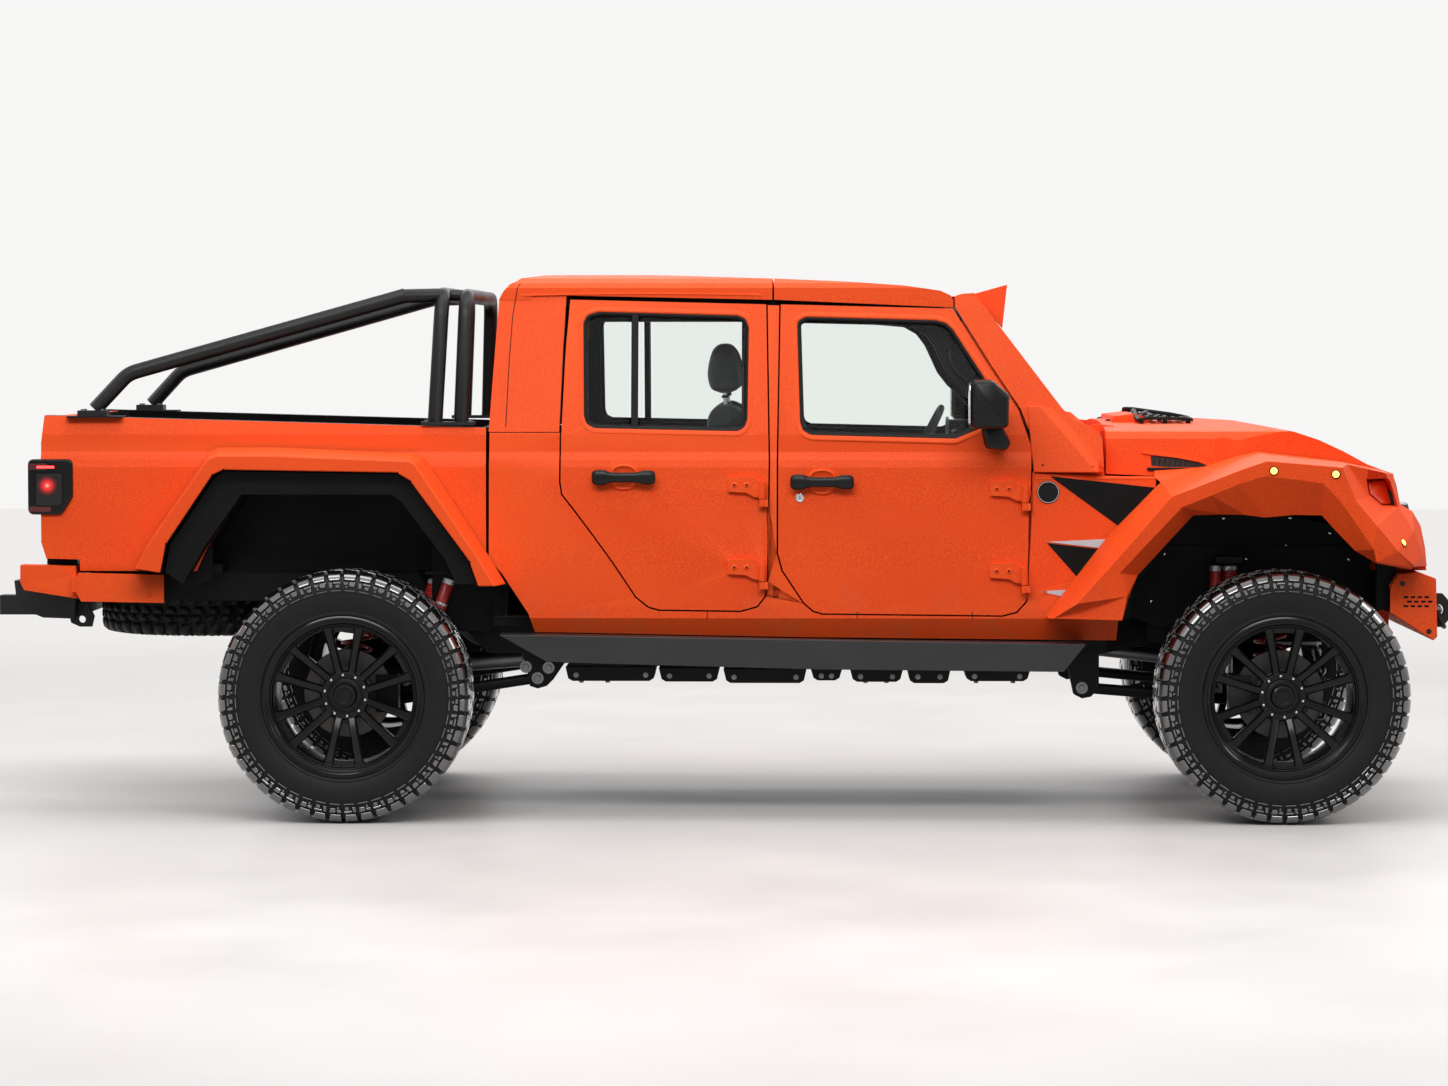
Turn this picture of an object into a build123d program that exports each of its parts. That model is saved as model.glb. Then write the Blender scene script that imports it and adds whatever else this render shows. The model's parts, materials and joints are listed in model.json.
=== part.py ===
"""Lifted four-door pickup truck with armoured fenders and a bed bar.

Frame: +X forward, +Y to the vehicle's left, +Z up, millimetres.
Origin: on the ground, at the centre of the overall length and width.
"""
import os
from math import sin, cos, tan, radians, atan2, degrees, hypot, pi
from build123d import *

os.makedirs("parts", exist_ok=True)

# ---------------------------------------------------------------- driving dimensions
X_REAR = -1384.0          # rear axle
X_FRONT = 2103.0          # front axle, wheelbase 3487
TYRE_R = 471.0
TYRE_W = 340.0
Y_WHEEL = 862.0           # wheel centre plane
Z_HUB = 471.0
RIM_R = 292.0             # rim flange radius
BEAD_R = 279.4            # 22 inch bead seat
KING_Y = 715.0            # steering axis
HUB_FACE = 845.0          # wheel mounting face
ARM = 165.0               # steering arm length, ahead of the steering axis
TIE_Z = 400.0             # tie rod height
DRAG_Z = 560.0            # drag link height
GAP = 6.0                 # door shut gap
DOOR_T = 65.0             # door thickness
SIDE_T = 108.0            # body side thickness with its inner jamb
BELT_Z = 1345.0           # crease along the body side
RAIL_Z = 1975.0
FRAME_IN, FRAME_OUT = 372.0, 437.0
HINGE_Y = 816.0           # door hinge pins, half width

# body side surface: half width at sill, belt crease and roof rail
Y_SILL, Y_BELT, Y_RAIL = 788.0, 800.0, 695.0


def skin_y(z):
    """Half width of the body side's outer surface at height z."""
    if z <= BELT_Z:
        return Y_SILL + (Y_BELT - Y_SILL) * (z - 600) / (BELT_Z - 600)
    return Y_BELT + (Y_RAIL - Y_BELT) * (z - BELT_Z) / (RAIL_Z - BELT_Z)


def prism_y(points, y0, y1):
    """Side profile of (x, z) points, from y0 to y1."""
    with BuildPart() as p:
        with BuildSketch(Plane.XZ.offset(-y1)):
            with BuildLine():
                Polyline(*points, close=True)
            make_face()
        extrude(amount=y1 - y0)
    return p.part


def prism_x(points, x0, x1):
    """Cross-section of (y, z) points, from x0 to x1."""
    with BuildPart() as p:
        with BuildSketch(Plane.YZ.offset(x0)):
            with BuildLine():
                Polyline(*points, close=True)
            make_face()
        extrude(amount=x1 - x0)
    return p.part


def prism_z(points, z0, z1):
    """Plan of (x, y) points, from z0 to z1."""
    with BuildPart() as p:
        with BuildSketch(Plane.XY.offset(z0)):
            with BuildLine():
                Polyline(*points, close=True)
            make_face()
        extrude(amount=z1 - z0)
    return p.part


def grown_y(points, grow, y0, y1):
    """Side profile grown outwards (or shrunk, if negative), from y0 to y1."""
    with BuildPart() as p:
        with BuildSketch(Plane.XZ.offset(-y1)):
            with BuildLine():
                Polyline(*points, close=True)
            make_face()
            offset(amount=grow, kind=Kind.INTERSECTION)
        extrude(amount=y1 - y0)
    return p.part


def block(x0, x1, y0, y1, z0, z1):
    """Box between two corners."""
    with BuildPart() as p:
        with Locations(((x0 + x1) / 2, (y0 + y1) / 2, (z0 + z1) / 2)):
            Box(x1 - x0, y1 - y0, z1 - z0)
    return p.part


def rod(a, b, r):
    """Round bar from a to b."""
    a, b = Vector(*a), Vector(*b)
    d = b - a
    with BuildPart() as p:
        with BuildSketch(Plane(origin=a, z_dir=d)):
            Circle(r)
        extrude(amount=d.length)
    return p.part


def tube_path(points, radii, r):
    """Bent round tube along points, with a bend radius at each inner corner."""
    with BuildPart() as p:
        with BuildLine() as path:
            FilletPolyline(*points, radius=radii)
        start = Vector(*points[0])
        direction = Vector(*points[1]) - start
        with BuildSketch(Plane(origin=start, z_dir=direction)):
            Circle(r)
        sweep(path=path.wires()[0])
    return p.part


def slab(d0, d1, x0=-3000, x1=3000, z0=560.0, z1=RAIL_Z):
    """Right body side layer, from d0 to d1 inboard of the outer surface."""
    return prism_x(
        [(-(skin_y(z0) - d0), z0), (-(Y_BELT - d0), BELT_Z), (-(skin_y(z1) - d0), z1),
         (-(skin_y(z1) - d1), z1), (-(Y_BELT - d1), BELT_Z), (-(skin_y(z0) - d1), z0)],
        x0, x1)


def save(part, name):
    """Names the piece and writes it."""
    part.label = name
    export_step(part, f"parts/{name}.step")


def left_of(part):
    """The same piece on the vehicle's left."""
    return mirror(part, about=Plane.XZ, mode=Mode.PRIVATE)


def both(part):
    """The piece and its mirror image on the left, as one node."""
    with BuildPart() as p:
        add(part)
        add(mirror(part, about=Plane.XZ, mode=Mode.PRIVATE))
    return p.part


# ---------------------------------------------------------------- side profiles (x, z)
FRONT_DOOR = [(238, 1928), (229, 1345), (229, 997), (246, 933), (326, 812), (361, 781), (397, 771),
              (1068, 764), (1121, 778), (1157, 818), (1166, 872), (1176, 1396),
              (1128, 1531), (1020, 1692), (884, 1912)]
REAR_DOOR = [(183, 1928), (193, 1345), (187, 897), (179, 836), (149, 798), (88, 781),
             (-218, 785), (-256, 796), (-302, 832), (-386, 958), (-463, 1065), (-532, 1157),
             (-579, 1218), (-586, 1264), (-584, 1435), (-569, 1759), (-553, 1946)]
FRONT_WINDOW = [(301, 1846), (304, 1864), (330, 1880), (818, 1867), (856, 1857), (883, 1833),
                (999, 1653), (1084, 1520), (1076, 1503), (950, 1452), (891, 1428), (352, 1441),
                (322, 1456), (312, 1490)]
REAR_WINDOW_A = [(-502, 1859), (-489, 1886), (-446, 1899), (-332, 1896), (-332, 1463), (-459, 1466),
                 (-489, 1481), (-498, 1512)]
REAR_WINDOW_B = [(-288, 1895), (77, 1885), (105, 1872), (117, 1842), (112, 1499), (101, 1468),
                 (77, 1455), (-288, 1462)]
TUB = [(-853, 1447), (-856, 974), (-807, 920), (-707, 767), (-685, 698), (308, 679), (1498, 667),
       (1508, 846), (1478, 934), (1640, 1100), (1640, 1278), (1186, 1296), (1186, 1500), (1100, 1905),
       (-100, 1931), (-580, 1944)]

# ---------------------------------------------------------------- body sides
with BuildPart() as pocket:                           # space that the doors themselves take
    add(grown_y(FRONT_DOOR, GAP, -900, -500))
    add(grown_y(REAR_DOOR, GAP, -900, -500))
    add(block(235, 1200, -900, -500, 1700, 2100))
    add(block(-700, 187, -900, -500, 1700, 2100))
    add(slab(-30, DOOR_T + 7), mode=Mode.INTERSECT)
with BuildPart() as side:
    add(prism_y(TUB, -900, -500))
    add(slab(0, SIDE_T), mode=Mode.INTERSECT)
    # door apertures: the door's own pocket, and the smaller hole through the inner jamb
    add(pocket.part, mode=Mode.SUBTRACT)
    add(grown_y(FRONT_DOOR, -32, -900, -500), mode=Mode.SUBTRACT)
    add(grown_y(REAR_DOOR, -32, -900, -500), mode=Mode.SUBTRACT)
    # no rail over the doors and no post behind the rear door: the roof and the hardtop close them
    add(block(262, 1190, -900, -500, 1540, 2100), mode=Mode.SUBTRACT)
    add(block(-900, 151, -900, -500, 1447, 2100), mode=Mode.SUBTRACT)
    add(block(1000, 1300, -900, -500, 1302, 2100), mode=Mode.SUBTRACT)
side_solid = sorted(side.part.solids(), key=lambda s: s.volume)[-1]
with BuildPart() as body_side_right:
    add(side_solid)
    # body halves of the outside hinges
    for x_pin, x_end, zs in ((1150.0, 1222.0, (1236.0, 928.0)), (169.0, 220.0, (1250.0, 941.0))):
        for z in zs:
            y = skin_y(z)
            add(rod((x_pin, -HINGE_Y, z - 78), (x_pin, -HINGE_Y, z - 51), 13))
            add(block(x_pin, x_end, -(HINGE_Y + 9), -(y + 7), z - 78, z - 51))
            add(block(x_end - 20, x_end, -(y + 8), -(y - 6), z - 78, z - 51))
save(both(body_side_right.part), "body_sides")

# ---------------------------------------------------------------- doors
def door(outline, windows, name):
    """Door panel with its window cut; its inner edges step in so that it swings clear."""
    with BuildPart() as rim_band:
        add(prism_y(outline, -900, -500))
        add(grown_y(outline, -16, -900, -500), mode=Mode.SUBTRACT)
        add(slab(18, DOOR_T + 30), mode=Mode.INTERSECT)
    with BuildPart() as d:
        add(prism_y(outline, -900, -500))
        add(slab(0, DOOR_T), mode=Mode.INTERSECT)
        add(rim_band.part, mode=Mode.SUBTRACT)
        for w in windows:
            add(prism_y(w, -900, -500), mode=Mode.SUBTRACT)
    with BuildPart() as g:
        for w in windows:
            add(prism_y(w, -900, -500))
        add(slab(24, 29), mode=Mode.INTERSECT)
    return d.part, g.part


fd, fg = door(FRONT_DOOR, [FRONT_WINDOW], "front")
rd, rg = door(REAR_DOOR, [REAR_WINDOW_A, REAR_WINDOW_B], "rear")


def with_fittings(panel, x_pin, z_hinges, x_handle, z_handle, mirror_body):
    """Adds the two outside hinges, the pull handle and, on a front door, the mirror."""
    y_handle = skin_y(z_handle)
    with BuildPart() as handle:
        with Locations((x_handle, -(y_handle + 34), z_handle)):
            Box(236, 26, 40)
        fillet(handle.edges(), 10)
        with Locations((x_handle - 96, -(y_handle + 12), z_handle), (x_handle + 96, -(y_handle + 12), z_handle)):
            Box(34, 50, 34)
    with BuildPart() as d:
        add(panel)
        for z in z_hinges:
            add(rod((x_pin, -HINGE_Y, z - 48), (x_pin, -HINGE_Y, z + 14), 13))
            add(prism_y([(x_pin - 128, z + 30), (x_pin - 40, z + 36), (x_pin, z + 14), (x_pin, z - 42),
                         (x_pin - 30, z - 42), (x_pin - 60, z - 26), (x_pin - 128, z - 22)],
                        -(skin_y(z) + 16), -(skin_y(z) - 6)))
        add(handle.part)
        if mirror_body:
            add(prism_y([(940, 1648), (1018, 1648), (1081, 1592), (1078, 1471), (940, 1466)], -1085, -885))
            add(prism_y([(986, 1480), (1060, 1480), (1096, 1400), (1075, 1380), (1000, 1395)], -930, -780))
    return d.part


fd = with_fittings(fd, 1150.0, (1236.0, 928.0), 393.0, 1264.0, True)
rd = with_fittings(rd, 169.0, (1250.0, 941.0), -349.0, 1281.0, False)
save(fd, "door_front_right")
save(left_of(fd), "door_front_left")
save(rd, "door_rear_right")
save(left_of(rd), "door_rear_left")
save(fg, "window_front_right")
save(left_of(fg), "window_front_left")
save(rg, "window_rear_right")
save(left_of(rg), "window_rear_left")

# ---------------------------------------------------------------- floor, firewall, cab back
with BuildPart() as cab_floor:
    add(block(-846, 1270, -672, 672, 716, 750))
    add(prism_y([(480, 716), (480, 805), (900, 805), (1270, 905), (1270, 716)], -160, 160))   # gearbox tunnel
    add(block(-846, 560, -95, 95, 750, 805))
    add(prism_y([(1230, 750), (1270, 716), (1270, 1285), (1230, 1285)], -672, 672))   # firewall
    add(block(-846, -800, -672, 672, 716, 1440))                   # back panel under the hardtop
    add(block(-846, 1270, -700, 700, 716, 750))
    add(slab(-200, SIDE_T), mode=Mode.SUBTRACT)
    add(left_of(slab(-200, SIDE_T)), mode=Mode.SUBTRACT)
    add(prism_y([(1300, 690), (1300, 893), (1262, 883), (890, 789), (505, 789), (505, 690)], -136, 136), mode=Mode.SUBTRACT)
save(cab_floor.part, "cab_floor")

# ---------------------------------------------------------------- windshield frame and cowl
WS_LO, WS_HI = (1293.0, 1537.0), (964.0, 1971.0)
wd = (WS_HI[0] - WS_LO[0], WS_HI[1] - WS_LO[1])
wl = hypot(*wd)
wu = (wd[0] / wl, wd[1] / wl)           # up along the glass
wn = (-wu[1], wu[0])                    # inwards, to the rear


def on_ws(t, d):
    """Point t mm up the glass line from its foot, d mm behind it."""
    return (WS_LO[0] + wu[0] * t + wn[0] * d, WS_LO[1] + wu[1] * t + wn[1] * d)


PILLAR = [(1190, 1322), (1190, 1400), (1135, 1538), (1027, 1699), (892, 1918), (892, 1958), (918, 1968),
          on_ws(wl, 0), on_ws(0, 0), (1332, 1498), (1400, 1470), (1440, 1430), (1446, 1322)]
with BuildPart() as pillar:
    add(prism_y(PILLAR, -900, -500))
    add(slab(0, 88), mode=Mode.INTERSECT)
with BuildPart() as windshield_frame:
    add(pillar.part)
    add(mirror(pillar.part, about=Plane.XZ, mode=Mode.PRIVATE))
    add(prism_y([on_ws(wl, 0), on_ws(wl - 85, 0), on_ws(wl - 85, 55), (892, 1918), (892, 1958), (918, 1968)], -640, 640))
    add(prism_y([on_ws(70, 0), on_ws(-15, 0), on_ws(-15, 55), on_ws(70, 55)], -690, 690))
    # brow over the glass
    add(prism_y([(960, 1966), (1092, 2003), (1088, 1988), (976, 1963)], -600, 600))
    add(prism_y([(960, 1966), (1092, 2003), (1074, 1838)], -600, -588))
    add(prism_y([(960, 1966), (1092, 2003), (1074, 1838)], 588, 600))
print("windshield frame solids", len(windshield_frame.part.solids()))
save(windshield_frame.part, "windshield_frame")

with BuildPart() as cab_glass:
    add(prism_y([on_ws(70, 20), on_ws(wl - 85, 20), on_ws(wl - 85, 27), on_ws(70, 27)], -606, 606))
    add(prism_y([(-846, 1530), (-815, 1880), (-809, 1880), (-840, 1530)], -560, 560))
save(cab_glass.part, "cab_glass")

HOOD_PIN = (1436.0, 1462.0)                           # hood hinge
with BuildPart() as cowl_end:                         # room for the pillar feet at the right end of the cowl
    add(prism_y([(1185, 1318), (1185, 1600), (1452, 1600), (1452, 1320)], -900, -500))
    add(slab(-50, 88), mode=Mode.INTERSECT)
with BuildPart() as cowl:
    add(prism_y([(1274, 1294), (1450, 1287), (1448, 1316), (1274, 1316)], -768, 768))
    add(prism_y([(1350, 1488), (1400, 1462), (1440, 1424), (1446, 1316), (1420, 1316), (1415, 1414),
                 (1385, 1442), (1330, 1470), (1270, 1490), (1290, 1510)], -712, 712))
    add(both(cowl_end.part), mode=Mode.SUBTRACT)
    for y in (-520, 520):                                      # hood hinge pins between cheeks
        add(rod((HOOD_PIN[0], y - 34, HOOD_PIN[1]), (HOOD_PIN[0], y + 34, HOOD_PIN[1]), 7))
        for y0 in (y - 34, y + 27):
            add(prism_y([(1392, 1460), (1424, 1474), (1440, 1475), (1448, 1466), (1448, 1450), (1437, 1416), (1400, 1440)],
                        y0, y0 + 7))
save(cowl.part, "cowl")

# ---------------------------------------------------------------- roof
ROOF_SIDE = [(-846, 1945), (-826, 1975), (-796, 2006), (-741, 2028), (-663, 2041), (-451, 2047),
             (-147, 2040), (216, 2026), (489, 2014), (702, 1999), (835, 1980), (876, 1962), (886, 1940),
             (886, 1916), (212, 1945), (-700, 1964), (-700, 1945)]
SECTION = [(-700, 1900), (-704, 1990), (-690, 2008), (-640, 2026), (-400, 2042), (0, 2049)]
SECTION = SECTION + [(-y, z) for y, z in reversed(SECTION[:-1])]
INNER = [(-652, 1800), (-652, 1950), (-620, 1978), (-400, 1994), (0, 2000)]
INNER = INNER + [(-y, z) for y, z in reversed(INNER[:-1])]


def roof_shell(x0, x1, inner_drop):
    """Part of the roof between x0 and x1."""
    with BuildPart() as r:
        add(prism_y(ROOF_SIDE, -800, 800))
        add(prism_x(SECTION, x0, x1), mode=Mode.INTERSECT)
        add(prism_x([(y, z - inner_drop) for y, z in INNER], x0 - 5, x1 + 5), mode=Mode.SUBTRACT)
    return r.part


HT_SIDE = [(-856, 1450), (-846, 1600), (-820, 1960), (-568, 1960), (-580, 1759), (-592, 1450)]
with BuildPart() as quarter:
    add(prism_y(HT_SIDE, -900, -500))
    add(slab(0, 60), mode=Mode.INTERSECT)
with BuildPart() as hardtop_back:
    add(prism_y([(-856, 1450), (-846, 1600), (-820, 1960), (-780, 2000), (-760, 2000), (-765, 1960),
                 (-800, 1600), (-815, 1450)], -700, 700))
    add(prism_x([(-735, 1450), (-652, 2000), (652, 2000), (735, 1450)], -900, -700), mode=Mode.INTERSECT)
    add(block(-900, -740, -560, 560, 1530, 1880), mode=Mode.SUBTRACT)
with BuildPart() as hardtop:
    add(roof_shell(-870, 206, 0))
    add(quarter.part)
    add(left_of(quarter.part))
    add(hardtop_back.part)
save(hardtop.part, "hardtop")

with BuildPart() as roof_panels:
    add(roof_shell(213, 887, 25))
save(roof_panels.part, "roof_panels")



# ---------------------------------------------------------------- interior
def seat(x, y, w):
    """Seat: cushion, back and head restraint on a base."""
    with BuildPart() as s:
        add(prism_y([(x + 500, 990), (x + 520, 1040), (x + 470, 1075), (x + 70, 1050), (x - 60, 1050), (x - 60, 990),
                     (x - 30, 960)], y - w / 2, y + w / 2))
        add(prism_y([(x + 60, 1040), (x, 1420), (x - 40, 1600), (x - 95, 1600), (x - 115, 1420), (x - 62, 1040)],
                    y - w / 2 + 32, y + w / 2 - 32))
        add(block(x - 92, x - 42, y - 85, y - 70, 1590, 1640))
        add(block(x - 92, x - 42, y + 70, y + 85, 1590, 1640))
        add(prism_y([(x - 30, 1625), (x - 50, 1780), (x - 85, 1790), (x - 125, 1770), (x - 110, 1630)], y - 135, y + 135))
        add(block(x + 20, x + 420, y - w / 2 + 40, y - w / 2 + 75, 752, 975))
        add(block(x + 20, x + 420, y + w / 2 - 75, y + w / 2 - 40, 752, 975))
    return s.part


with BuildPart() as front_seats:
    add(seat(130, -370, 480))
    add(seat(130, 370, 480))

with BuildPart() as rear_seat:
    add(prism_y([(-220, 980), (-205, 1060), (-250, 1090), (-600, 1060), (-745, 1060), (-700, 960)], -612, 612))
    add(prism_y([(-610, 1050), (-690, 1560), (-770, 1560), (-745, 1050)], -572, 572))
    add(block(-700, -260, -590, 590, 805, 1000))
    add(block(-700, -260, 520, 590, 750, 805))
    add(block(-700, -260, -590, -520, 750, 805))
    for y in (-390, 0, 390):
        add(prism_y([(-690, 1556), (-705, 1690), (-770, 1690), (-765, 1556)], y - 120, y + 120))
with BuildPart() as seats:
    add(front_seats.part)
    add(rear_seat.part)
save(seats.part, "seats")

with BuildPart() as dashboard:
    add(prism_y([(1224, 1080), (1224, 1440), (1120, 1480), (1010, 1465), (925, 1420), (920, 1290), (1000, 1080)], -640, 640))
    add(prism_y([(300, 805), (300, 1075), (420, 1105), (890, 1105), (925, 1300), (1010, 1300), (1010, 1060),
                 (950, 960), (900, 880), (900, 805)], -85, 85))         # centre console
    add(rod((960, 380, 1290), (845, 380, 1346), 34))  # steering column
save(dashboard.part, "dashboard")

SW_C = Vector(800.0, 380.0, 1368.0)                  # steering wheel centre
SW_AXIS = Vector(-0.8988, 0.0, 0.4384)               # towards the driver
with BuildPart() as steering_wheel:
    with BuildSketch(Plane(origin=SW_C, x_dir=(0, 1, 0), z_dir=SW_AXIS)):
        Circle(188)
        Circle(160, mode=Mode.SUBTRACT)
        Circle(62)
        Rectangle(340, 44)
        with Locations((0, -88)):
            Rectangle(52, 160)
        with BuildSketch(Plane(origin=SW_C, x_dir=(0, 1, 0), z_dir=SW_AXIS), mode=Mode.INTERSECT):
            Circle(188)
    extrude(amount=15, both=True)
    add(rod(tuple(SW_C - SW_AXIS * 8), tuple(SW_C - SW_AXIS * 44), 30))
save(steering_wheel.part, "steering_wheel")

CAGE_R = 28.0
with BuildPart() as roll_cage:
    for x in (118.0, -690.0):
        add(tube_path([(x, -651, 751), (x, -651, 1340), (x, -560, 1895), (x, 560, 1895), (x, 651, 1340),
                       (x, 651, 751)], [300, 90, 90, 300], CAGE_R))
    for y in (-540.0, 540.0):
        add(rod((118, y, 1895), (-690, y, 1895), CAGE_R))
        add(tube_path([(118, y, 1895), (830, y, 1878), (1085, y, 1560), (1120, y, 1500)], [120, 200], CAGE_R))
save(roll_cage.part, "roll_cage")

# ---------------------------------------------------------------- hood
HOOD_TOP = [(1460, 1484), (1580, 1489), (1860, 1489), (2046, 1473), (2170, 1450), (2263, 1419),
            (2357, 1376), (2450, 1326), (2512, 1303), (2552, 1289), (2552, 1268), (2505, 1262),
            (2460, 1262), (2345, 1300), (2025, 1320), (1672, 1270), (1650, 1284), (1460, 1292)]
with BuildPart() as bay:                              # hollow under the hood skin
    add(prism_y([(1485, 1200), (1485, 1455), (1590, 1458), (1850, 1458), (2040, 1442), (2160, 1418),
                 (2250, 1386), (2345, 1343), (2440, 1294), (2500, 1276), (2528, 1262), (2528, 1200)], -676, 676))
    add(prism_x([(-684, 1200), (-676, 1412), (-640, 1432), (0, 1465), (640, 1432), (676, 1412),
                 (684, 1200)], 1400, 2600), mode=Mode.INTERSECT)
    add(prism_z([(1400, -684), (1860, -678), (2330, -614), (2560, -572), (2560, 572), (2330, 614),
                 (1860, 678), (1400, 684)], 1200, 1520), mode=Mode.INTERSECT)
with BuildPart() as hood:
    add(prism_y(HOOD_TOP, -800, 800))
    # crowned cross-section, narrower towards the nose
    add(prism_x([(-712, 1200), (-704, 1425), (-672, 1452), (-500, 1472), (0, 1492), (500, 1472), (672, 1452),
                 (704, 1425), (712, 1200)], 1400, 2600), mode=Mode.INTERSECT)
    add(prism_z([(1400, -712), (1860, -706), (2350, -640), (2560, -600), (2560, 600), (2350, 640),
                 (1860, 706), (1400, 712)], 1200, 1520), mode=Mode.INTERSECT)
    add(bay.part, mode=Mode.SUBTRACT)
    # intake lip across the back
    add(prism_y([(1500, 1470), (1515, 1502), (1600, 1512), (1640, 1500), (1660, 1482), (1640, 1480)], -330, 330))
    for y in (-520, 520):                                      # hinge arms with their eyes
        add(prism_y([(1430, 1450), (1430, 1474), (1446, 1474), (1500, 1470), (1500, 1452), (1446, 1449)], y - 22, y + 22))
        add(rod((HOOD_PIN[0], y - 22, HOOD_PIN[1]), (HOOD_PIN[0], y + 22, HOOD_PIN[1]), 14))
        add(rod((HOOD_PIN[0], y - 23, HOOD_PIN[1]), (HOOD_PIN[0], y + 23, HOOD_PIN[1]), 8.5), mode=Mode.SUBTRACT)
save(hood.part, "hood")

# ---------------------------------------------------------------- front fenders
FLARE_A = [(1240, 756), (1308, 833), (1481, 1057), (1670, 1250), (1840, 1308), (1951, 1345), (2030, 1367),
           (2345, 1330), (2480, 1302), (2545, 1240)]
FLARE_B = [(1240, 760), (1336, 820), (1500, 1003), (1683, 1215), (1810, 1264), (1936, 1313), (2032, 1346),
           (2310, 1323), (2361, 1199), (2440, 1108)]
FLARE_C = [(1502, 759), (1517, 846), (1491, 934), (1720, 1178), (1828, 1222), (1936, 1266), (2029, 1293),
           (2242, 1266), (2310, 1193), (2375, 1105)]
with BuildPart() as flare_front:
    with BuildSketch(Plane.XZ.offset(1004)):
        with BuildLine():
            Polyline(*FLARE_B, *reversed(FLARE_C), close=True)
        make_face()
    with BuildSketch(Plane.XZ.offset(800)):
        with BuildLine():
            Polyline(*FLARE_A, *reversed(FLARE_C), close=True)
        make_face()
    loft(ruled=True)
with BuildPart() as back_flare:                       # rear end of the flare, outside the door
    add(flare_front.part)
    add(block(1000, 1647, -1100, -803, 600, 1500), mode=Mode.INTERSECT)
with BuildPart() as fender_right:
    add(flare_front.part)
    # nose corner of the flare, swept back towards the grille
    add(prism_z([(2375, -1004), (2440, -1004), (2600, -760), (2560, -640), (2480, -640), (2480, -760)], 1040, 1180))
    # inner fender from the flare up to the hood
    add(prism_y([(1648, 1110), (1720, 1178), (1828, 1222), (1936, 1266), (2029, 1293), (2242, 1266), (2310, 1193),
                 (2375, 1105), (2480, 1040), (2545, 1040), (2545, 1235), (2440, 1250), (2345, 1288), (2025, 1308),
                 (1648, 1256)], -806, -650))
    add(block(1000, 1647, -1100, -500, 990, 1500), mode=Mode.SUBTRACT)
    add(prism_y([(1200, 700), (1200, 1300), (1647, 1300), (1647, 1110), (1478, 934), (1508, 846), (1506, 700)], -806, -500), mode=Mode.SUBTRACT)
    add(back_flare.part)
print("fender solids", len(fender_right.part.solids()))

# wheel arch liners, front and rear, left and right
RF_OUT = [(-2184, 944), (-2140, 1029), (-1902, 1376), (-1867, 1393), (-1643, 1393), (-1127, 1371), (-1097, 1357), (-859, 994), (-790, 880)]
RF_FACE = [(-2160, 944), (-2118, 1024), (-1890, 1352), (-1855, 1366), (-1643, 1366), (-1140, 1346), (-1118, 1334), (-884, 985), (-820, 880)]
RF_IN = [(-2066, 930), (-2046, 1034), (-1872, 1292), (-1832, 1312), (-1643, 1309), (-1186, 1302), (-1137, 1272), (-918, 974), (-885, 880)]
LINER_F = [(1530, 840), (1507, 930), (1728, 1168), (1940, 1254), (2028, 1280), (2236, 1254), (2300, 1186), (2440, 1030)]
LINER_F2 = [(1545, 840), (1523, 926), (1736, 1154), (1944, 1241), (2028, 1266), (2228, 1242), (2288, 1178), (2426, 1024)]
with BuildPart() as liner:
    add(prism_y(LINER_F + LINER_F2[::-1], -985, -452))
    add(prism_y([(1565, 990)] + LINER_F[2:] + [(2440, 990)], -464, -452))
RL_OUT = [(-2058, 932), (-2040, 1032), (-1868, 1288), (-1830, 1308), (-1643, 1305), (-1188, 1298), (-1141, 1269),
          (-924, 972), (-893, 884)]
RL_IN = [(-1990, 884), (-1910, 1021), (-1770, 1218), (-1643, 1218), (-1212, 1218), (-1176, 1194), (-1010, 972), (-972, 884)]
with BuildPart() as liner_rear:
    add(prism_y(RL_OUT + RL_IN[::-1], -905, -805))
with BuildPart() as wheel_liners:
    add(both(liner.part))
    add(both(liner_rear.part))
save(wheel_liners.part, "wheel_liners")
with BuildPart() as fender_trimmed:
    add(fender_right.part)
    add(liner.part, mode=Mode.SUBTRACT)
with BuildPart() as front_fenders:
    add(both(fender_trimmed.part))
save(front_fenders.part, "front_fenders")

# ---------------------------------------------------------------- grille, lamps
GRILLE = [(2480, 924), (2677, 925), (2668, 1011), (2651, 1093), (2621, 1145), (2572, 1174),
          (2558, 1258), (2545, 1262), (2480, 1255)]
with BuildPart() as grille:
    add(prism_y(GRILLE, -610, 610))
    add(prism_y([(2400, 950), (2640, 950), (2625, 1080), (2560, 1145), (2538, 1225), (2400, 1225)], -560, 560), mode=Mode.SUBTRACT)
    for k in range(6):                                  # six wide slots
        y = -285 + k * 114
        add(prism_y([(2500, 960), (2700, 960), (2700, 1195), (2500, 1195)], y - 34, y + 34), mode=Mode.SUBTRACT)
    for y in (-470, 470):
        add(rod((2450, y, 1085), (2720, y, 1085), 96), mode=Mode.SUBTRACT)
save(grille.part, "grille")

with BuildPart() as headlights:
    for y in (-470, 470):
        add(rod((2500, y, 1085), (2622, y, 1085), 92))
        add(rod((2480, y, 1085), (2500, y, 1085), 60))
save(headlights.part, "headlights")


# ---------------------------------------------------------------- engine, gearbox, drive
with BuildPart() as engine:
    add(block(1400, 2020, -250, 250, 720, 1230))
save(engine.part, "engine")

with BuildPart() as gearbox:
    add(prism_y([(1392, 700), (1392, 880), (1285, 870), (900, 780), (520, 780), (520, 602), (900, 602), (1280, 660)], -125, 125))
    add(block(540, 760, 125, 240, 602, 714))
    add(rod((540, 0, 650), (470, 0, 650), 45))
    add(rod((760, 190, 650), (800, 190, 650), 40))
save(gearbox.part, "gearbox")

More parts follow.
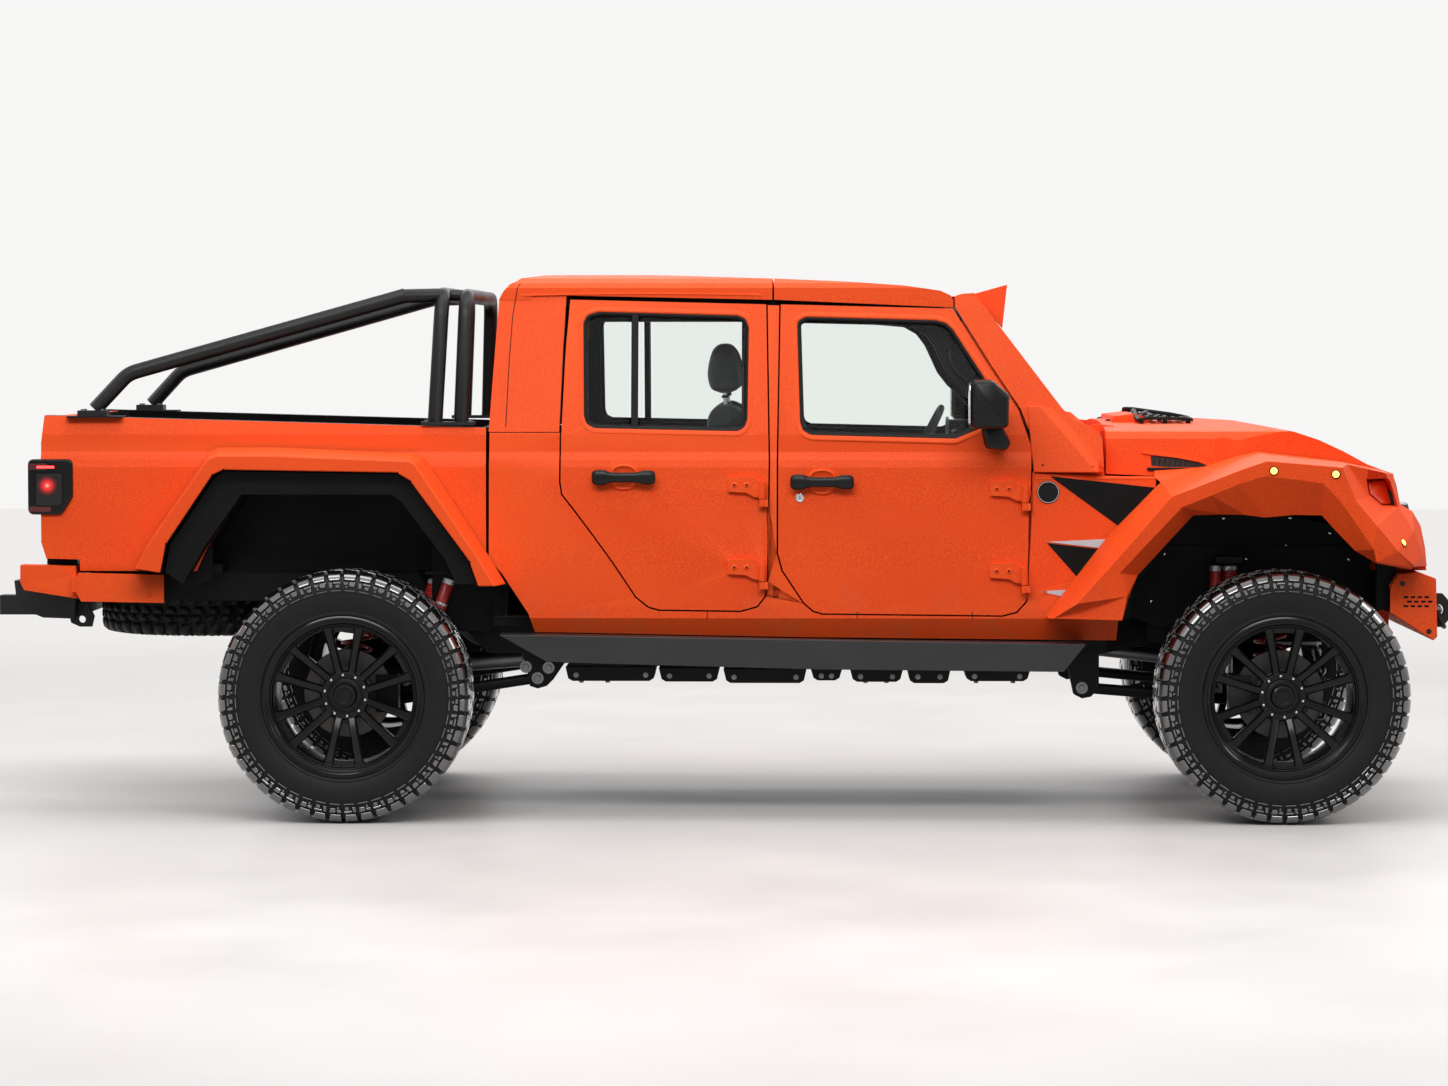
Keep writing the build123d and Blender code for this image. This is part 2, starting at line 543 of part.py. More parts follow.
with BuildPart() as driveshafts:
    add(rod((466, 0, 650), (-1166, 0, 518), 38))
    add(rod((804, 190, 650), (1904, 230, 522), 28))
save(driveshafts.part, "driveshafts")

with BuildPart() as exhaust:
    add(tube_path([(1500, -340, 720), (1330, -340, 640), (300, -300, 634), (-296, -300, 634)], [90, 60], 30))
    add(rod((-290, -300, 632), (-760, -300, 632), 76))             # muffler
    add(tube_path([(-755, -300, 632), (-930, -300, 640), (-1100, -300, 780), (-1320, -300, 820), (-1490, -360, 780)], [100, 100, 100], 28))
save(exhaust.part, "exhaust")

with BuildPart() as fuel_tank:
    add(block(-640, -80, 70, 425, 560, 712))
    chamfer(fuel_tank.edges().group_by(Axis.Z)[0], 30)
save(fuel_tank.part, "fuel_tank")

# ---------------------------------------------------------------- frame
RAIL_OUT = [(2500, 408), (1640, 408), (1480, 512), (-2400, 512)]
RAIL_IN = [(-2400, 450), (1450, 450), (1605, 343), (2500, 343)]
RAIL_SIDE = [(2500, 640), (2500, 770), (1700, 770), (1450, 712), (-900, 712), (-1080, 800), (-1150, 918),
             (-2400, 918), (-2400, 800), (-1150, 800), (-1010, 740), (-880, 600), (1450, 600), (1700, 640)]
with BuildPart() as rail:
    add(prism_z(RAIL_OUT + RAIL_IN, 560, 950))
    add(prism_y(RAIL_SIDE, 300, 600), mode=Mode.INTERSECT)
    # control arm brackets
    for y in (450, 503):
        add(prism_y([(-750, 602), (-735, 560), (-720, 475), (-690, 465), (-655, 475), (-630, 500), (-560, 602)], y, y + 7))
    for y in (442, 503):
        add(prism_y([(1323, 602), (1340, 512), (1355, 445), (1385, 430), (1420, 436), (1450, 470), (1450, 602)], y, y + 7))
    add(block(2050, 2156, 343, 408, 765, 892))                 # spring tower, front
    add(block(2037, 2169, 343, 548, 890, 912))
    add(block(-1110, -1020, 512, 518, 700, 917))               # rear damper mount
    add(block(-1110, -1020, 512, 610, 905, 917))
    add(block(1885, 1985, 398, 585, 950, 974))                 # front damper mount
    add(prism_y([(1900, 760), (1990, 760), (1985, 974), (1885, 974)], 398, 412))
with BuildPart() as frame:
    add(both(rail.part))
    add(block(2130, 2310, 257, 345, 648, 765))                 # steering box
    add(block(2460, 2500, -380, 380, 640, 770))                # cross members
    add(block(640, 700, -480, 480, 562, 602))
    add(block(-60, -10, -470, 470, 682, 712))
    add(block(-860, -800, -470, 470, 690, 712))
    add(block(-1240, -1180, -470, 470, 870, 918))
    add(block(-1520, -1460, -470, 470, 880, 918))
    add(block(-2400, -2352, -470, 470, 896, 918))
print("frame solids", len(frame.part.solids()))
save(frame.part, "frame")

# ---------------------------------------------------------------- axles and suspension
FRONT_ARM_Y = 410.0                                   # front control arms' half width at the axle


def axle_yokes(x, side):
    """Outer end of the steered axle: yoke around the steering axis."""
    y = side * KING_Y
    with BuildPart() as a:
        add(block(x - 26, x + 26, min(side * 640, side * 668), max(side * 640, side * 668), Z_HUB - 104, Z_HUB + 104))
        add(block(x - 30, x + 30, min(side * 650, side * 745), max(side * 650, side * 745), Z_HUB + 74, Z_HUB + 104))
        add(block(x - 30, x + 30, min(side * 650, side * 745), max(side * 650, side * 745), Z_HUB - 104, Z_HUB - 74))
    return a.part


with BuildPart() as front_axle:
    add(rod((X_FRONT, -650, Z_HUB), (X_FRONT, 650, Z_HUB), 42))
    with Locations((X_FRONT, 230, Z_HUB)):
        Sphere(140)
    add(rod((X_FRONT - 180, 230, 514), (X_FRONT - 60, 230, 480), 55))
    for s in (-1, 1):
        add(axle_yokes(X_FRONT, s))
        add(block(X_FRONT - 45, X_FRONT + 45, s * 480 - 45, s * 480 + 45, Z_HUB + 20, Z_HUB + 60))      # spring seat
        for y in (FRONT_ARM_Y - 26.5, FRONT_ARM_Y + 33.5):                                            # arm bracket
            add(block(X_FRONT - 82, X_FRONT - 20, s * y - 3.5, s * y + 3.5, Z_HUB - 92, Z_HUB + 10))
        add(block(X_FRONT - 185, X_FRONT - 20, s * 500 - 18, s * 500 + 18, Z_HUB - 20, Z_HUB + 20))     # damper foot
save(front_axle.part, "front_axle")

def caliper(x0, x1, x_disc, s):
    """Brake caliper from x0 to x1 on side s, hollowed around the disc."""
    with BuildPart() as c:
        add(block(x0, x1, min(s * 748, s * 832), max(s * 748, s * 832), Z_HUB - 70, Z_HUB + 70))
        add(rod((x_disc, s * 771, Z_HUB), (x_disc, s * 813, Z_HUB), 173), mode=Mode.SUBTRACT)
    return c.part


with BuildPart() as rear_axle:
    add(rod((X_REAR, -762, Z_HUB), (X_REAR, 762, Z_HUB), 45))
    add(rod((X_REAR, -835, Z_HUB), (X_REAR, 835, Z_HUB), 34))
    with Locations((X_REAR, 0, Z_HUB)):
        Sphere(150)
    add(rod((X_REAR + 200, 0, 516), (X_REAR + 60, 0, 485), 58))
    for s in (-1, 1):
        add(block(X_REAR - 50, X_REAR + 50, s * 480 - 45, s * 480 + 45, Z_HUB + 20, Z_HUB + 62))
        for y in (453.5, 506.5):
            add(block(X_REAR + 20, X_REAR + 96, s * y - 3.5, s * y + 3.5, Z_HUB - 96, Z_HUB + 10))
        add(block(X_REAR + 20, X_REAR + 230, s * 590 - 18, s * 590 + 18, Z_HUB - 22, Z_HUB + 18))
        add(rod((X_REAR, s * 745, Z_HUB), (X_REAR, s * 762, Z_HUB), 110))                              # backing plate
        add(block(X_REAR + 60, X_REAR + 120, min(s * 745, s * 760), max(s * 745, s * 760), Z_HUB - 40, Z_HUB + 40))
        add(caliper(X_REAR + 105, X_REAR + 190, X_REAR, s))
save(rear_axle.part, "rear_axle")

with BuildPart() as control_arms:
    for s in (-1, 1):
        # the front arms lean inboard to clear the steered tyres
        for a, b, yb in (((1385, 470), (2050, 412), FRONT_ARM_Y), ((-690, 505), (X_REAR + 66, 408), 480)):
            add(rod((a[0], s * 480, a[1]), (b[0], s * yb, b[1]), 21))
            lean = 7 if yb != 480 else 0
            add(rod((a[0], s * (457 - lean), a[1]), (a[0], s * 503, a[1]), 27))
            add(rod((b[0], s * (yb - 23), b[1]), (b[0], s * (yb + 23 + lean), b[1]), 27))
save(control_arms.part, "control_arms")

def coil(x, y, z0, z1, r):
    """Coil spring as a 16 mm thick sleeve."""
    with BuildPart() as c:
        with BuildSketch(Plane.XY.offset(z0)):
            with Locations((x, y)):
                Circle(r)
                Circle(r - 16, mode=Mode.SUBTRACT)
        extrude(amount=z1 - z0)
    return c.part


with BuildPart() as coil_springs:
    for s in (-1, 1):
        add(coil(X_FRONT, s * 480, Z_HUB + 60, 890, 66))
        add(coil(X_REAR, s * 480, Z_HUB + 62, 800, 62))

with BuildPart() as shocks:
    for s in (-1, 1):
        add(rod((1945, s * 500, 491), (1945, s * 500, 700), 20))
        add(rod((1945, s * 500, 700), (1945, s * 500, 950), 32))
        add(rod((1889, s * 524, 770), (1889, s * 524, 947), 22))
        add(block(1885, 1945, min(s * 500, s * 524), max(s * 500, s * 524), 880, 900))
        add(rod((X_REAR + 200, s * 590, 496), (X_REAR + 255, s * 580, 690), 20))
        add(rod((X_REAR + 255, s * 580, 690), (X_REAR + 314, s * 571, 894), 32))
        add(rod((X_REAR + 325, s * 625, 760), (X_REAR + 368, s * 618, 894), 24))
        add(block(X_REAR + 300, X_REAR + 370, min(s * 570, s * 625), max(s * 570, s * 625), 850, 868))
with BuildPart() as springs_and_shocks:
    add(coil_springs.part)
    add(shocks.part)
save(springs_and_shocks.part, "springs_and_shocks")

# ---------------------------------------------------------------- steering knuckles and linkage
def knuckle(side, drag):
    """Steering knuckle with its arm, brake caliper and spindle; right side has the drag link arm."""
    y = side * KING_Y
    with BuildPart() as k:
        add(rod((X_FRONT, y, Z_HUB - 68), (X_FRONT, y, Z_HUB + 68), 30))
        add(block(X_FRONT - 40, X_FRONT + 40, min(side * 725, side * 760), max(side * 725, side * 760), Z_HUB - 60, Z_HUB + 60))
        add(rod((X_FRONT, side * 752, Z_HUB), (X_FRONT, side * 835, Z_HUB), 34))
        # tie rod arm
        add(prism_z([(X_FRONT - 20, y - 22), (X_FRONT + ARM, y - 20), (X_FRONT + ARM + 20, y), (X_FRONT + ARM, y + 20),
                     (X_FRONT - 20, y + 22)], TIE_Z + 14, TIE_Z + 38))
        add(rod((X_FRONT + ARM, y, TIE_Z - 10), (X_FRONT + ARM, y, TIE_Z + 60), 9), mode=Mode.SUBTRACT)
        if drag:
            add(prism_z([(X_FRONT - 20, y - 22), (X_FRONT + ARM, y - 20), (X_FRONT + ARM + 20, y), (X_FRONT + ARM, y + 20),
                         (X_FRONT - 20, y + 22)], Z_HUB + 34, Z_HUB + 58))
            add(rod((X_FRONT + ARM, y, Z_HUB + 20), (X_FRONT + ARM, y, Z_HUB + 90), 9), mode=Mode.SUBTRACT)
        # caliper behind the axle line
        add(block(X_FRONT - 120, X_FRONT - 30, min(side * 735, side * 757), max(side * 735, side * 757), Z_HUB - 40, Z_HUB + 40))
        add(caliper(X_FRONT - 190, X_FRONT - 105, X_FRONT, side))
    return k.part


save(knuckle(-1, True), "knuckle_right")
save(knuckle(1, False), "knuckle_left")

with BuildPart() as tie_rod:
    add(rod((X_FRONT + ARM, -KING_Y + 10, TIE_Z - 12), (X_FRONT + ARM, KING_Y - 10, TIE_Z - 12), 17))
    for s in (-1, 1):
        with Locations((X_FRONT + ARM, s * KING_Y, TIE_Z - 12)):
            Sphere(22)
        add(rod((X_FRONT + ARM, s * KING_Y, TIE_Z - 12), (X_FRONT + ARM, s * KING_Y, TIE_Z + 34), 7.5))
save(tie_rod.part, "tie_rod")

PIT_X, PIT_Y = 2205.0, 300.0                       # pitman shaft
DL_Z = Z_HUB + 82
with BuildPart() as drag_link:
    add(rod((X_FRONT + ARM, -KING_Y + 10, DL_Z), (PIT_X + ARM, PIT_Y - 10, DL_Z), 16))
    for x, y in ((X_FRONT + ARM, -KING_Y), (PIT_X + ARM, PIT_Y)):
        with Locations((x, y, DL_Z)):
            Sphere(21)
    add(rod((X_FRONT + ARM, -KING_Y, DL_Z), (X_FRONT + ARM, -KING_Y, Z_HUB + 38), 7.5))
    add(rod((PIT_X + ARM, PIT_Y, DL_Z), (PIT_X + ARM, PIT_Y, DL_Z + 46), 7.5))
save(drag_link.part, "drag_link")

with BuildPart() as pitman_arm:
    add(prism_z([(PIT_X - 26, PIT_Y - 26), (PIT_X + ARM, PIT_Y - 20), (PIT_X + ARM + 20, PIT_Y), (PIT_X + ARM, PIT_Y + 20),
                 (PIT_X - 26, PIT_Y + 26)], DL_Z + 28, DL_Z + 52))
    add(rod((PIT_X, PIT_Y, DL_Z + 40), (PIT_X, PIT_Y, DL_Z + 92), 22))
    add(rod((PIT_X + ARM, PIT_Y, DL_Z + 20), (PIT_X + ARM, PIT_Y, DL_Z + 60), 9), mode=Mode.SUBTRACT)
save(pitman_arm.part, "pitman_arm")


# ---------------------------------------------------------------- wheels
SPOKES = 12


def wheel(side):
    """Rim with spokes, hub, brake disc; the tyre is its own piece."""
    o = side                                            # outboard direction
    yc = side * Y_WHEEL
    barrel = [(BEAD_R - 17, -148), (BEAD_R + 12, -152), (BEAD_R + 12, -144), (BEAD_R, -136), (BEAD_R, -120), (BEAD_R - 12, -60),
              (BEAD_R - 12, 60), (BEAD_R, 110), (BEAD_R, 136), (BEAD_R + 12, 144), (RIM_R + 6, 152), (BEAD_R - 22, 150),
              (BEAD_R - 30, 100), (BEAD_R - 24, 60), (BEAD_R - 24, -60), (BEAD_R - 14, -120)]
    with BuildPart() as spoke:
        with BuildSketch(Plane.XY):
            with BuildLine():
                Polyline(*[(x, o * y) for x, y in [(70, 20), (70, 62), (110, 74), (200, 96), (262, 132), (262, 84), (200, 52), (110, 26)]], close=True)
            make_face()
        extrude(amount=13, both=True)
    spokes = [Rot(0, k * 360 / SPOKES, 0) * spoke.part for k in range(SPOKES)]
    with BuildPart() as r:
        with BuildSketch(Plane.XY):
            with BuildLine():
                Polyline(*[(x, o * y) for x, y in barrel], close=True)
            make_face()
        revolve(axis=Axis.Y)
        # hub pad, cap and brake disc hat
        add(rod((0, o * -14, 0), (0, o * 60, 0), 92))
        add(rod((0, o * 55, 0), (0, o * 92, 0), 46))
        add(rod((0, o * -74, 0), (0, o * -10, 0), 80))
        add(rod((0, o * -84, 0), (0, o * -56, 0), 165))
        add(rod((0, o * -90, 0), (0, o * -20, 0), 38), mode=Mode.SUBTRACT)
        for blade in spokes:
            add(blade)
    return Pos(0, yc, Z_HUB) * r.part


TYRE_SEC = [(BEAD_R + 1, -136), (BEAD_R + 13, -144), (300, -153), (330, -164), (372, -170), (412, -168), (446, -158), (462, -148),
            (470, -130), (471, 0)]
TYRE_SEC = TYRE_SEC + [(r, -y) for r, y in reversed(TYRE_SEC[:-1])] + [
    (BEAD_R + 1, 110), (BEAD_R + 10, 128), (318, 142), (400, 146), (440, 134), (444, 0), (440, -134), (400, -146), (318, -142),
    (BEAD_R + 10, -128), (BEAD_R + 1, -110)]
with BuildPart() as tyre:
    with BuildSketch(Plane.XY):
        with BuildLine():
            Polyline(*TYRE_SEC, close=True)
        make_face()
    revolve(axis=Axis.Y)
for name, x, s in (("front_right", X_FRONT, -1), ("front_left", X_FRONT, 1), ("rear_right", X_REAR, -1), ("rear_left", X_REAR, 1)):
    save(Pos(x, 0, 0) * wheel(s), f"wheel_{name}")
    save(Pos(x, s * Y_WHEEL, Z_HUB) * tyre.part, f"tyre_{name}")

# ---------------------------------------------------------------- bed
BED_SIDE = [(-2526, 1512), (-2538, 1408), (-2538, 1035), (-2519, 974), (-2393, 971), (-2393, 928), (-866, 928), (-866, 1466)]
RARCH = [(-1965, 900), (-1910, 1021), (-1770, 1220), (-1212, 1220), (-1176, 1196), (-1010, 974), (-985, 900)]
TAIL_Y = 655.0                                        # half width of the tailgate opening
TAIL_PIN = (-2500.0, 985.0)                           # tailgate's hinge pins
with BuildPart() as bed_wall:
    add(prism_y(BED_SIDE, -900, -500))
    add(slab(0, 95), mode=Mode.INTERSECT)
    add(prism_y(RARCH, -900, -500), mode=Mode.SUBTRACT)
    # wheelhouse over the arch
    add(grown_y(RARCH, 14, -712, -520))
    add(block(-3000, 0, -900, -500, 800, 918), mode=Mode.SUBTRACT)
    add(prism_y(RARCH, -900, -532), mode=Mode.SUBTRACT)
    # corner post beside the tailgate
    add(block(-2530, -2420, -712, -TAIL_Y - 7, 945, 1500))
    add(rod((TAIL_PIN[0], -712, TAIL_PIN[1]), (TAIL_PIN[0], -TAIL_Y, TAIL_PIN[1]), 12), mode=Mode.SUBTRACT)
with BuildPart() as bed_walls:
    add(both(bed_wall.part))
    add(block(-2452, -870, -521, 521, 918, 950))
    add(block(-2452, -1868, -706, 706, 918, 950))
    add(block(-972, -870, -706, 706, 918, 950))
    add(block(-905, -868, -706, 706, 918, 1462))      # front wall
print("bed solids", len(bed_walls.part.solids()), bed_walls.part.volume)
save(bed_walls.part, "bed")

with BuildPart() as tailgate:
    add(prism_y([(-2526, 1506), (-2534, 1408), (-2534, 1010), (-2526, 972), (-2466, 972), (-2466, 1506)], -TAIL_Y, TAIL_Y))
    add(block(-2545, -2520, -85, 85, 1360, 1430))       # pull handle
    add(rod((TAIL_PIN[0], -TAIL_Y - 24, TAIL_PIN[1]), (TAIL_PIN[0], TAIL_Y + 24, TAIL_PIN[1]), 9))
save(tailgate.part, "tailgate")

LAMP = [(-2585, 1337), (-2416, 1344), (-2416, 1215), (-2452, 1143), (-2585, 1143)]
with BuildPart() as lamp_back:
    add(prism_y(LAMP, -810, -668))
    add(prism_y(BED_SIDE, -900, -500), mode=Mode.SUBTRACT)
with BuildPart() as lamp_side:
    add(prism_y(LAMP, -812, -796))
    add(slab(0, 200), mode=Mode.SUBTRACT)
with BuildPart() as taillights:
    add(both(lamp_back.part))
    add(both(lamp_side.part))
save(taillights.part, "taillights")

with BuildPart() as flare_rear:
    with BuildSketch(Plane.XZ.offset(965)):
        with BuildLine():
            Polyline(*RF_FACE, *reversed(RF_IN), close=True)
        make_face()
    with BuildSketch(Plane.XZ.offset(804)):
        with BuildLine():
            Polyline(*RF_OUT, *reversed(RF_IN), close=True)
        make_face()
    loft(ruled=True)
with BuildPart() as rear_flares:
    add(both(flare_rear.part))
save(rear_flares.part, "rear_flares")

with BuildPart() as bed_bar:
    for s in (-1, 1):
        add(tube_path([(-1175, s * 690, 1962), (-2215, s * 735, 1668), (-2340, s * 745, 1534)], [110], 28))
    for xb, zb, xt, zt in ((-1060, 1485, -1036, 1966), (-962, 1485, -946, 1960)):
        add(tube_path([(xb, -745, zb), (xt, -680, zt), (xt, 680, zt), (xb, 745, zb)], [95, 95], 28))
    for s in (-1, 1):
        add(rod((-946, s * 590, 1961), (-1036, s * 590, 1966), 22))
        add(rod((-1036, s * 640, 1963), (-1185, s * 690, 1959), 27))
        add(block(-1110, -910, s * 745 - 48, s * 745 + 48, 1476, 1488))
        add(block(-2400, -2290, s * 745 - 45, s * 745 + 45, 1509, 1530))
print("bar solids", len(bed_bar.part.solids()))
save(bed_bar.part, "bed_bar")

# ---------------------------------------------------------------- bumpers, sliders, spare wheel
def lug(outline, y, half, x_hole, z_hole, r_hole):
    """Flat lug of (x, z) points across y, with its round hole."""
    with BuildPart() as u:
        add(prism_y(outline, y - half, y + half))
        add(rod((x_hole, y - 30, z_hole), (x_hole, y + 30, z_hole), r_hole), mode=Mode.SUBTRACT)
    return u.part


with BuildPart() as front_bumper:
    add(prism_y([(2528, 770), (2528, 865), (2560, 917), (2640, 922), (2701, 899), (2707, 680), (2692, 665), (2540, 764)], -705, 705))
    add(block(2500, 2560, -437, -330, 690, 800))
    add(block(2500, 2560, 330, 437, 690, 800))
    for s in (-1, 1):
        add(lug([(2690, 701), (2760, 701), (2786, 730), (2786, 800), (2760, 830), (2690, 830)], s * 450, 16, 2744, 766, 22))
save(front_bumper.part, "front_bumper")

with BuildPart() as bumper_end:
    add(prism_y([(-2617, 940), (-2409, 936), (-2402, 824), (-2603, 856), (-2617, 885)], -800, -714))
    add(prism_y([(-2617, 910), (-2409, 910), (-2402, 824), (-2603, 856), (-2617, 885)], -715, -560))
with BuildPart() as receiver:                          # 2 inch square tube
    add(block(-2832, -2500, -38, 38, 717, 793))
    add(block(-2900, -2560, -25.4, 25.4, 729.6, 780.4), mode=Mode.SUBTRACT)
with BuildPart() as rear_bumper:
    add(both(bumper_end.part))
    add(prism_y([(-2675, 881), (-2664, 780), (-2566, 740), (-2450, 736), (-2443, 790), (-2443, 880)], -600, 600))
    add(block(-2460, -2400, -507, -455, 806, 878))
    add(block(-2460, -2400, 455, 507, 806, 878))
    add(prism_y([(-2395, 922), (-2073, 915), (-2073, 810), (-2384, 815), (-2403, 850)], -830, -815))
    add(prism_y([(-2395, 922), (-2073, 915), (-2073, 810), (-2384, 815), (-2403, 850)], 815, 830))
    add(block(-2420, -2380, -826, -700, 850, 910))
    add(block(-2420, -2380, 700, 826, 850, 910))
    for s in (-1, 1):
        add(lug([(-2480, 745), (-2474, 715), (-2440, 700), (-2395, 700), (-2386, 740), (-2410, 790), (-2480, 790)],
                s * 500, 12, -2432, 728, 14))
    add(receiver.part)
save(rear_bumper.part, "rear_bumper")

with BuildPart() as slider:
    add(prism_y([(-684, 694), (-500, 690), (300, 674), (1376, 662), (1294, 559), (383, 567), (-540, 591), (-636, 596), (-812, 694)], -890, -740))
    for x in (-450, 200, 800, 1200):
        add(block(x - 30, x + 30, -745, -513, 606, 650))
with BuildPart() as side_sliders:
    add(both(slider.part))
print("slider solids", len(side_sliders.part.solids()))
save(side_sliders.part, "side_sliders")

with BuildPart() as spare_wheel:
    with BuildSketch(Plane.XZ):
        with BuildLine():
            Polyline((215, 631 + 60), (215, 890 - 60), (250, 890), (330, 892), (412, 885), (436, 860), (440, 760),
                     (436, 662), (412, 637), (330, 630), (250, 632), close=True)
        make_face()
    revolve(axis=Axis.Z)
    add(rod((0, 0, 745), (0, 0, 775), 220))
    add(rod((0, 0, 770), (0, 0, 918), 20))
spare = Pos(-1990, 0, 0) * spare_wheel.part
save(spare, "spare_wheel")
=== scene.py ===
import json
import math
import random

import bmesh
import bpy
import numpy as np
from mathutils import Matrix, Vector
from mathutils.geometry import delaunay_2d_cdt

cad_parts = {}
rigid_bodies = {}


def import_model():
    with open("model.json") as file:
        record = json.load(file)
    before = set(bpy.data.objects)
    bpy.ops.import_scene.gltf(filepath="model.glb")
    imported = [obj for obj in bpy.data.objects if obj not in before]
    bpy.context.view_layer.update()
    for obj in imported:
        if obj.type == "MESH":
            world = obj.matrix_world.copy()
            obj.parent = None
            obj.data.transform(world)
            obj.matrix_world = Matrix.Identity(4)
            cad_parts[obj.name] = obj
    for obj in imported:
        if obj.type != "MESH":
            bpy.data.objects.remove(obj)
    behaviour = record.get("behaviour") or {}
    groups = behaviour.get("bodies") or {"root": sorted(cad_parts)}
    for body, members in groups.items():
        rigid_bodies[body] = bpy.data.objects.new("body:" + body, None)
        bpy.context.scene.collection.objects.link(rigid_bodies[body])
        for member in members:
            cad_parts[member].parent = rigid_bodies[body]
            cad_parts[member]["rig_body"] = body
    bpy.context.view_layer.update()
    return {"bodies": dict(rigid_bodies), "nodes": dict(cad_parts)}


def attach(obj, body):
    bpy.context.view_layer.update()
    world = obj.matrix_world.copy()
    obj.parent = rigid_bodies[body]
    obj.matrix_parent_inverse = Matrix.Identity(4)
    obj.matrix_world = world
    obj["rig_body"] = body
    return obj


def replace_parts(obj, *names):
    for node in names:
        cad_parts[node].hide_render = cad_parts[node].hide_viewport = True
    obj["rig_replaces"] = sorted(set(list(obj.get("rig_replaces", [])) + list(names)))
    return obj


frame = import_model()
NODES = frame["nodes"]
SCENE = bpy.context.scene
MM = 0.001

# ------------------------------------------------------------------ measures shared with the frame, in mm
X_REAR, X_FRONT = -1384.0, 2103.0
Y_WHEEL, Z_HUB = 862.0, 471.0
BELT_Z, RAIL_Z = 1345.0, 1975.0
Y_SILL, Y_BELT, Y_RAIL = 788.0, 800.0, 695.0
HINGE_Y = 816.0


def skin(z):
    """Half width of the body side at height z."""
    if z <= BELT_Z:
        return Y_SILL + (Y_BELT - Y_SILL) * (z - 600) / (BELT_Z - 600)
    return Y_BELT + (Y_RAIL - Y_BELT) * (z - BELT_Z) / (RAIL_Z - BELT_Z)


# ------------------------------------------------------------------ mesh builder, in mm
def unit(v):
    v = np.asarray(v, float)
    n = np.linalg.norm(v)
    return v / n if n > 1e-12 else v


def frame_of(d):
    """Two unit vectors across direction d."""
    d = unit(d)
    h = np.array([0, 0, 1.0]) if abs(d[2]) < 0.9 else np.array([1.0, 0, 0])
    u = unit(np.cross(h, d))
    return u, np.cross(d, u)


def rounded(pts, r, n=4):
    """Polygon with its corners rounded; r is one radius or a list."""
    out = []
    k = len(pts)
    for i in range(k):
        p0, p, p1 = (np.array(pts[j % k], float) for j in (i - 1, i, i + 1))
        ri = r[i] if isinstance(r, (list, tuple)) else r
        a, b = p0 - p, p1 - p
        la, lb = np.linalg.norm(a), np.linalg.norm(b)
        if la < 1e-9 or lb < 1e-9:
            continue
        a, b = a / la, b / lb
        c = float(np.clip(a @ b, -1, 1))
        ang = math.acos(c)
        if ri <= 0 or ang > math.pi - 0.06:
            out.append(tuple(p))
            continue
        t = min(ri / math.tan(ang / 2), la * 0.48, lb * 0.48)
        q0, q1 = p + a * t, p + b * t
        for s in range(n + 1):
            w = s / n
            out.append(tuple((1 - w) ** 2 * q0 + 2 * w * (1 - w) * p + w * w * q1))
    return out


def inset(pts, d):
    """Closed polygon moved inwards by d along its vertex normals."""
    P = np.array(pts, float)
    area = 0.5 * float(np.sum(P[:, 0] * np.roll(P[:, 1], -1) - np.roll(P[:, 0], -1) * P[:, 1]))
    sgn = 1.0 if area > 0 else -1.0
    e = np.roll(P, -1, 0) - P
    e /= np.maximum(np.linalg.norm(e, axis=1, keepdims=True), 1e-9)
    nrm = np.stack([-e[:, 1], e[:, 0]], 1) * sgn
    m = nrm + np.roll(nrm, 1, 0)
    m /= np.maximum(np.linalg.norm(m, axis=1, keepdims=True), 1e-9)
    cos = np.clip((m * nrm).sum(1), 0.35, 1)
    return [tuple(q) for q in P + m * (d / cos)[:, None]]


def dense(pts, step):
    """Closed polygon with points at most step apart."""
    out = []
    k = len(pts)
    for i in range(k):
        a, b = np.array(pts[i], float), np.array(pts[(i + 1) % k], float)
        n = max(1, int(math.ceil(np.linalg.norm(b - a) / step)))
        for s in range(n):
            out.append(tuple(a + (b - a) * s / n))
    return out


def smooth_path(points, r, n=7):
    """Open 3-D polyline with its inner corners rounded at radius r (one value or a list)."""
    P = [np.array(p, float) for p in points]
    out = [P[0]]
    for i in range(1, len(P) - 1):
        ri = r[i - 1] if isinstance(r, (list, tuple)) else r
        a, b = P[i - 1] - P[i], P[i + 1] - P[i]
        la, lb = np.linalg.norm(a), np.linalg.norm(b)
        a, b = a / la, b / lb
        ang = math.acos(float(np.clip(a @ b, -1, 1)))
        if ang > math.pi - 0.03:
            out.append(P[i])
            continue
        t = min(ri / math.tan(ang / 2), la * 0.49, lb * 0.49)
        q0, q1 = P[i] + a * t, P[i] + b * t
        for s in range(n + 1):
            w = s / n
            out.append((1 - w) ** 2 * q0 + 2 * w * (1 - w) * P[i] + w * w * q1)
    out.append(P[-1])
    return out


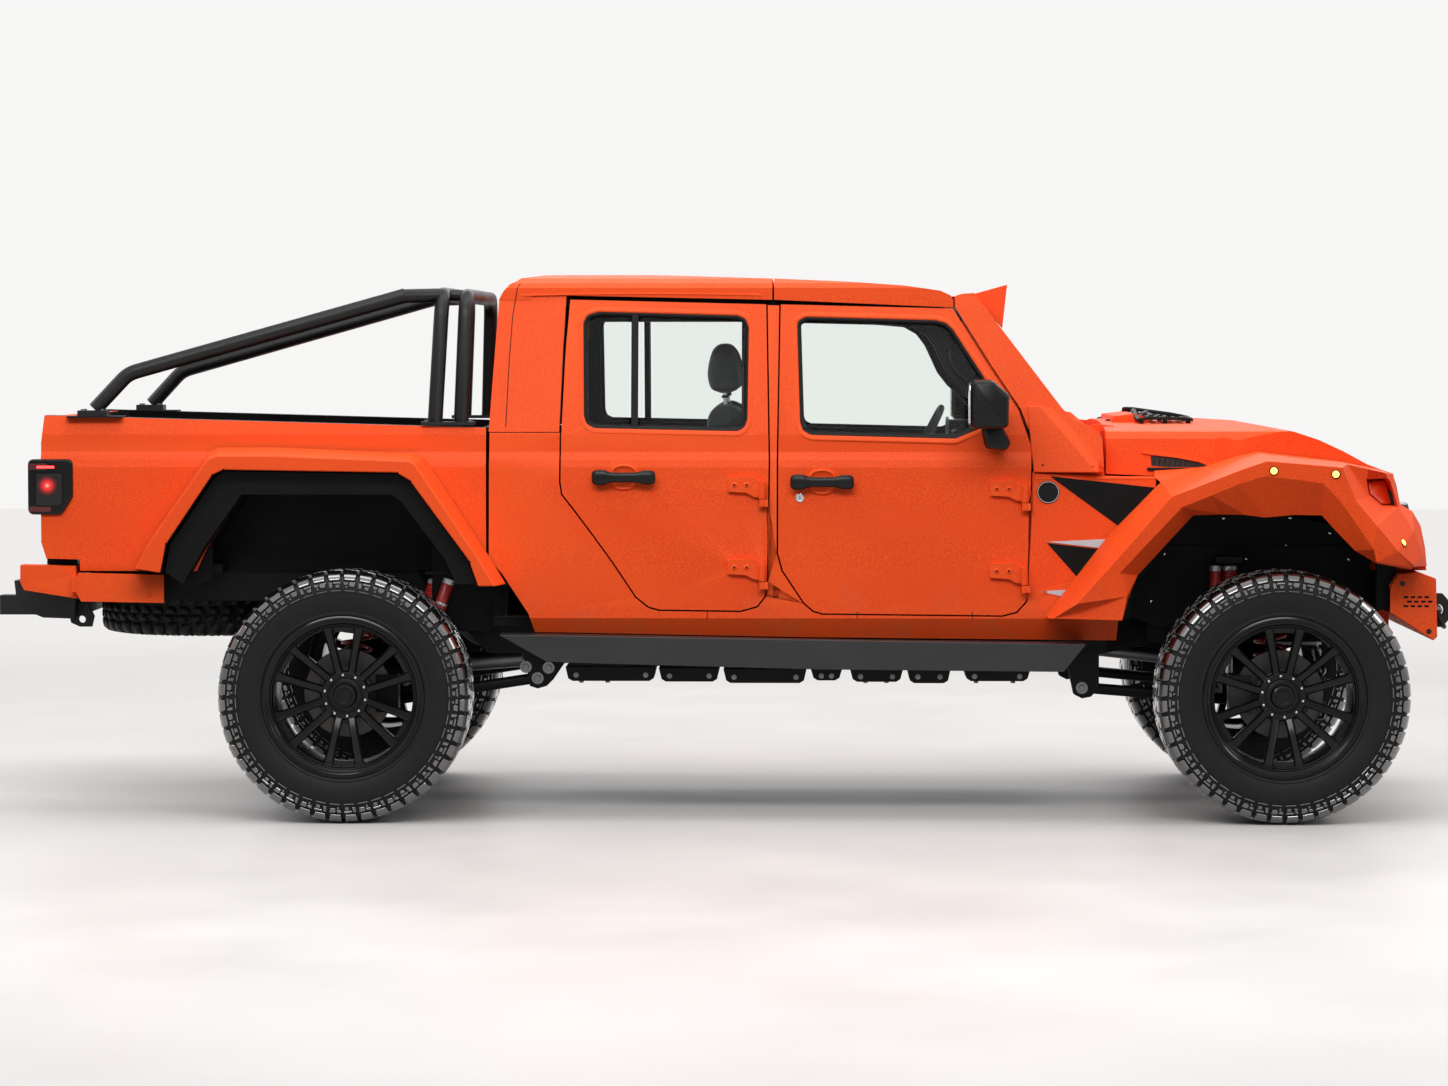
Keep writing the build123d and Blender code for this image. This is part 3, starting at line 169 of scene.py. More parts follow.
class Mb:
    """Collects vertices and faces in mm."""

    def __init__(self):
        self.v, self.f, self.m = [], [], []

    def add(self, verts, faces, mi=0):
        b = len(self.v)
        self.v += [tuple(float(c) for c in p) for p in verts]
        self.f += [[b + i for i in f] for f in faces]
        self.m += [mi] * len(faces)
        return self

    def merge(self, o, T=None, mi=None):
        b = len(self.v)
        if T is None:
            self.v += o.v
        else:
            T = np.array(T, float)
            P = np.array(o.v, float).reshape(-1, 3)
            P = P @ T[:3, :3].T + T[:3, 3]
            self.v += [tuple(p) for p in P]
        flip = T is not None and np.linalg.det(T[:3, :3]) < 0
        self.f += [[b + i for i in (reversed(f) if flip else f)] for f in o.f]
        self.m += o.m if mi is None else [mi] * len(o.f)
        return self

    def mirrored(self):
        o = Mb()
        o.v = [(x, -y, z) for x, y, z in self.v]
        o.f = [list(reversed(f)) for f in self.f]
        o.m = list(self.m)
        return o

    def both(self):
        return self.merge(self.mirrored())

    def grid(self, rows, mi=0, close_u=False, close_v=False):
        nr, nc = len(rows), len(rows[0])
        faces = []
        for i in range(nr if close_u else nr - 1):
            for j in range(nc if close_v else nc - 1):
                a, b = i * nc + j, i * nc + (j + 1) % nc
                c, d = ((i + 1) % nr) * nc + (j + 1) % nc, ((i + 1) % nr) * nc + j
                faces.append([a, b, c, d])
        return self.add([p for r in rows for p in r], faces, mi)

    def loft(self, loops, mi=0, cap=True, closed=False):
        """Closed rings joined in order, with end caps."""
        n = len(loops[0])
        faces = []
        k = len(loops)
        for i in range(k if closed else k - 1):
            for j in range(n):
                faces.append([i * n + j, i * n + (j + 1) % n, ((i + 1) % k) * n + (j + 1) % n, ((i + 1) % k) * n + j])
        if cap and not closed:
            faces.append(list(range(n))[::-1])
            faces.append([(k - 1) * n + j for j in range(n)])
        return self.add([p for l in loops for p in l], faces, mi)

    def prism(self, pts, axis, a, b, mi=0):
        """2-D polygon extruded along axis from a to b. y: (x, z), x: (y, z), z: (x, y)."""
        put = {"y": lambda p, t: (p[0], t, p[1]), "x": lambda p, t: (t, p[0], p[1]), "z": lambda p, t: (p[0], p[1], t)}[axis]
        return self.loft([[put(p, a) for p in pts], [put(p, b) for p in pts]], mi)

    def box(self, x0, x1, y0, y1, z0, z1, mi=0):
        return self.prism([(x0, z0), (x1, z0), (x1, z1), (x0, z1)], "y", y0, y1, mi)

    def obox(self, c, u, v, w, mi=0):
        """Box at c with half-axis vectors u, v, w."""
        c, u, v, w = (np.array(q, float) for q in (c, u, v, w))
        return self.loft([[c - u - v - w, c + u - v - w, c + u + v - w, c - u + v - w],
                          [c - u - v + w, c + u - v + w, c + u + v + w, c - u + v + w]], mi)

    def rod(self, a, b, r, seg=20, mi=0, r2=None, edge=0.0):
        a, b = np.array(a, float), np.array(b, float)
        u, v = frame_of(b - a)
        L = np.linalg.norm(b - a)
        d = (b - a) / L
        r2 = r if r2 is None else r2
        st = [(0, r), (L, r2)] if edge <= 0 else [(0, r - edge), (edge, r), (L - edge, r2), (L, r2 - edge)]
        loops = [[a + d * t + (u * math.cos(2 * math.pi * k / seg) + v * math.sin(2 * math.pi * k / seg)) * q for k in range(seg)] for t, q in st]
        return self.loft(loops, mi)

    def lathe(self, prof, c=(0, 0, 0), d=(0, 1, 0), seg=48, mi=0, closed=True):
        """Profile of (radius, height along d) turned about the axis d through c."""
        c, d = np.array(c, float), unit(d)
        u, v = frame_of(d)
        rows = []
        for k in range(seg):
            t = 2 * math.pi * k / seg
            e = u * math.cos(t) + v * math.sin(t)
            rows.append([c + d * h + e * r for r, h in prof])
        return self.grid(rows, mi, close_u=True, close_v=closed)

    def tube(self, path, r, seg=16, mi=0, cap=True):
        P = [np.array(p, float) for p in path]
        n = len(P)
        T = [unit((P[min(i + 1, n - 1)] - P[max(i - 1, 0)])) for i in range(n)]
        u, v = frame_of(T[0])
        loops = []
        for i in range(n):
            u = unit(u - T[i] * (u @ T[i]))
            v = np.cross(T[i], u)
            ri = r[i] if isinstance(r, (list, tuple, np.ndarray)) else r
            loops.append([P[i] + (u * math.cos(2 * math.pi * k / seg) + v * math.sin(2 * math.pi * k / seg)) * ri for k in range(seg)])
        return self.loft(loops, mi, cap=cap)

    def strip(self, path, prof, up, mi=0, closed=False, cap=True):
        """Profile of (side, up) points swept along path; up is a function of the index or a vector."""
        P = [np.array(p, float) for p in path]
        n = len(P)
        loops = []
        for i in range(n):
            a = P[(i - 1) % n] if closed or i > 0 else P[i]
            b = P[(i + 1) % n] if closed or i < n - 1 else P[i]
            t = unit(b - a)
            w = unit(up(i) if callable(up) else up)
            s = unit(np.cross(t, w))
            w = np.cross(s, t)
            loops.append([P[i] + s * q[0] + w * q[1] for q in prof])
        return self.loft(loops, mi, cap=cap, closed=closed)

    def bolt(self, c, d, r, h, mi=0, seg=6, washer=True):
        """Hexagon head on a washer."""
        c, d = np.array(c, float), unit(d)
        if washer:
            self.rod(c - d * 0.5, c + d * h * 0.18, r * 1.45, 16, mi)
        u, v = frame_of(d)
        hexa = lambda q, t: [c + d * t + (u * math.cos(2 * math.pi * k / seg) + v * math.sin(2 * math.pi * k / seg)) * q for k in range(seg)]
        return self.loft([hexa(r, 0), hexa(r, h * 0.85), hexa(r * 0.88, h)], mi)

    def dome(self, c, d, r, h, mi=0, seg=14, rings=4):
        """Low round head or lens."""
        c, d = np.array(c, float), unit(d)
        u, v = frame_of(d)
        loops = [[c - d * 0.6 + (u * math.cos(2 * math.pi * k / seg) + v * math.sin(2 * math.pi * k / seg)) * r for k in range(seg)]]
        for i in range(rings):
            a = (math.pi / 2) * i / rings
            loops.append([c + d * h * math.sin(a) + (u * math.cos(2 * math.pi * k / seg) + v * math.sin(2 * math.pi * k / seg)) * r * math.cos(a) for k in range(seg)])
        return self.loft(loops, mi)


def to_mesh(mb, name, sharp=38.0, smooth=True, weld=0.02):
    me = bpy.data.meshes.new(name)
    me.from_pydata([(x * MM, y * MM, z * MM) for x, y, z in mb.v], [], mb.f)
    me.update()
    bm = bmesh.new()
    bm.from_mesh(me)
    for f, m in zip(bm.faces, mb.m):
        f.material_index = m
    if weld:
        bmesh.ops.remove_doubles(bm, verts=bm.verts, dist=weld * MM)
    bmesh.ops.recalc_face_normals(bm, faces=bm.faces)
    bm.to_mesh(me)
    bm.free()
    if smooth:
        me.shade_smooth()
        me.set_sharp_from_angle(angle=math.radians(sharp))
    return me


def bevelled(o, width, angle=30.0, seg=2, clamp=True, profile=0.5):
    m = o.modifiers.new("Edges", "BEVEL")
    m.width = width * MM
    m.segments = seg
    m.limit_method = "ANGLE"
    m.angle_limit = math.radians(angle)
    m.use_clamp_overlap = clamp
    m.harden_normals = True
    m.miter_outer = "MITER_ARC"
    m.profile = profile
    return o


def put(mb, name, body, mats, slot=None, bevel=0, seg=2, angle=30.0, sharp=38.0, replaces=(), smooth=True, weld=0.02, clamp=True):
    """Makes the object, rides it and says what it stands for."""
    o = bpy.data.objects.new(name, to_mesh(mb, name, sharp, smooth, weld))
    SCENE.collection.objects.link(o)
    for m in (mats if isinstance(mats, (list, tuple)) else [mats]):
        o.data.materials.append(m)
    if bevel:
        bevelled(o, bevel, angle, seg, clamp)
    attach(o, body)
    if replaces:
        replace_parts(o, *replaces)
    return o


def from_cad(node, mats, slot, bevel=4.0, angle=25.0, seg=2, pick=None, drop=None, weld=0.05, name=None, clamp=True, shape=None, levels=(), fill=False, ycuts=()):
    """The CAD node's own shape, welded, with its flat faces merged and its edges rounded. pick(centre, normal) gives
    a face's material; drop(centre, normal) leaves a face out; levels are heights where the faces are cut; shape(co)
    returns a vertex's new place in mm."""
    src = NODES[node]
    bm = bmesh.new()
    bm.from_mesh(src.data)
    bmesh.ops.remove_doubles(bm, verts=bm.verts, dist=weld * MM)
    bmesh.ops.recalc_face_normals(bm, faces=bm.faces)
    if drop:
        gone = [f for f in bm.faces if drop(f.calc_center_median() * 1000, f.normal)]
        bmesh.ops.delete(bm, geom=gone, context="FACES")
        if fill:
            loose = [v for v in bm.verts if not v.link_faces]
            bmesh.ops.delete(bm, geom=loose, context="VERTS")
            bmesh.ops.holes_fill(bm, edges=[e for e in bm.edges if e.is_boundary], sides=0)
    bmesh.ops.dissolve_limit(bm, angle_limit=math.radians(0.4), verts=bm.verts, edges=bm.edges)
    for z in levels:
        bmesh.ops.bisect_plane(bm, geom=bm.verts[:] + bm.edges[:] + bm.faces[:], dist=1e-6, plane_co=(0, 0, z * MM), plane_no=(0, 0, 1))
    for y in ycuts:
        bmesh.ops.bisect_plane(bm, geom=bm.verts[:] + bm.edges[:] + bm.faces[:], dist=1e-6, plane_co=(0, y * MM, 0), plane_no=(0, 1, 0))
    if shape:
        for v in bm.verts:
            v.co = Vector(shape(*(v.co * 1000))) * MM
        bm.normal_update()
    for f in bm.faces:
        f.material_index = pick(f.calc_center_median() * 1000, f.normal) if pick else 0
        f.smooth = True
    if not levels and not ycuts:
        bmesh.ops.dissolve_limit(bm, angle_limit=math.radians(0.6), verts=bm.verts, edges=bm.edges, delimit={"MATERIAL"})
    me = bpy.data.meshes.new(node + "_shape")
    bm.to_mesh(me)
    bm.free()
    me.shade_smooth()
    me.set_sharp_from_angle(angle=math.radians(max(angle, 12)))
    o = bpy.data.objects.new(name or (node + "_v"), me)
    SCENE.collection.objects.link(o)
    for m in (mats if isinstance(mats, (list, tuple)) else [mats]):
        o.data.materials.append(m)
    if bevel:
        bevelled(o, bevel, angle, seg, clamp)
    body = src["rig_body"]
    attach(o, body)
    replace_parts(o, node)
    return o


# ------------------------------------------------------------------ details laid on a surface
from mathutils.bvhtree import BVHTree

TREES = {}


def surface(*nodes):
    """Ray-cast tree over the named CAD nodes."""
    key = tuple(sorted(nodes))
    if key not in TREES:
        vs, fs = [], []
        for n in nodes:
            me = NODES[n].data
            b = len(vs)
            vs += [v.co.copy() for v in me.vertices]
            fs += [[b + i for i in p.vertices] for p in me.polygons]
        TREES[key] = BVHTree.FromPolygons(vs, fs)
    return TREES[key]


def hit(nodes, p, d):
    """First point of the nodes from p along d, in mm, or None."""
    loc, n, i, dist = surface(*nodes).ray_cast(Vector(p) * MM, Vector(d))
    return None if loc is None else loc * 1000


def inside(pts, x, z):
    c = False
    k = len(pts)
    for i in range(k):
        (x0, z0), (x1, z1) = pts[i], pts[(i + 1) % k]
        if (z0 > z) != (z1 > z) and x < (x1 - x0) * (z - z0) / (z1 - z0) + x0:
            c = not c
    return c


def laid(mb, pts, nodes, axis="y", side=-1, proud=2.0, thick=4.0, step=40.0, mi=0, fallback=None, crown=0.0):
    """Plate with the outline pts laid on the nodes' surface, seen along axis from its side. Outline in the two other
    coordinates: y: (x, z), x: (y, z), z: (x, y)."""
    pts = dense(pts, step)
    n = len(pts)
    P = [Vector(p) for p in pts]
    lo = [min(p[i] for p in pts) for i in (0, 1)]
    hi = [max(p[i] for p in pts) for i in (0, 1)]
    ins = inset(pts, step * 0.4)
    area = lambda q: 0.5 * sum(q[i][0] * q[(i + 1) % len(q)][1] - q[(i + 1) % len(q)][0] * q[i][1] for i in range(len(q)))
    gx, gz = max(1, int((hi[0] - lo[0]) / step)), max(1, int((hi[1] - lo[1]) / step))
    for i in range(1, gx + 1):
        for j in range(1, gz + 1):
            x, z = lo[0] + (hi[0] - lo[0]) * i / (gx + 1), lo[1] + (hi[1] - lo[1]) * j / (gz + 1)
            if inside(ins, x, z):
                P.append(Vector((x, z)))
    vs, es, fs, _, _, _ = delaunay_2d_cdt(P, [], [list(range(n))], 1, 1e-4)
    put_ = {"y": lambda a, b, t: (a, t, b), "x": lambda a, b, t: (t, a, b), "z": lambda a, b, t: (a, b, t)}[axis]
    k = "xyz".index(axis)
    far = 4000.0
    d = [0, 0, 0]
    d[k] = -side
    hs = []
    for v in vs:
        q = hit(nodes, put_(v[0], v[1], side * far), d)
        hs.append(None if q is None else q[k])
    known = [h for h in hs if h is not None]
    if not known and fallback is None:
        return mb
    base = fallback if fallback is not None else sorted(known)[len(known) // 2]
    for i, h in enumerate(hs):
        if h is None or abs(h - base) > 90:
            near = [(abs(vs[i][0] - vs[j][0]) + abs(vs[i][1] - vs[j][1]), hs[j]) for j in range(len(vs)) if hs[j] is not None and abs(hs[j] - base) <= 90]
            hs[i] = min(near)[1] if near else base
    cx, cz = sum(p[0] for p in pts) / n, sum(p[1] for p in pts) / n
    top = [put_(v[0], v[1], h + side * proud) for v, h in zip(vs, hs)]
    bot = [put_(v[0], v[1], h - side * (thick - proud)) for v, h in zip(vs, hs)]
    m = len(vs)
    faces = [list(f) for f in fs] + [[m + i for i in reversed(f)] for f in fs]
    # boundary edges of the triangulation become the side walls
    seen = {}
    for f in fs:
        for a, b in zip(f, list(f[1:]) + [f[0]]):
            seen[(a, b)] = seen.get((a, b), 0) + 1
    for (a, b) in seen:
        if (b, a) not in seen:
            faces.append([b, a, m + a, m + b])
    return mb.add(top + bot, faces, mi)


def two_sided(mb):
    """The pieces of one side with their mirror image."""
    return mb.both()


# ------------------------------------------------------------------ materials
def srgb(r, g, b):
    f = lambda c: (c / 255) / 12.92 if c / 255 <= 0.04045 else ((c / 255 + 0.055) / 1.055) ** 2.4
    return (f(r), f(g), f(b), 1.0)


class Tree:
    """Small helper around one material's nodes."""

    def __init__(self, name):
        self.mat = bpy.data.materials.new(name)
        self.mat.use_nodes = True
        self.nt = self.mat.node_tree
        self.nt.nodes.clear()
        self.out = self.n("ShaderNodeOutputMaterial")
        self.co = self.n("ShaderNodeTexCoord").outputs["Object"]

    def n(self, kind, **kw):
        node = self.nt.nodes.new(kind)
        for k, v in kw.items():
            setattr(node, k, v)
        return node

    def link(self, a, b):
        self.nt.links.new(a, b)

    def noise(self, scale, detail=3.0, rough=0.55, co=None, dist=0.0, stretch=None):
        t = self.n("ShaderNodeTexNoise")
        t.inputs["Scale"].default_value = scale
        t.inputs["Detail"].default_value = detail
        t.inputs["Roughness"].default_value = rough
        t.inputs["Distortion"].default_value = dist
        src = co or self.co
        if stretch:
            m = self.n("ShaderNodeMapping")
            m.inputs["Scale"].default_value = stretch
            self.link(src, m.inputs["Vector"])
            src = m.outputs["Vector"]
        self.link(src, t.inputs["Vector"])
        return t.outputs["Fac"]

    def voronoi(self, scale, feature="F1", co=None):
        t = self.n("ShaderNodeTexVoronoi", feature=feature)
        t.inputs["Scale"].default_value = scale
        self.link(co or self.co, t.inputs["Vector"])
        return t.outputs["Distance"]

    def ramp(self, fac, stops):
        r = self.n("ShaderNodeValToRGB")
        self.link(fac, r.inputs["Fac"])
        cr = r.color_ramp
        while len(cr.elements) < len(stops):
            cr.elements.new(0.5)
        for e, (p, c) in zip(cr.elements, stops):
            e.position = p
            e.color = c if len(c) == 4 else (*c, 1.0)
        return r.outputs["Color"]

    def map(self, fac, a, b, c, d):
        m = self.n("ShaderNodeMapRange")
        m.inputs["From Min"].default_value = a
        m.inputs["From Max"].default_value = b
        m.inputs["To Min"].default_value = c
        m.inputs["To Max"].default_value = d
        self.link(fac, m.inputs["Value"])
        return m.outputs["Result"]

    def math(self, op, a, b=None):
        m = self.n("ShaderNodeMath", operation=op)
        for i, x in enumerate((a, b)):
            if x is None:
                continue
            if isinstance(x, (int, float)):
                m.inputs[i].default_value = x
            else:
                self.link(x, m.inputs[i])
        return m.outputs["Value"]

    def mix(self, fac, a, b, blend="MIX"):
        m = self.n("ShaderNodeMix", data_type="RGBA", blend_type=blend)
        for k, x in (("Factor", fac), ("A", a), ("B", b)):
            s = [q for q in m.inputs if q.name == k and q.enabled][0] if k == "Factor" else [q for q in m.inputs if q.name == k and q.type == "RGBA"][0]
            if isinstance(x, (int, float)):
                s.default_value = x
            elif isinstance(x, tuple):
                s.default_value = x if len(x) == 4 else (*x, 1.0)
            else:
                self.link(x, s)
        return [q for q in m.outputs if q.type == "RGBA"][0]

    def bump(self, height, strength, dist_mm, normal=None):
        b = self.n("ShaderNodeBump")
        b.inputs["Strength"].default_value = strength
        b.inputs["Distance"].default_value = dist_mm * MM
        self.link(height, b.inputs["Height"])
        if normal is not None:
            self.link(normal, b.inputs["Normal"])
        return b.outputs["Normal"]

    def principled(self, **kw):
        p = self.n("ShaderNodeBsdfPrincipled")
        for k, v in kw.items():
            s = p.inputs[k.replace("_", " ")]
            if isinstance(v, (int, float)) or (isinstance(v, tuple) and not hasattr(v, "node")):
                s.default_value = v
            else:
                self.link(v, s)
        self.link(p.outputs["BSDF"], self.out.inputs["Surface"])
        return p

    def edges(self, a=0.505, b=0.56):
        """0 on flats and 1 on outer edges."""
        g = self.n("ShaderNodeNewGeometry")
        return self.map(g.outputs["Pointiness"], a, b, 0.0, 1.0)

    def height(self):
        s = self.n("ShaderNodeSeparateXYZ")
        self.link(self.co, s.inputs[0])
        return s.outputs["Z"]


def textured_paint(name, base, dark, light, rough, bump, scale=260.0, dust=True):
    """Matte coating with a fine wrinkled grain."""
    t = Tree(name)
    fine = t.noise(scale, 4.0, 0.62)
    pebble = t.voronoi(scale * 0.9)
    broad = t.noise(2.2, 3.0, 0.5)
    col = t.ramp(fine, [(0.32, dark), (0.5, base), (0.72, light)])
    col = t.mix(t.map(broad, 0.3, 0.7, 0.0, 0.22), col, dark)
    col = t.mix(t.math("MULTIPLY", t.edges(0.51, 0.6), 0.30), col, light)
    if dust:
        low = t.math("MULTIPLY", t.map(t.height(), 0.95, 0.45, 0.0, 0.35), t.map(t.noise(9.0, 5.0, 0.6), 0.45, 0.75, 0.0, 1.0))
        col = t.mix(low, col, srgb(150, 120, 96))
    h = t.math("ADD", t.math("MULTIPLY", fine, 0.7), t.math("MULTIPLY", pebble, 0.35))
    n = t.bump(h, bump, 0.9)
    n = t.bump(t.noise(34.0, 2.0, 0.5), 0.10, 1.2, n)
    t.principled(Base_Color=col, Roughness=t.map(fine, 0.3, 0.7, rough - 0.06, rough + 0.08), Normal=n, Specular_IOR_Level=0.28)
    return t.mat


def plastic(name, base, rough=0.5, grain=700.0, bump=0.16, spec=0.5, wear=(70, 70, 70), vary=0.12, metallic=0.0):
    """Moulded or powder-coated black with a fine grain and slightly lighter worn edges."""
    t = Tree(name)
    g = t.noise(grain, 3.0, 0.6)
    broad = t.noise(5.0, 4.0, 0.6)
    col = t.mix(t.map(broad, 0.3, 0.7, 0.0, 1.0), base, tuple(c * (1 + vary * 2.5) + 0.002 for c in base[:3]) + (1.0,))
    col = t.mix(t.math("MULTIPLY", t.edges(0.52, 0.62), 0.25), col, srgb(*wear))
    r = t.math("ADD", t.map(broad, 0.3, 0.7, rough - 0.05, rough + 0.07), t.math("MULTIPLY", g, 0.04))
    t.principled(Base_Color=col, Roughness=r, Normal=t.bump(g, bump, 0.35), Specular_IOR_Level=spec, Metallic=metallic)
    return t.mat


def metal(name, base, rough=0.35, brushed=None, dirt=0.25, metallic=1.0):
    t = Tree(name)
    broad = t.noise(14.0, 5.0, 0.6)
    fine = t.noise(220.0, 3.0, 0.6, stretch=brushed)
    col = t.mix(t.math("MULTIPLY", t.map(broad, 0.45, 0.75, 0.0, 1.0), dirt), base, tuple(c * 0.35 for c in base[:3]) + (1.0,))
    t.principled(Base_Color=col, Roughness=t.map(fine, 0.25, 0.75, rough - 0.07, rough + 0.1), Metallic=metallic,
                 Normal=t.bump(fine, 0.12, 0.25))
    return t.mat


def fabric(name, base, light, weave=900.0, bump=0.5, rough=0.9, sheen=0.25):
    """Woven seat cloth."""
    t = Tree(name)
    s = t.n("ShaderNodeSeparateXYZ")
    t.link(t.co, s.inputs[0])
    a = t.math("SINE", t.math("MULTIPLY", t.math("ADD", s.outputs["X"], s.outputs["Z"]), weave * 2.2))
    b = t.math("SINE", t.math("MULTIPLY", s.outputs["Y"], weave * 2.2))
    w = t.math("MULTIPLY", a, b)
    fuzz = t.noise(1300.0, 2.0, 0.6)
    col = t.mix(t.map(w, -1, 1, 0.0, 1.0), base, light)
    col = t.mix(t.map(t.noise(7.0, 4.0, 0.6), 0.35, 0.75, 0.0, 0.35), col, tuple(c * 0.55 for c in base[:3]) + (1.0,))
    n = t.bump(t.math("ADD", w, t.math("MULTIPLY", fuzz, 0.8)), bump, 0.35)
    p = t.principled(Base_Color=col, Roughness=rough, Normal=n, Specular_IOR_Level=0.25)
    p.inputs["Sheen Weight"].default_value = sheen
    p.inputs["Sheen Roughness"].default_value = 0.5
    return t.mat


def glass(name, tint, rough=0.0, dark=0.0):
    """Clear pane that lets lamps through."""
    t = Tree(name)
    p = t.n("ShaderNodeBsdfPrincipled")
    smear = t.noise(6.0, 4.0, 0.6)
    p.inputs["Base Color"].default_value = tint
    t.link(t.map(smear, 0.4, 0.8, rough, rough + 0.012), p.inputs["Roughness"])
    p.inputs["Transmission Weight"].default_value = 1.0
    p.inputs["IOR"].default_value = 1.22
    tr = t.n("ShaderNodeBsdfTransparent")
    tr.inputs["Color"].default_value = tuple(0.9 * c for c in tint[:3]) + (1.0,)
    lp = t.n("ShaderNodeLightPath")
    m = t.n("ShaderNodeMixShader")
    t.link(lp.outputs["Is Shadow Ray"], m.inputs[0])
    t.link(p.outputs["BSDF"], m.inputs[1])
    t.link(tr.outputs["BSDF"], m.inputs[2])
    t.link(m.outputs["Shader"], t.out.inputs["Surface"])
    return t.mat


def lamp(name, colour, strength, rough=0.3):
    t = Tree(name)
    cells = t.noise(90.0, 2.0, 0.5)
    col = t.mix(t.map(cells, 0.3, 0.7, 0.0, 0.5), colour, tuple(min(1.0, c * 1.3 + 0.02) for c in colour[:3]) + (1.0,))
    p = t.principled(Base_Color=col, Roughness=rough, Emission_Color=col, Normal=t.bump(cells, 0.1, 0.3))
    p.inputs["Emission Strength"].default_value = strength
    return t.mat


def tyre_rubber(name, rough, base=(24, 24, 24), shine=0.3, spec=0.5, coat=0.0):
    t = Tree(name)
    g = t.noise(480.0, 3.0, 0.6)
    broad = t.noise(11.0, 5.0, 0.65)
    patch = t.noise(26.0, 4.0, 0.7)
    col = t.ramp(broad, [(0.3, srgb(*[int(c * 0.75) for c in base])), (0.6, srgb(*base)), (0.85, srgb(*[int(c * 1.5) for c in base]))])
    r = t.math("ADD", t.map(patch, 0.35, 0.65, rough - shine * 0.5, rough + shine * 0.5), t.math("MULTIPLY", g, 0.05))
    n = t.bump(t.noise(60.0, 3.0, 0.6), 0.12, 1.0, t.bump(g, 0.2, 0.4))
    t.principled(Base_Color=col, Roughness=r, Normal=n, Specular_IOR_Level=spec, Coat_Weight=coat, Coat_Roughness=0.12, Coat_IOR=1.9)
    return t.mat


M_PAINT = textured_paint("orange_textured_paint", srgb(240, 76, 16), srgb(214, 58, 8), srgb(250, 100, 34), 0.6, 0.5)
# a darker, duller copy of the orange paint: painted shade, made for the rocker faces
M_PAINT_SHADED = textured_paint("orange_inner_paint", srgb(214, 76, 32), srgb(184, 60, 24), srgb(232, 100, 54), 0.6, 0.35)
M_SEAL = plastic("black_rubber_seal", srgb(8, 8, 9), 0.36, 500.0, 0.1, spec=0.14, wear=(30, 30, 30))
M_TRIM = plastic("black_moulded_plastic", srgb(9, 9, 10), 0.52, 620.0, 0.3, spec=0.16, wear=(34, 34, 34))
M_LINER = plastic("black_liner", srgb(5, 5, 6), 0.5, 300.0, 0.18, spec=0.12, wear=(20, 20, 20))
M_POWDER = plastic("black_powder_coat", srgb(11, 11, 12), 0.40, 900.0, 0.35, spec=0.3, wear=(44, 44, 46))
M_SLIDER = plastic("satin_grey_coat", srgb(23, 22, 22), 0.34, 900.0, 0.2, spec=0.42, wear=(110, 110, 114))
M_HANDLE = plastic("black_handle", srgb(8, 8, 9), 0.3, 800.0, 0.12, spec=0.24, wear=(30, 30, 30))
M_GLOSS = plastic("gloss_black", srgb(7, 7, 8), 0.13, 200.0, 0.02, spec=0.26, wear=(30, 30, 32), vary=0.05)
M_BADGE = plastic("badge_black", srgb(6, 6, 7), 0.3, 400.0, 0.05, spec=0.2, wear=(20, 20, 20))
M_FRAME = plastic("chassis_black", srgb(8, 8, 9), 0.46, 160.0, 0.25, spec=0.16, wear=(34, 31, 29), vary=0.3)
M_CAST = metal("cast_metal", srgb(72, 72, 74), 0.5, dirt=0.5)
M_STEEL = metal("steel", srgb(120, 120, 124), 0.34, dirt=0.4)
M_BRIGHT = metal("bright_metal", srgb(205, 206, 210), 0.2, dirt=0.1)
M_ALLOY = metal("brake_metal", srgb(96, 93, 90), 0.42, dirt=0.45, metallic=0.8)
M_SILVER = metal("silver_paint", srgb(196, 198, 202), 0.38, dirt=0.15, metallic=0.5)
M_RED = plastic("red_spring_coat", srgb(176, 18, 24), 0.3, 300.0, 0.08, wear=(220, 120, 110), vary=0.1)
M_TREAD = tyre_rubber("tyre_tread", 0.2, (10, 10, 10), 0.14, spec=1.0, coat=1.0)
M_WALL = tyre_rubber("tyre_wall", 0.56, (11, 11, 11), 0.1, spec=0.25)
M_RIM = plastic("wheel_black", srgb(3, 3, 4), 0.11, 160.0, 0.03, spec=0.24, wear=(22, 22, 26), vary=0.06)
M_CLOTH = fabric("seat_cloth", srgb(24, 24, 26), srgb(44, 44, 47))
M_BOLSTER = fabric("seat_bolster", srgb(18, 18, 19), srgb(30, 30, 32), 1500.0, 0.3, 0.75, 0.15)
M_SEAM = plastic("seam_thread", srgb(58, 58, 60), 0.7, 900.0, 0.3)
M_DASH = plastic("dash_black", srgb(20, 20, 21), 0.6, 500.0, 0.35)
M_HEADLINER = fabric("headliner", srgb(34, 34, 35), srgb(46, 46, 47), 1200.0, 0.2, 0.95, 0.1)
M_CARPET = fabric("floor_carpet", srgb(20, 20, 20), srgb(34, 34, 34), 600.0, 0.8, 0.98, 0.2)
M_GLASS = glass("window_glass", (0.93, 0.965, 0.945, 1.0))
M_LENS = glass("lamp_lens", (0.97, 0.98, 0.98, 1.0))
M_REDLENS = plastic("red_lens_smoked", srgb(84, 6, 12), 0.12, 120.0, 0.03, spec=0.6, wear=(60, 20, 20))
M_REDLED = lamp("red_light", (0.9, 0.02, 0.02, 1.0), 6.0)
M_AMBER = lamp("amber_light", (1.0, 0.42, 0.06, 1.0), 5.0)
M_REFLECT = metal("reflector", srgb(225, 226, 230), 0.12, dirt=0.05)


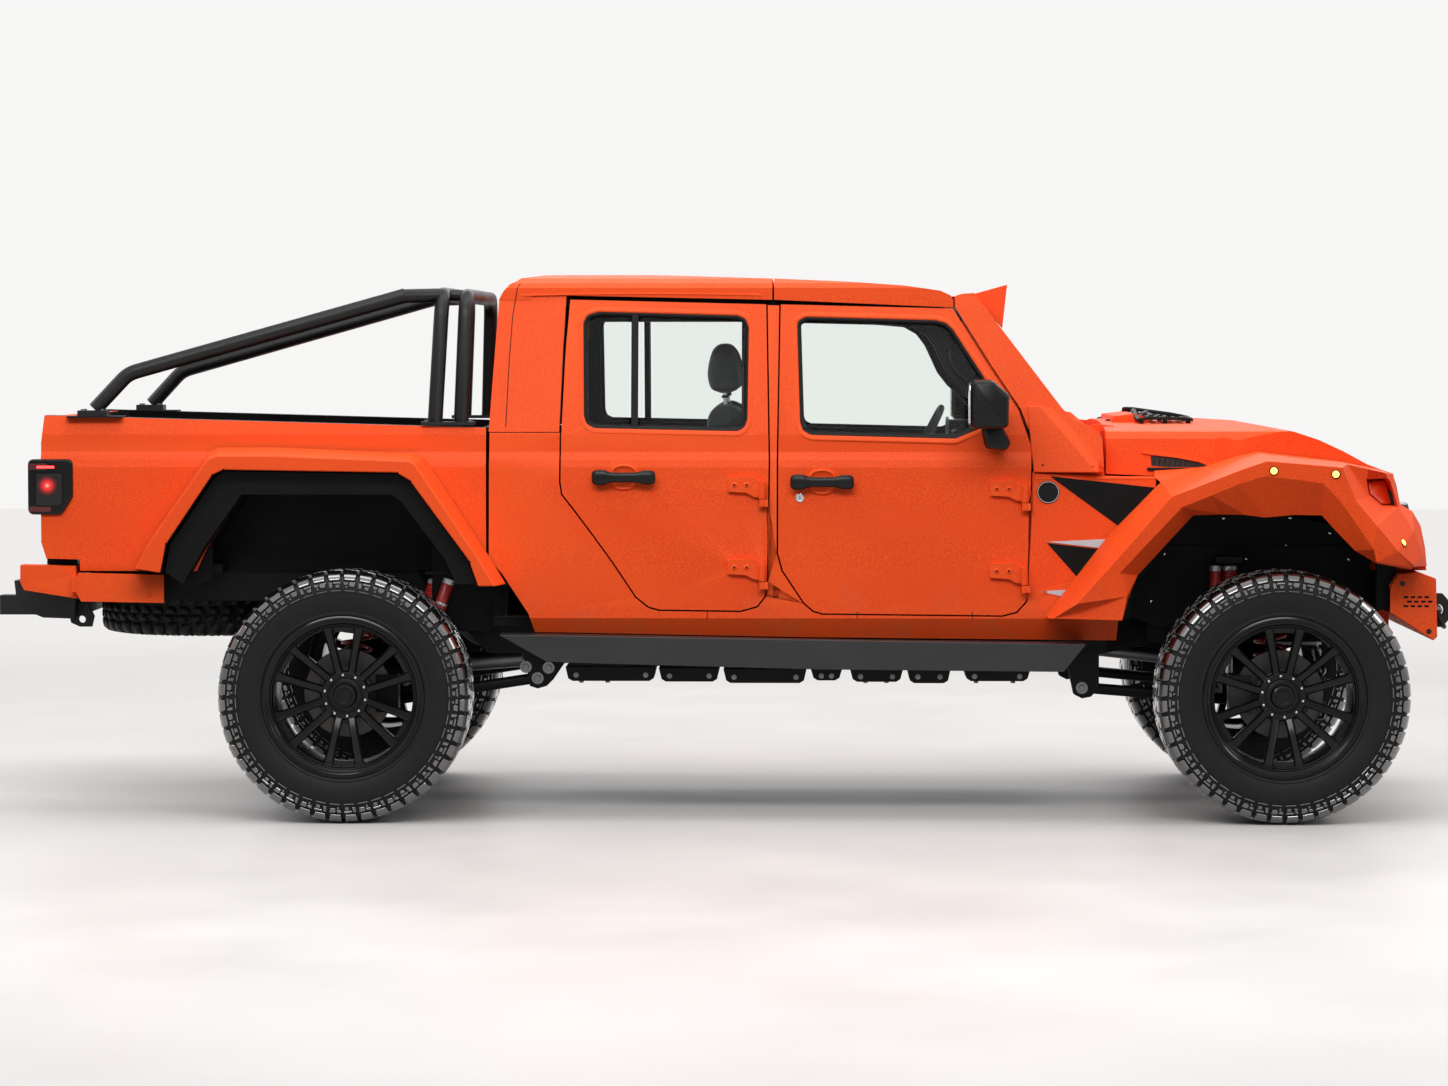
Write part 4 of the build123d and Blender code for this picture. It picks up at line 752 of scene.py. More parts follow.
def mesh_screen(name, hole_mm=5.0):
    """Black woven screen: raised wires over dark gaps."""
    t = Tree(name)
    s = t.n("ShaderNodeSeparateXYZ")
    t.link(t.co, s.inputs[0])
    k = math.pi / (hole_mm * MM)
    u = t.math("ADD", s.outputs["X"], s.outputs["Z"])
    v = t.math("SUBTRACT", t.math("ADD", s.outputs["X"], s.outputs["Y"]), s.outputs["Z"])
    a = t.math("ABSOLUTE", t.math("SINE", t.math("MULTIPLY", u, k)))
    b = t.math("ABSOLUTE", t.math("SINE", t.math("MULTIPLY", v, k)))
    wire = t.math("MINIMUM", a, b)
    gap = t.map(wire, 0.25, 0.45, 0.0, 1.0)
    col = t.mix(gap, srgb(62, 60, 58), srgb(5, 5, 5))
    t.principled(Base_Color=col, Roughness=t.map(t.noise(60.0), 0.3, 0.7, 0.45, 0.6), Normal=t.bump(wire, 0.8, 1.0), Specular_IOR_Level=0.35)
    return t.mat


M_MESH = mesh_screen("black_mesh")
M_AMBERLENS = plastic("amber_lens", srgb(196, 42, 10), 0.14, 120.0, 0.03, spec=0.6, wear=(240, 120, 60))


# ------------------------------------------------------------------ stage, lights, camera
def stage():
    me = bpy.data.meshes.new("floor")
    me.from_pydata([(-30, -30, 0), (30, -30, 0), (30, 30, 0), (-30, 30, 0)], [], [(0, 1, 2, 3)])
    floor = bpy.data.objects.new("floor", me)
    SCENE.collection.objects.link(floor)
    t = Tree("pale_floor")
    n = t.noise(0.9, 4.0, 0.55)
    col = t.mix(t.map(n, 0.3, 0.7, 0.0, 1.0), srgb(203, 200, 198), srgb(212, 209, 207))
    t.principled(Base_Color=col, Roughness=t.map(n, 0.3, 0.7, 0.34, 0.44), Specular_IOR_Level=0.4)
    # the floor runs out into the backdrop, and throws less light up than it shows
    nt = t.nt
    geo = t.n("ShaderNodeVectorMath", operation="LENGTH")
    t.link(t.co, geo.inputs[0])
    far = t.n("ShaderNodeMapRange", interpolation_type="SMOOTHSTEP")
    t.link(geo.outputs["Value"], far.inputs["Value"])
    far.inputs["From Min"].default_value, far.inputs["From Max"].default_value = 3.2, 11.0
    lp = t.n("ShaderNodeLightPath")
    seen_ = t.math("MAXIMUM", lp.outputs["Is Camera Ray"], lp.outputs["Is Transmission Ray"])
    seen_ = t.math("MAXIMUM", seen_, lp.outputs["Is Glossy Ray"])
    em = t.n("ShaderNodeEmission")
    em.inputs["Color"].default_value = (0.96, 0.945, 0.93, 1.0)
    em.inputs["Strength"].default_value = 0.9
    main = [n for n in nt.nodes if n.type == "BSDF_PRINCIPLED"][0]
    dim = t.n("ShaderNodeBsdfDiffuse")
    dim.inputs["Color"].default_value = (0.20, 0.195, 0.19, 1.0)
    a = t.n("ShaderNodeMixShader")
    t.link(t.math("MULTIPLY", far.outputs["Result"], seen_), a.inputs[0])
    t.link(main.outputs[0], a.inputs[1])
    t.link(em.outputs[0], a.inputs[2])
    b = t.n("ShaderNodeMixShader")
    t.link(seen_, b.inputs[0])
    t.link(dim.outputs[0], b.inputs[1])
    t.link(a.outputs[0], b.inputs[2])
    t.link(b.outputs[0], t.out.inputs[0])
    me.materials.append(t.mat)

    w = bpy.data.worlds.new("studio")
    SCENE.world = w
    w.use_nodes = True
    w.node_tree.nodes.clear()
    nt = w.node_tree
    out = nt.nodes.new("ShaderNodeOutputWorld")
    seen = nt.nodes.new("ShaderNodeBackground")            # the plain pale backdrop
    seen.inputs["Color"].default_value = (1.0, 0.992, 0.985, 1.0)
    seen.inputs["Strength"].default_value = 0.93
    sky = nt.nodes.new("ShaderNodeBackground")             # soft light, stronger from above
    co = nt.nodes.new("ShaderNodeTexCoord")
    sep = nt.nodes.new("ShaderNodeSeparateXYZ")
    ramp = nt.nodes.new("ShaderNodeMapRange")
    ramp.interpolation_type = "SMOOTHSTEP"
    ramp.inputs["From Min"].default_value = 0.08
    ramp.inputs["From Max"].default_value = 0.75
    ramp.inputs["To Min"].default_value = 0.10
    ramp.inputs["To Max"].default_value = 1.16
    nt.links.new(co.outputs["Generated"], sep.inputs[0])
    nt.links.new(sep.outputs["Z"], ramp.inputs["Value"])
    nt.links.new(ramp.outputs["Result"], sky.inputs["Strength"])
    lp = nt.nodes.new("ShaderNodeLightPath")
    mx = nt.nodes.new("ShaderNodeMixShader")
    either = nt.nodes.new("ShaderNodeMath")
    either.operation = "MAXIMUM"
    nt.links.new(lp.outputs["Is Camera Ray"], either.inputs[0])
    nt.links.new(lp.outputs["Is Transmission Ray"], either.inputs[1])
    nt.links.new(either.outputs[0], mx.inputs[0])
    nt.links.new(sky.outputs[0], mx.inputs[1])
    nt.links.new(seen.outputs[0], mx.inputs[2])
    gl = nt.nodes.new("ShaderNodeBackground")              # what glossy surfaces mirror
    gr = nt.nodes.new("ShaderNodeMapRange")
    for k, v in (("From Min", -0.05), ("From Max", 0.6), ("To Min", 0.62), ("To Max", 1.3)):
        gr.inputs[k].default_value = v
    nt.links.new(sep.outputs["Z"], gr.inputs["Value"])
    nt.links.new(gr.outputs["Result"], gl.inputs["Strength"])
    m2 = nt.nodes.new("ShaderNodeMixShader")
    only = nt.nodes.new("ShaderNodeMath")
    only.operation = "SUBTRACT"
    only.use_clamp = True
    nt.links.new(lp.outputs["Is Glossy Ray"], only.inputs[0])
    nt.links.new(either.outputs[0], only.inputs[1])
    nt.links.new(only.outputs[0], m2.inputs[0])
    nt.links.new(mx.outputs[0], m2.inputs[1])
    nt.links.new(gl.outputs[0], m2.inputs[2])
    nt.links.new(m2.outputs[0], out.inputs[0])

    def area(name, loc, target, sx, sy, power, colour=(1, 1, 1)):
        l = bpy.data.lights.new(name, "AREA")
        l.shape = "RECTANGLE"
        l.size, l.size_y = sx, sy
        l.energy = power
        l.color = colour
        o = bpy.data.objects.new(name, l)
        SCENE.collection.objects.link(o)
        o.location = loc
        o.rotation_euler = (Vector(target) - Vector(loc)).to_track_quat("-Z", "Y").to_euler()
        return o

    area("key_top", (0.3, -0.6, 5.6), (0, 0, 0.6), 7.5, 1.4, 130)
    area("front_soft", (-0.6, -6.0, 5.4), (0, -0.8, 1.0), 8.0, 1.4, 335)
    area("back_soft", (0.6, 6.0, 5.4), (0, 0.8, 1.0), 8.0, 1.4, 205)
    area("nose_soft", (7.5, -1.5, 4.6), (1.5, 0, 0.9), 3.0, 1.6, 100)
    area("tail_soft", (-7.5, 1.5, 4.6), (-1.5, 0, 0.9), 3.0, 1.6, 95)
    SCENE.view_settings.view_transform = "Standard"
    SCENE.view_settings.look = "None"

    cam = bpy.data.cameras.new("camera")
    cam.sensor_width = 36.0
    cam.lens = 110.59
    cam.clip_start, cam.clip_end = 0.5, 200.0
    c = bpy.data.objects.new("camera", cam)
    SCENE.collection.objects.link(c)
    c.location = (0.29769, -17.43536, 1.78948)
    yaw, pitch = math.radians(0.93512), math.radians(2.59662)
    fwd = Vector((-math.sin(yaw) * math.cos(pitch), math.cos(yaw) * math.cos(pitch), -math.sin(pitch)))
    right = Vector((math.cos(yaw), math.sin(yaw), 0))
    up = right.cross(fwd)
    c.matrix_world = Matrix.Translation(c.location) @ Matrix((right, up, -fwd)).transposed().to_4x4()
    SCENE.camera = c


stage()


# ------------------------------------------------------------------ tyres: chunky mud pattern
WALL = [(279.6, 110), (280, 134), (286, 142), (294, 148.5), (303, 150.5), (306, 156), (312, 158.5), (318, 157.5), (330, 162),
        (350, 166), (372, 168), (392, 167.5), (410, 165), (426, 161), (438, 156.5), (446, 151), (452, 143), (455.5, 131), (457, 112),
        (458, 70), (458.4, 0)]


def arc_profile(pts):
    """Arc length, radius and half width from the tread's middle outwards."""
    P = np.array(pts[::-1], float)
    s = np.concatenate([[0], np.cumsum(np.linalg.norm(np.diff(P, axis=0), axis=1))])
    return s, P[:, 0], P[:, 1]


TS, TR, TW = arc_profile(WALL)


def on_tyre(s, h, t, side):
    """Point at arc length s from the middle line, h off the surface, at angle t; side is -1 or 1."""
    r, y = float(np.interp(s, TS, TR)), float(np.interp(s, TS, TW))
    r1, y1 = float(np.interp(s + 2, TS, TR)), float(np.interp(s + 2, TS, TW))
    r0, y0 = float(np.interp(s - 2, TS, TR)), float(np.interp(s - 2, TS, TW))
    n = unit([y1 - y0, r0 - r1])             # outward: (dr, dy)
    r, y = r + n[0] * h, y + n[1] * h
    r = min(r, 470.6)
    return (r * math.cos(t), side * y, r * math.sin(t))


def lug(mb, stations, side, h_of, mi=0, edge=1.6):
    """Rubber block: stations are (s, left, right) with left and right in mm round the tread."""
    k = 1.0 / 471.0
    loops = []
    n = len(stations)
    for i, (s, a, b) in enumerate(stations):
        h = h_of(s)
        ends = []
        if i == 0:
            ends = [(s - edge * 0.6, 0.0, 0.0), (s, h - edge, 0.0), (s + edge, h, edge)]
        elif i == n - 1:
            ends = [(s - edge, h, edge), (s, h - edge, 0.0), (s + edge * 0.6, 0.0, 0.0)]
        else:
            ends = [(s, h, edge)]
        for q, hh, inn in ends:
            a2, b2 = a + inn, b - inn
            low = max(hh - edge, 0.0) if inn else hh
            loops.append([on_tyre(q, -0.8, (a - 1.2) * k, side), on_tyre(q, low, a * k, side), on_tyre(q, hh, a2 * k, side),
                          on_tyre(q, hh, b2 * k, side), on_tyre(q, low, b * k, side), on_tyre(q, -0.8, (b + 1.2) * k, side)])
    faces = []
    v = [p for l in loops for p in l]
    for i in range(len(loops) - 1):
        for j in range(5):
            faces.append([i * 6 + j, i * 6 + j + 1, (i + 1) * 6 + j + 1, (i + 1) * 6 + j])
    mb.add(v, faces, mi)


def tyre_mesh():
    """Tyre about the Y axis, centred on the origin."""
    mb = Mb()
    outer = [(r, y) for r, y in WALL]
    prof = outer + [(r, -y) for r, y in reversed(outer[:-1])]
    inner = [(281, -100), (316, -138), (398, -142), (436, -128), (442, 0), (436, 128), (398, 142), (316, 138), (281, 100)]
    mb.lathe(prof + inner, seg=144, mi=1)
    pitch = 2 * math.pi * 471 / 48
    H = 12.4

    def tread_h(s):
        return float(np.interp(s, [0, 118, 140, 158, 176, 190], [H, H, H - 1.5, 9.0, 6.5, 5.0]))

    for k in range(48):
        odd = k % 2
        o = k * pitch
        for side in (-1, 1):
            so = o + (0.5 * pitch if side > 0 else 0)
            # shoulder lug over the edge
            w0, w1 = (7, pitch - 6)
            lug(mb, [(92 if odd else 100, so + w0 + 8, so + w1 - 2), (122, so + w0 + 2, so + w1), (140, so + w0, so + w1), (156, so + w0 + 1, so + w1 - 1),
                     (167, so + w0 + 4, so + w1 - 4)], side, tread_h)
            # side biters
            hb = lambda s: 6.0
            if odd:
                lug(mb, [(173, so + 6, so + 30), (181, so + 6, so + 34), (190, so + 9, so + 30)], side, hb, edge=1.3)
                lug(mb, [(174, so + 37, so + pitch - 5), (184, so + 37, so + pitch - 8)], side, hb, edge=1.3)
                lug(mb, [(187.5, so + 35, so + pitch - 12), (196, so + 38, so + pitch - 16)], side, hb, edge=1.3)
            else:
                lug(mb, [(173, so + 5, so + pitch - 26), (180, so + 5, so + pitch - 24)], side, hb, edge=1.3)
                lug(mb, [(183.5, so + 8, so + 28), (195, so + 10, so + 26)], side, hb, edge=1.3)
                lug(mb, [(174, so + pitch - 19, so + pitch - 6), (194, so + pitch - 22, so + pitch - 8)], side, hb, edge=1.3)
            # broken rib further in
            lug(mb, [(203.0, so + 4, so + pitch - 12), (207.0, so + 4, so + pitch - 12)], side, lambda s: 2.6, edge=0.8)
        # centre blocks
        a = o
        for side in (-1, 1):
            sh = 0.5 * pitch if side > 0 else 0
            lug(mb, [(6, a + sh + 4, a + sh + pitch * 0.62), (30, a + sh + 10, a + sh + pitch * 0.8), (44, a + sh + 16, a + sh + pitch * 0.84)], side, tread_h)
            lug(mb, [(52, a + sh - 6, a + sh + pitch * 0.42), (72, a + sh - 2, a + sh + pitch * 0.6), (86, a + sh + 4, a + sh + pitch * 0.56)], side, tread_h)
            lug(mb, [(54, a + sh + pitch * 0.55, a + sh + pitch * 0.82), (70, a + sh + pitch * 0.7, a + sh + pitch * 0.9)], side, lambda s: H - 3, edge=1.2)
    # thin ribs by the bead and on the plain part of the wall
    for s_rib, h, w in ((TS[-1] - 40, 1.4, 3.0), (TS[-1] - 48, 1.0, 2.0), (212.5, 1.2, 2.5)):
        for side in (-1, 1):
            rows = []
            for k in range(144):
                t = 2 * math.pi * k / 144
                rows.append([on_tyre(s_rib - w / 2 - 0.8, -0.6, t, side), on_tyre(s_rib - w / 2, h, t, side), on_tyre(s_rib + w / 2, h, t, side),
                             on_tyre(s_rib + w / 2 + 0.8, -0.6, t, side)])
            mb.grid(rows, 1, close_u=True)
    return mb


# ------------------------------------------------------------------ wheels: twelve blades in six pairs
def wheel_mesh(front):
    """Right wheel about the Y axis with -Y outboard. Materials: black, bright, brake metal, badge."""
    mb = Mb()
    B = 279.0
    barrel = [(B - 17, 148), (B + 12, 152), (B + 13, 146), (B + 1, 140), (B - 1, 120), (B - 14, 62), (B - 14, -40), (B - 3, -84), (B - 1, -110),
              (B, -134), (B + 5, -139), (B + 20, -142), (B + 24, -147), (B + 23, -152), (B + 17, -154.5), (B + 9, -153), (B + 5, -149), (B + 1, -146.5),
              (B - 3, -146.5), (B - 7, -143), (B - 9, -139), (B - 13, -138), (B - 15, -132), (B - 17, -128), (B - 20, -127), (B - 22, -118), (B - 23, -100),
              (B - 23, -60), (B - 23, 60), (B - 20, 120)]
    mb.lathe(barrel, seg=144, mi=0)
    # spokes
    for pair in range(6):
        c = math.radians(-90 + 60 * pair)
        for sgn in (-1, 1):
            ang_o, ang_i = c + sgn * math.radians(13.0), c + sgn * math.radians(16.5)
            po = np.array([math.cos(ang_o), 0, math.sin(ang_o)]) * 262
            pi_ = np.array([math.cos(ang_i), 0, math.sin(ang_i)]) * 74
            d = unit(po - pi_)
            w = np.array([d[2], 0, -d[0]])
            loops = []
            for t, half, y_f, y_b in ((-0.04, 17.0, -58, -24), (0.06, 16.5, -66, -26), (0.20, 16.0, -78, -34), (0.45, 16.0, -96, -50), (0.72, 16.5, -112, -66),
                                      (0.90, 18.0, -124, -80), (0.97, 20.5, -129, -86), (1.02, 23.0, -130, -88)):
                p = pi_ + (po - pi_) * t
                fr, bk = np.array([0, y_f, 0]), np.array([0, y_b, 0])
                ridge = np.array([0, -2.2, 0])
                loops.append([p - w * half * 0.9 + bk, p - w * half + fr + np.array([0, 7, 0]), p - w * (half - 4) + fr, p - w * (half - 6.5) + fr - ridge * 1.4,
                              p + w * (half - 6.5) + fr - ridge * 1.4, p + w * (half - 4) + fr, p + w * half + fr + np.array([0, 7, 0]), p + w * half * 0.9 + bk])
            mb.loft(loops, 0)
        # web between the two blades of a pair at the hub and at the rim
        for rr, hh, yy, aa in ((95, 12, -60, 12), (250, 10, -112, 11)):
            rows_o, rows_i = [], []
            for q in range(5):
                a = c + math.radians(-aa + 2 * aa * q / 4)
                e = np.array([math.cos(a), 0, math.sin(a)])
                rows_o.append(e * (rr + hh) + np.array([0, yy, 0]))
                rows_i.append(e * (rr - hh) + np.array([0, yy + 6, 0]))
            back = [p + np.array([0, 26, 0]) for p in rows_o], [p + np.array([0, 26, 0]) for p in rows_i]
            mb.loft([[rows_o[q], rows_i[q], back[1][q], back[0][q]] for q in range(5)], 0)
    # hub: stepped disc, bolt ring and bare cap
    mb.lathe([(0, -40), (0, -66), (56, -66), (60, -63), (64, -63), (66, -66), (86, -66), (90, -63), (92, -56), (92, -30), (80, 14), (40, 14)], seg=72, mi=0, closed=False)
    mb.lathe([(92.5, -50), (96, -48), (98, -42), (97, -30), (92.5, -28)], seg=72, mi=0)
    for k in range(10):
        a = 2 * math.pi * (k + 0.5) / 10 + 0.1
        x, z = 77 * math.cos(a), 77 * math.sin(a)
        mb.lathe([(0, -61), (9.5, -61), (10.5, -66.4), (8.5, -67.0), (8.0, -64.0), (0, -64.0)], c=(x, 0, z), d=(0, 1, 0), seg=16, mi=0, closed=False)
        mb.bolt((x, -64, z), (0, -1, 0), 5.2, 6.5, 1)
    mb.lathe([(0, -66), (0, -89), (24, -89), (26, -91.5), (37, -91.5), (41, -89), (44, -82), (46, -70), (47, -64)], seg=64, mi=0, closed=False)
    mb.lathe([(27.5, -91.2), (29, -92.2), (35, -92.2), (36.5, -91.2)], seg=64, mi=3, closed=False)
    mb.rod((0, -118, 258), (0, -132, 262), 3.2, 10, 0)         # valve
    # brake disc with vanes, on its hat
    mb.lathe([(80, 84), (80, 60), (98, 60), (98, 57), (164, 57), (165.5, 58), (165.5, 66), (164, 67), (110, 67), (110, 74), (164, 74), (165.5, 75), (165.5, 83),
              (164, 84)], seg=96, mi=2)
    mb.lathe([(40, 12), (78, 12), (80, 20), (80, 62), (60, 62), (60, 30), (40, 30)], seg=48, mi=2)
    for k in range(40):
        a = 2 * math.pi * k / 40
        e = np.array([math.cos(a), 0, math.sin(a)])
        w = np.array([-e[2], 0, e[0]])
        mb.obox(e * 137 + np.array([0, 70.5, 0]), e * 26, w * 2.2, (0, 4, 0), 2)
    return mb


def place(src, x, y, z, flip):
    T = np.eye(4)
    if flip:
        T[1, 1] = -1
    T[:3, 3] = (x, y, z)
    return Mb().merge(src, T)


TYRE = tyre_mesh()
WHEEL = wheel_mesh(True)
SPARE = None
for pos, x in (("front", X_FRONT), ("rear", X_REAR)):
    for side, s in (("right", -1), ("left", 1)):
        body = f"wheel_{pos}_{side}_spin"
        if body not in frame["bodies"]:
            raise RuntimeError(body)
        put(place(TYRE, x, s * Y_WHEEL, Z_HUB, s > 0), f"tyre_{pos}_{side}_v", body, [M_TREAD, M_WALL], "tyre", sharp=30, replaces=[f"tyre_{pos}_{side}"], weld=0)
        put(place(WHEEL, x, s * Y_WHEEL, Z_HUB, s > 0), f"wheel_{pos}_{side}_v", body, [M_RIM, M_BRIGHT, M_ALLOY, M_BADGE], "wheel_black", bevel=1.0, seg=1, angle=35, sharp=32,
            replaces=[f"wheel_{pos}_{side}"], weld=0.01)


# ------------------------------------------------------------------ body panels: belt crease, rocker undercut
def crease(x, y, z):
    """Shoulder along the belt line, and the rocker turned under."""
    s = abs(y)
    if s > skin(z) - 16:
        y -= math.copysign(10.0 * float(np.interp(z, [1318, 1376, 1440], [0, 1, 0])), y)
    return x, y, z


def rocker(x, y, z):
    x, y, z = crease(x, y, z)
    for x_pin, x_end, zs in ((1150.0, 1222.0, (1236.0, 928.0)), (169.0, 220.0, (1250.0, 941.0))):
        if x_pin + 14 < x < x_end + 1 and abs(y) > skin(z) - 4 and any(zz - 80 < z < zz - 49 for zz in zs):
            x = x_pin + 22 + (x - x_end) * 0.3              # short knuckle under the door's half of the hinge
    if z < 752 and abs(y) > 700:
        y -= math.copysign(46.0 * (752 - z) / 80.0, y)
    return x, y, z


LEVELS = (1318, 1345, 1376, 1440)
HANDLES = {"front": (393.0, 1264.0), "rear": (-349.0, 1281.0)}


def side_pick(c, n):
    """Faces round the door openings black in the seal material, as painted shade in the shut gaps; trim inside the
    cabin.
    """
    if c.z > 764 and abs(c.y) < skin(c.z) - 22 and c.x > -860 and c.x < 1140:
        return 2
    # reveal faces of the door openings: black as painted shade in the gaps round the doors
    if abs(n.y) < 0.45 and -850 < c.x < 1178 and 765 < c.z < 1950 and abs(c.y) > skin(c.z) - 60:
        return 1
    return 0


from_cad("body_sides", [M_PAINT, M_SEAL, M_TRIM], "body_paint", bevel=5, angle=7, seg=3, levels=(752,) + LEVELS, shape=rocker, pick=side_pick)


def bed_pick(c, n):
    if n.z > 0.7 and c.z > 1440:
        return 1
    if -2240 < c.x < -990 and c.z < 1230 and abs(n.y) < 0.5 and abs(c.y) > 600:
        return 2
    if abs(c.y) > 765 and c.z > 880:
        return 0
    if c.x < -2520 and abs(n.x) > 0.6:
        return 0
    return 2


from_cad("bed", [M_PAINT, M_TRIM, M_LINER], "body_paint", bevel=5, angle=7, seg=3, levels=LEVELS, shape=crease, pick=bed_pick)


def door_drop(pos):
    hx, hz = HANDLES[pos]

    def f(c, n):
        if abs(c.x - hx) < 124 and abs(c.z - hz) < 30 and abs(c.y) > skin(c.z) + 1.5:
            return True
        return pos == "front" and c.x > 930 and c.z > 1374 and abs(c.y) > skin(c.z) + 3
    return f


def door_shape(pos):
    def f(x, y, z):
        x, y, z = crease(x, y, z)
        if pos == "rear" and 1440 < z < 1905:
            if abs(x + 332) < 2:
                x = -320.0
            elif abs(x + 288) < 2:
                x = -300.0
        return x, y, z
    return f


MIRROR = rounded([(940, 1648), (1018, 1648), (1081, 1592), (1078, 1471), (940, 1466)], 20, 5)
STEM = rounded([(986, 1480), (1060, 1480), (1094, 1410), (1075, 1384), (1004, 1392)], 20, 5)


def door_pick(pos):
    def f(c, n):
        if pos == "front" and c.x > 930 and c.z > 1374 and abs(c.y) > skin(c.z) + 3:
            return 1
        if abs(c.y) < skin(c.z) - 24 and n.y * c.y < 0 and abs(n.y) > 0.6:
            return 3
        # door edges and window-opening reveals black in the seal material: painted shade in the shut gaps round the
        # door, and the seal round the glass
        if abs(n.y) < 0.3 and abs(c.y) < skin(c.z) - 4 and abs(c.y) > skin(c.z) - 60:
            return 2
        return 0
    return f


FRONT_WINDOW = [(301, 1846), (304, 1864), (330, 1880), (818, 1867), (856, 1857), (883, 1833), (999, 1653), (1084, 1520), (1076, 1503), (950, 1452),
                (891, 1428), (352, 1441), (322, 1456), (312, 1490)]
REAR_WINDOW_A = [(-502, 1859), (-489, 1886), (-446, 1899), (-332, 1896), (-332, 1463), (-459, 1466), (-489, 1481), (-498, 1512)]
REAR_WINDOW_B = [(-288, 1895), (77, 1885), (105, 1872), (117, 1842), (112, 1499), (101, 1468), (77, 1455), (-288, 1462)]


REAR_WINDOW = [(-502, 1859), (-489, 1886), (-446, 1899), (77, 1885), (105, 1872), (117, 1842), (112, 1499), (101, 1468), (77, 1455), (-459, 1466),
               (-489, 1481), (-498, 1512)]


def ring(mb, poly, stations, mi=0):
    """Frame round an opening; stations are (outward growth, depth behind the skin)."""
    loops = [inset(poly, -g) for g, d in stations]
    n = len(poly)
    rows = []
    for k in range(n):
        rows.append([(loops[i][k][0], -(skin(loops[i][k][1]) - stations[i][1]), loops[i][k][1]) for i in range(len(stations))])
    mb.grid(rows, mi, close_u=True, close_v=True)
    return mb


def handle(mb, hx, hz):
    y0 = skin(hz)
    tall = lambda x, h: h * (1.22 if x < hx - 50 else (1.06 if x < hx + 60 else 1.14))
    ell = lambda x, a, h0, dy, h=None: ell_(x, a, tall(x, h0), dy)
    ell_ = lambda x, a, h, dy: [(x, -(y0 + 30 + dy) + a * math.cos(2 * math.pi * k / 20), hz + h * math.sin(2 * math.pi * k / 20)) for k in range(20)]
    st = [(-119, 3, 9, -3), (-117, 7, 16, -2), (-111, 10, 21, -1), (-100, 12, 23.5, 0), (-72, 12, 23, 1), (-66, 11.4, 22.2, 1), (-62, 10, 19.5, 1), (-40, 9.5, 17.5, 1),
          (40, 9.5, 17.5, 1), (62, 10, 19.5, 1), (66, 11.4, 22.2, 1), (72, 12, 23, 1), (100, 12, 23.5, 0), (111, 10, 21, -1), (117, 7, 16, -2), (119, 3, 9, -3)]
    mb.loft([ell(hx + x, a, h, dy) for x, a, h, dy in st], 1)
    for sx in (-1, 1):
        mb.loft([[(hx + sx * 98 + 17 * math.cos(2 * math.pi * k / 16), -(y0 + d), hz + 19 * math.sin(2 * math.pi * k / 16)) for k in range(16)] for d in (-3, 12, 22)], 1)
    # cup behind the grip
    loops = []
    for sc, h in ((1.10, -1.0), (1.06, 4.0), (1.0, 8.0), (0.93, 8.5), (0.86, 5.0), (0.72, 1.5), (0.4, 0.6)):
        loops.append([(hx + 50 * sc * math.copysign(abs(math.cos(t)) ** 0.8, math.cos(t)), -(y0 + h), hz + 45 * sc * math.copysign(abs(math.sin(t)) ** 0.8, math.sin(t)))
                      for t in [2 * math.pi * k / 40 for k in range(40)]])
    mb.loft(loops, 0)


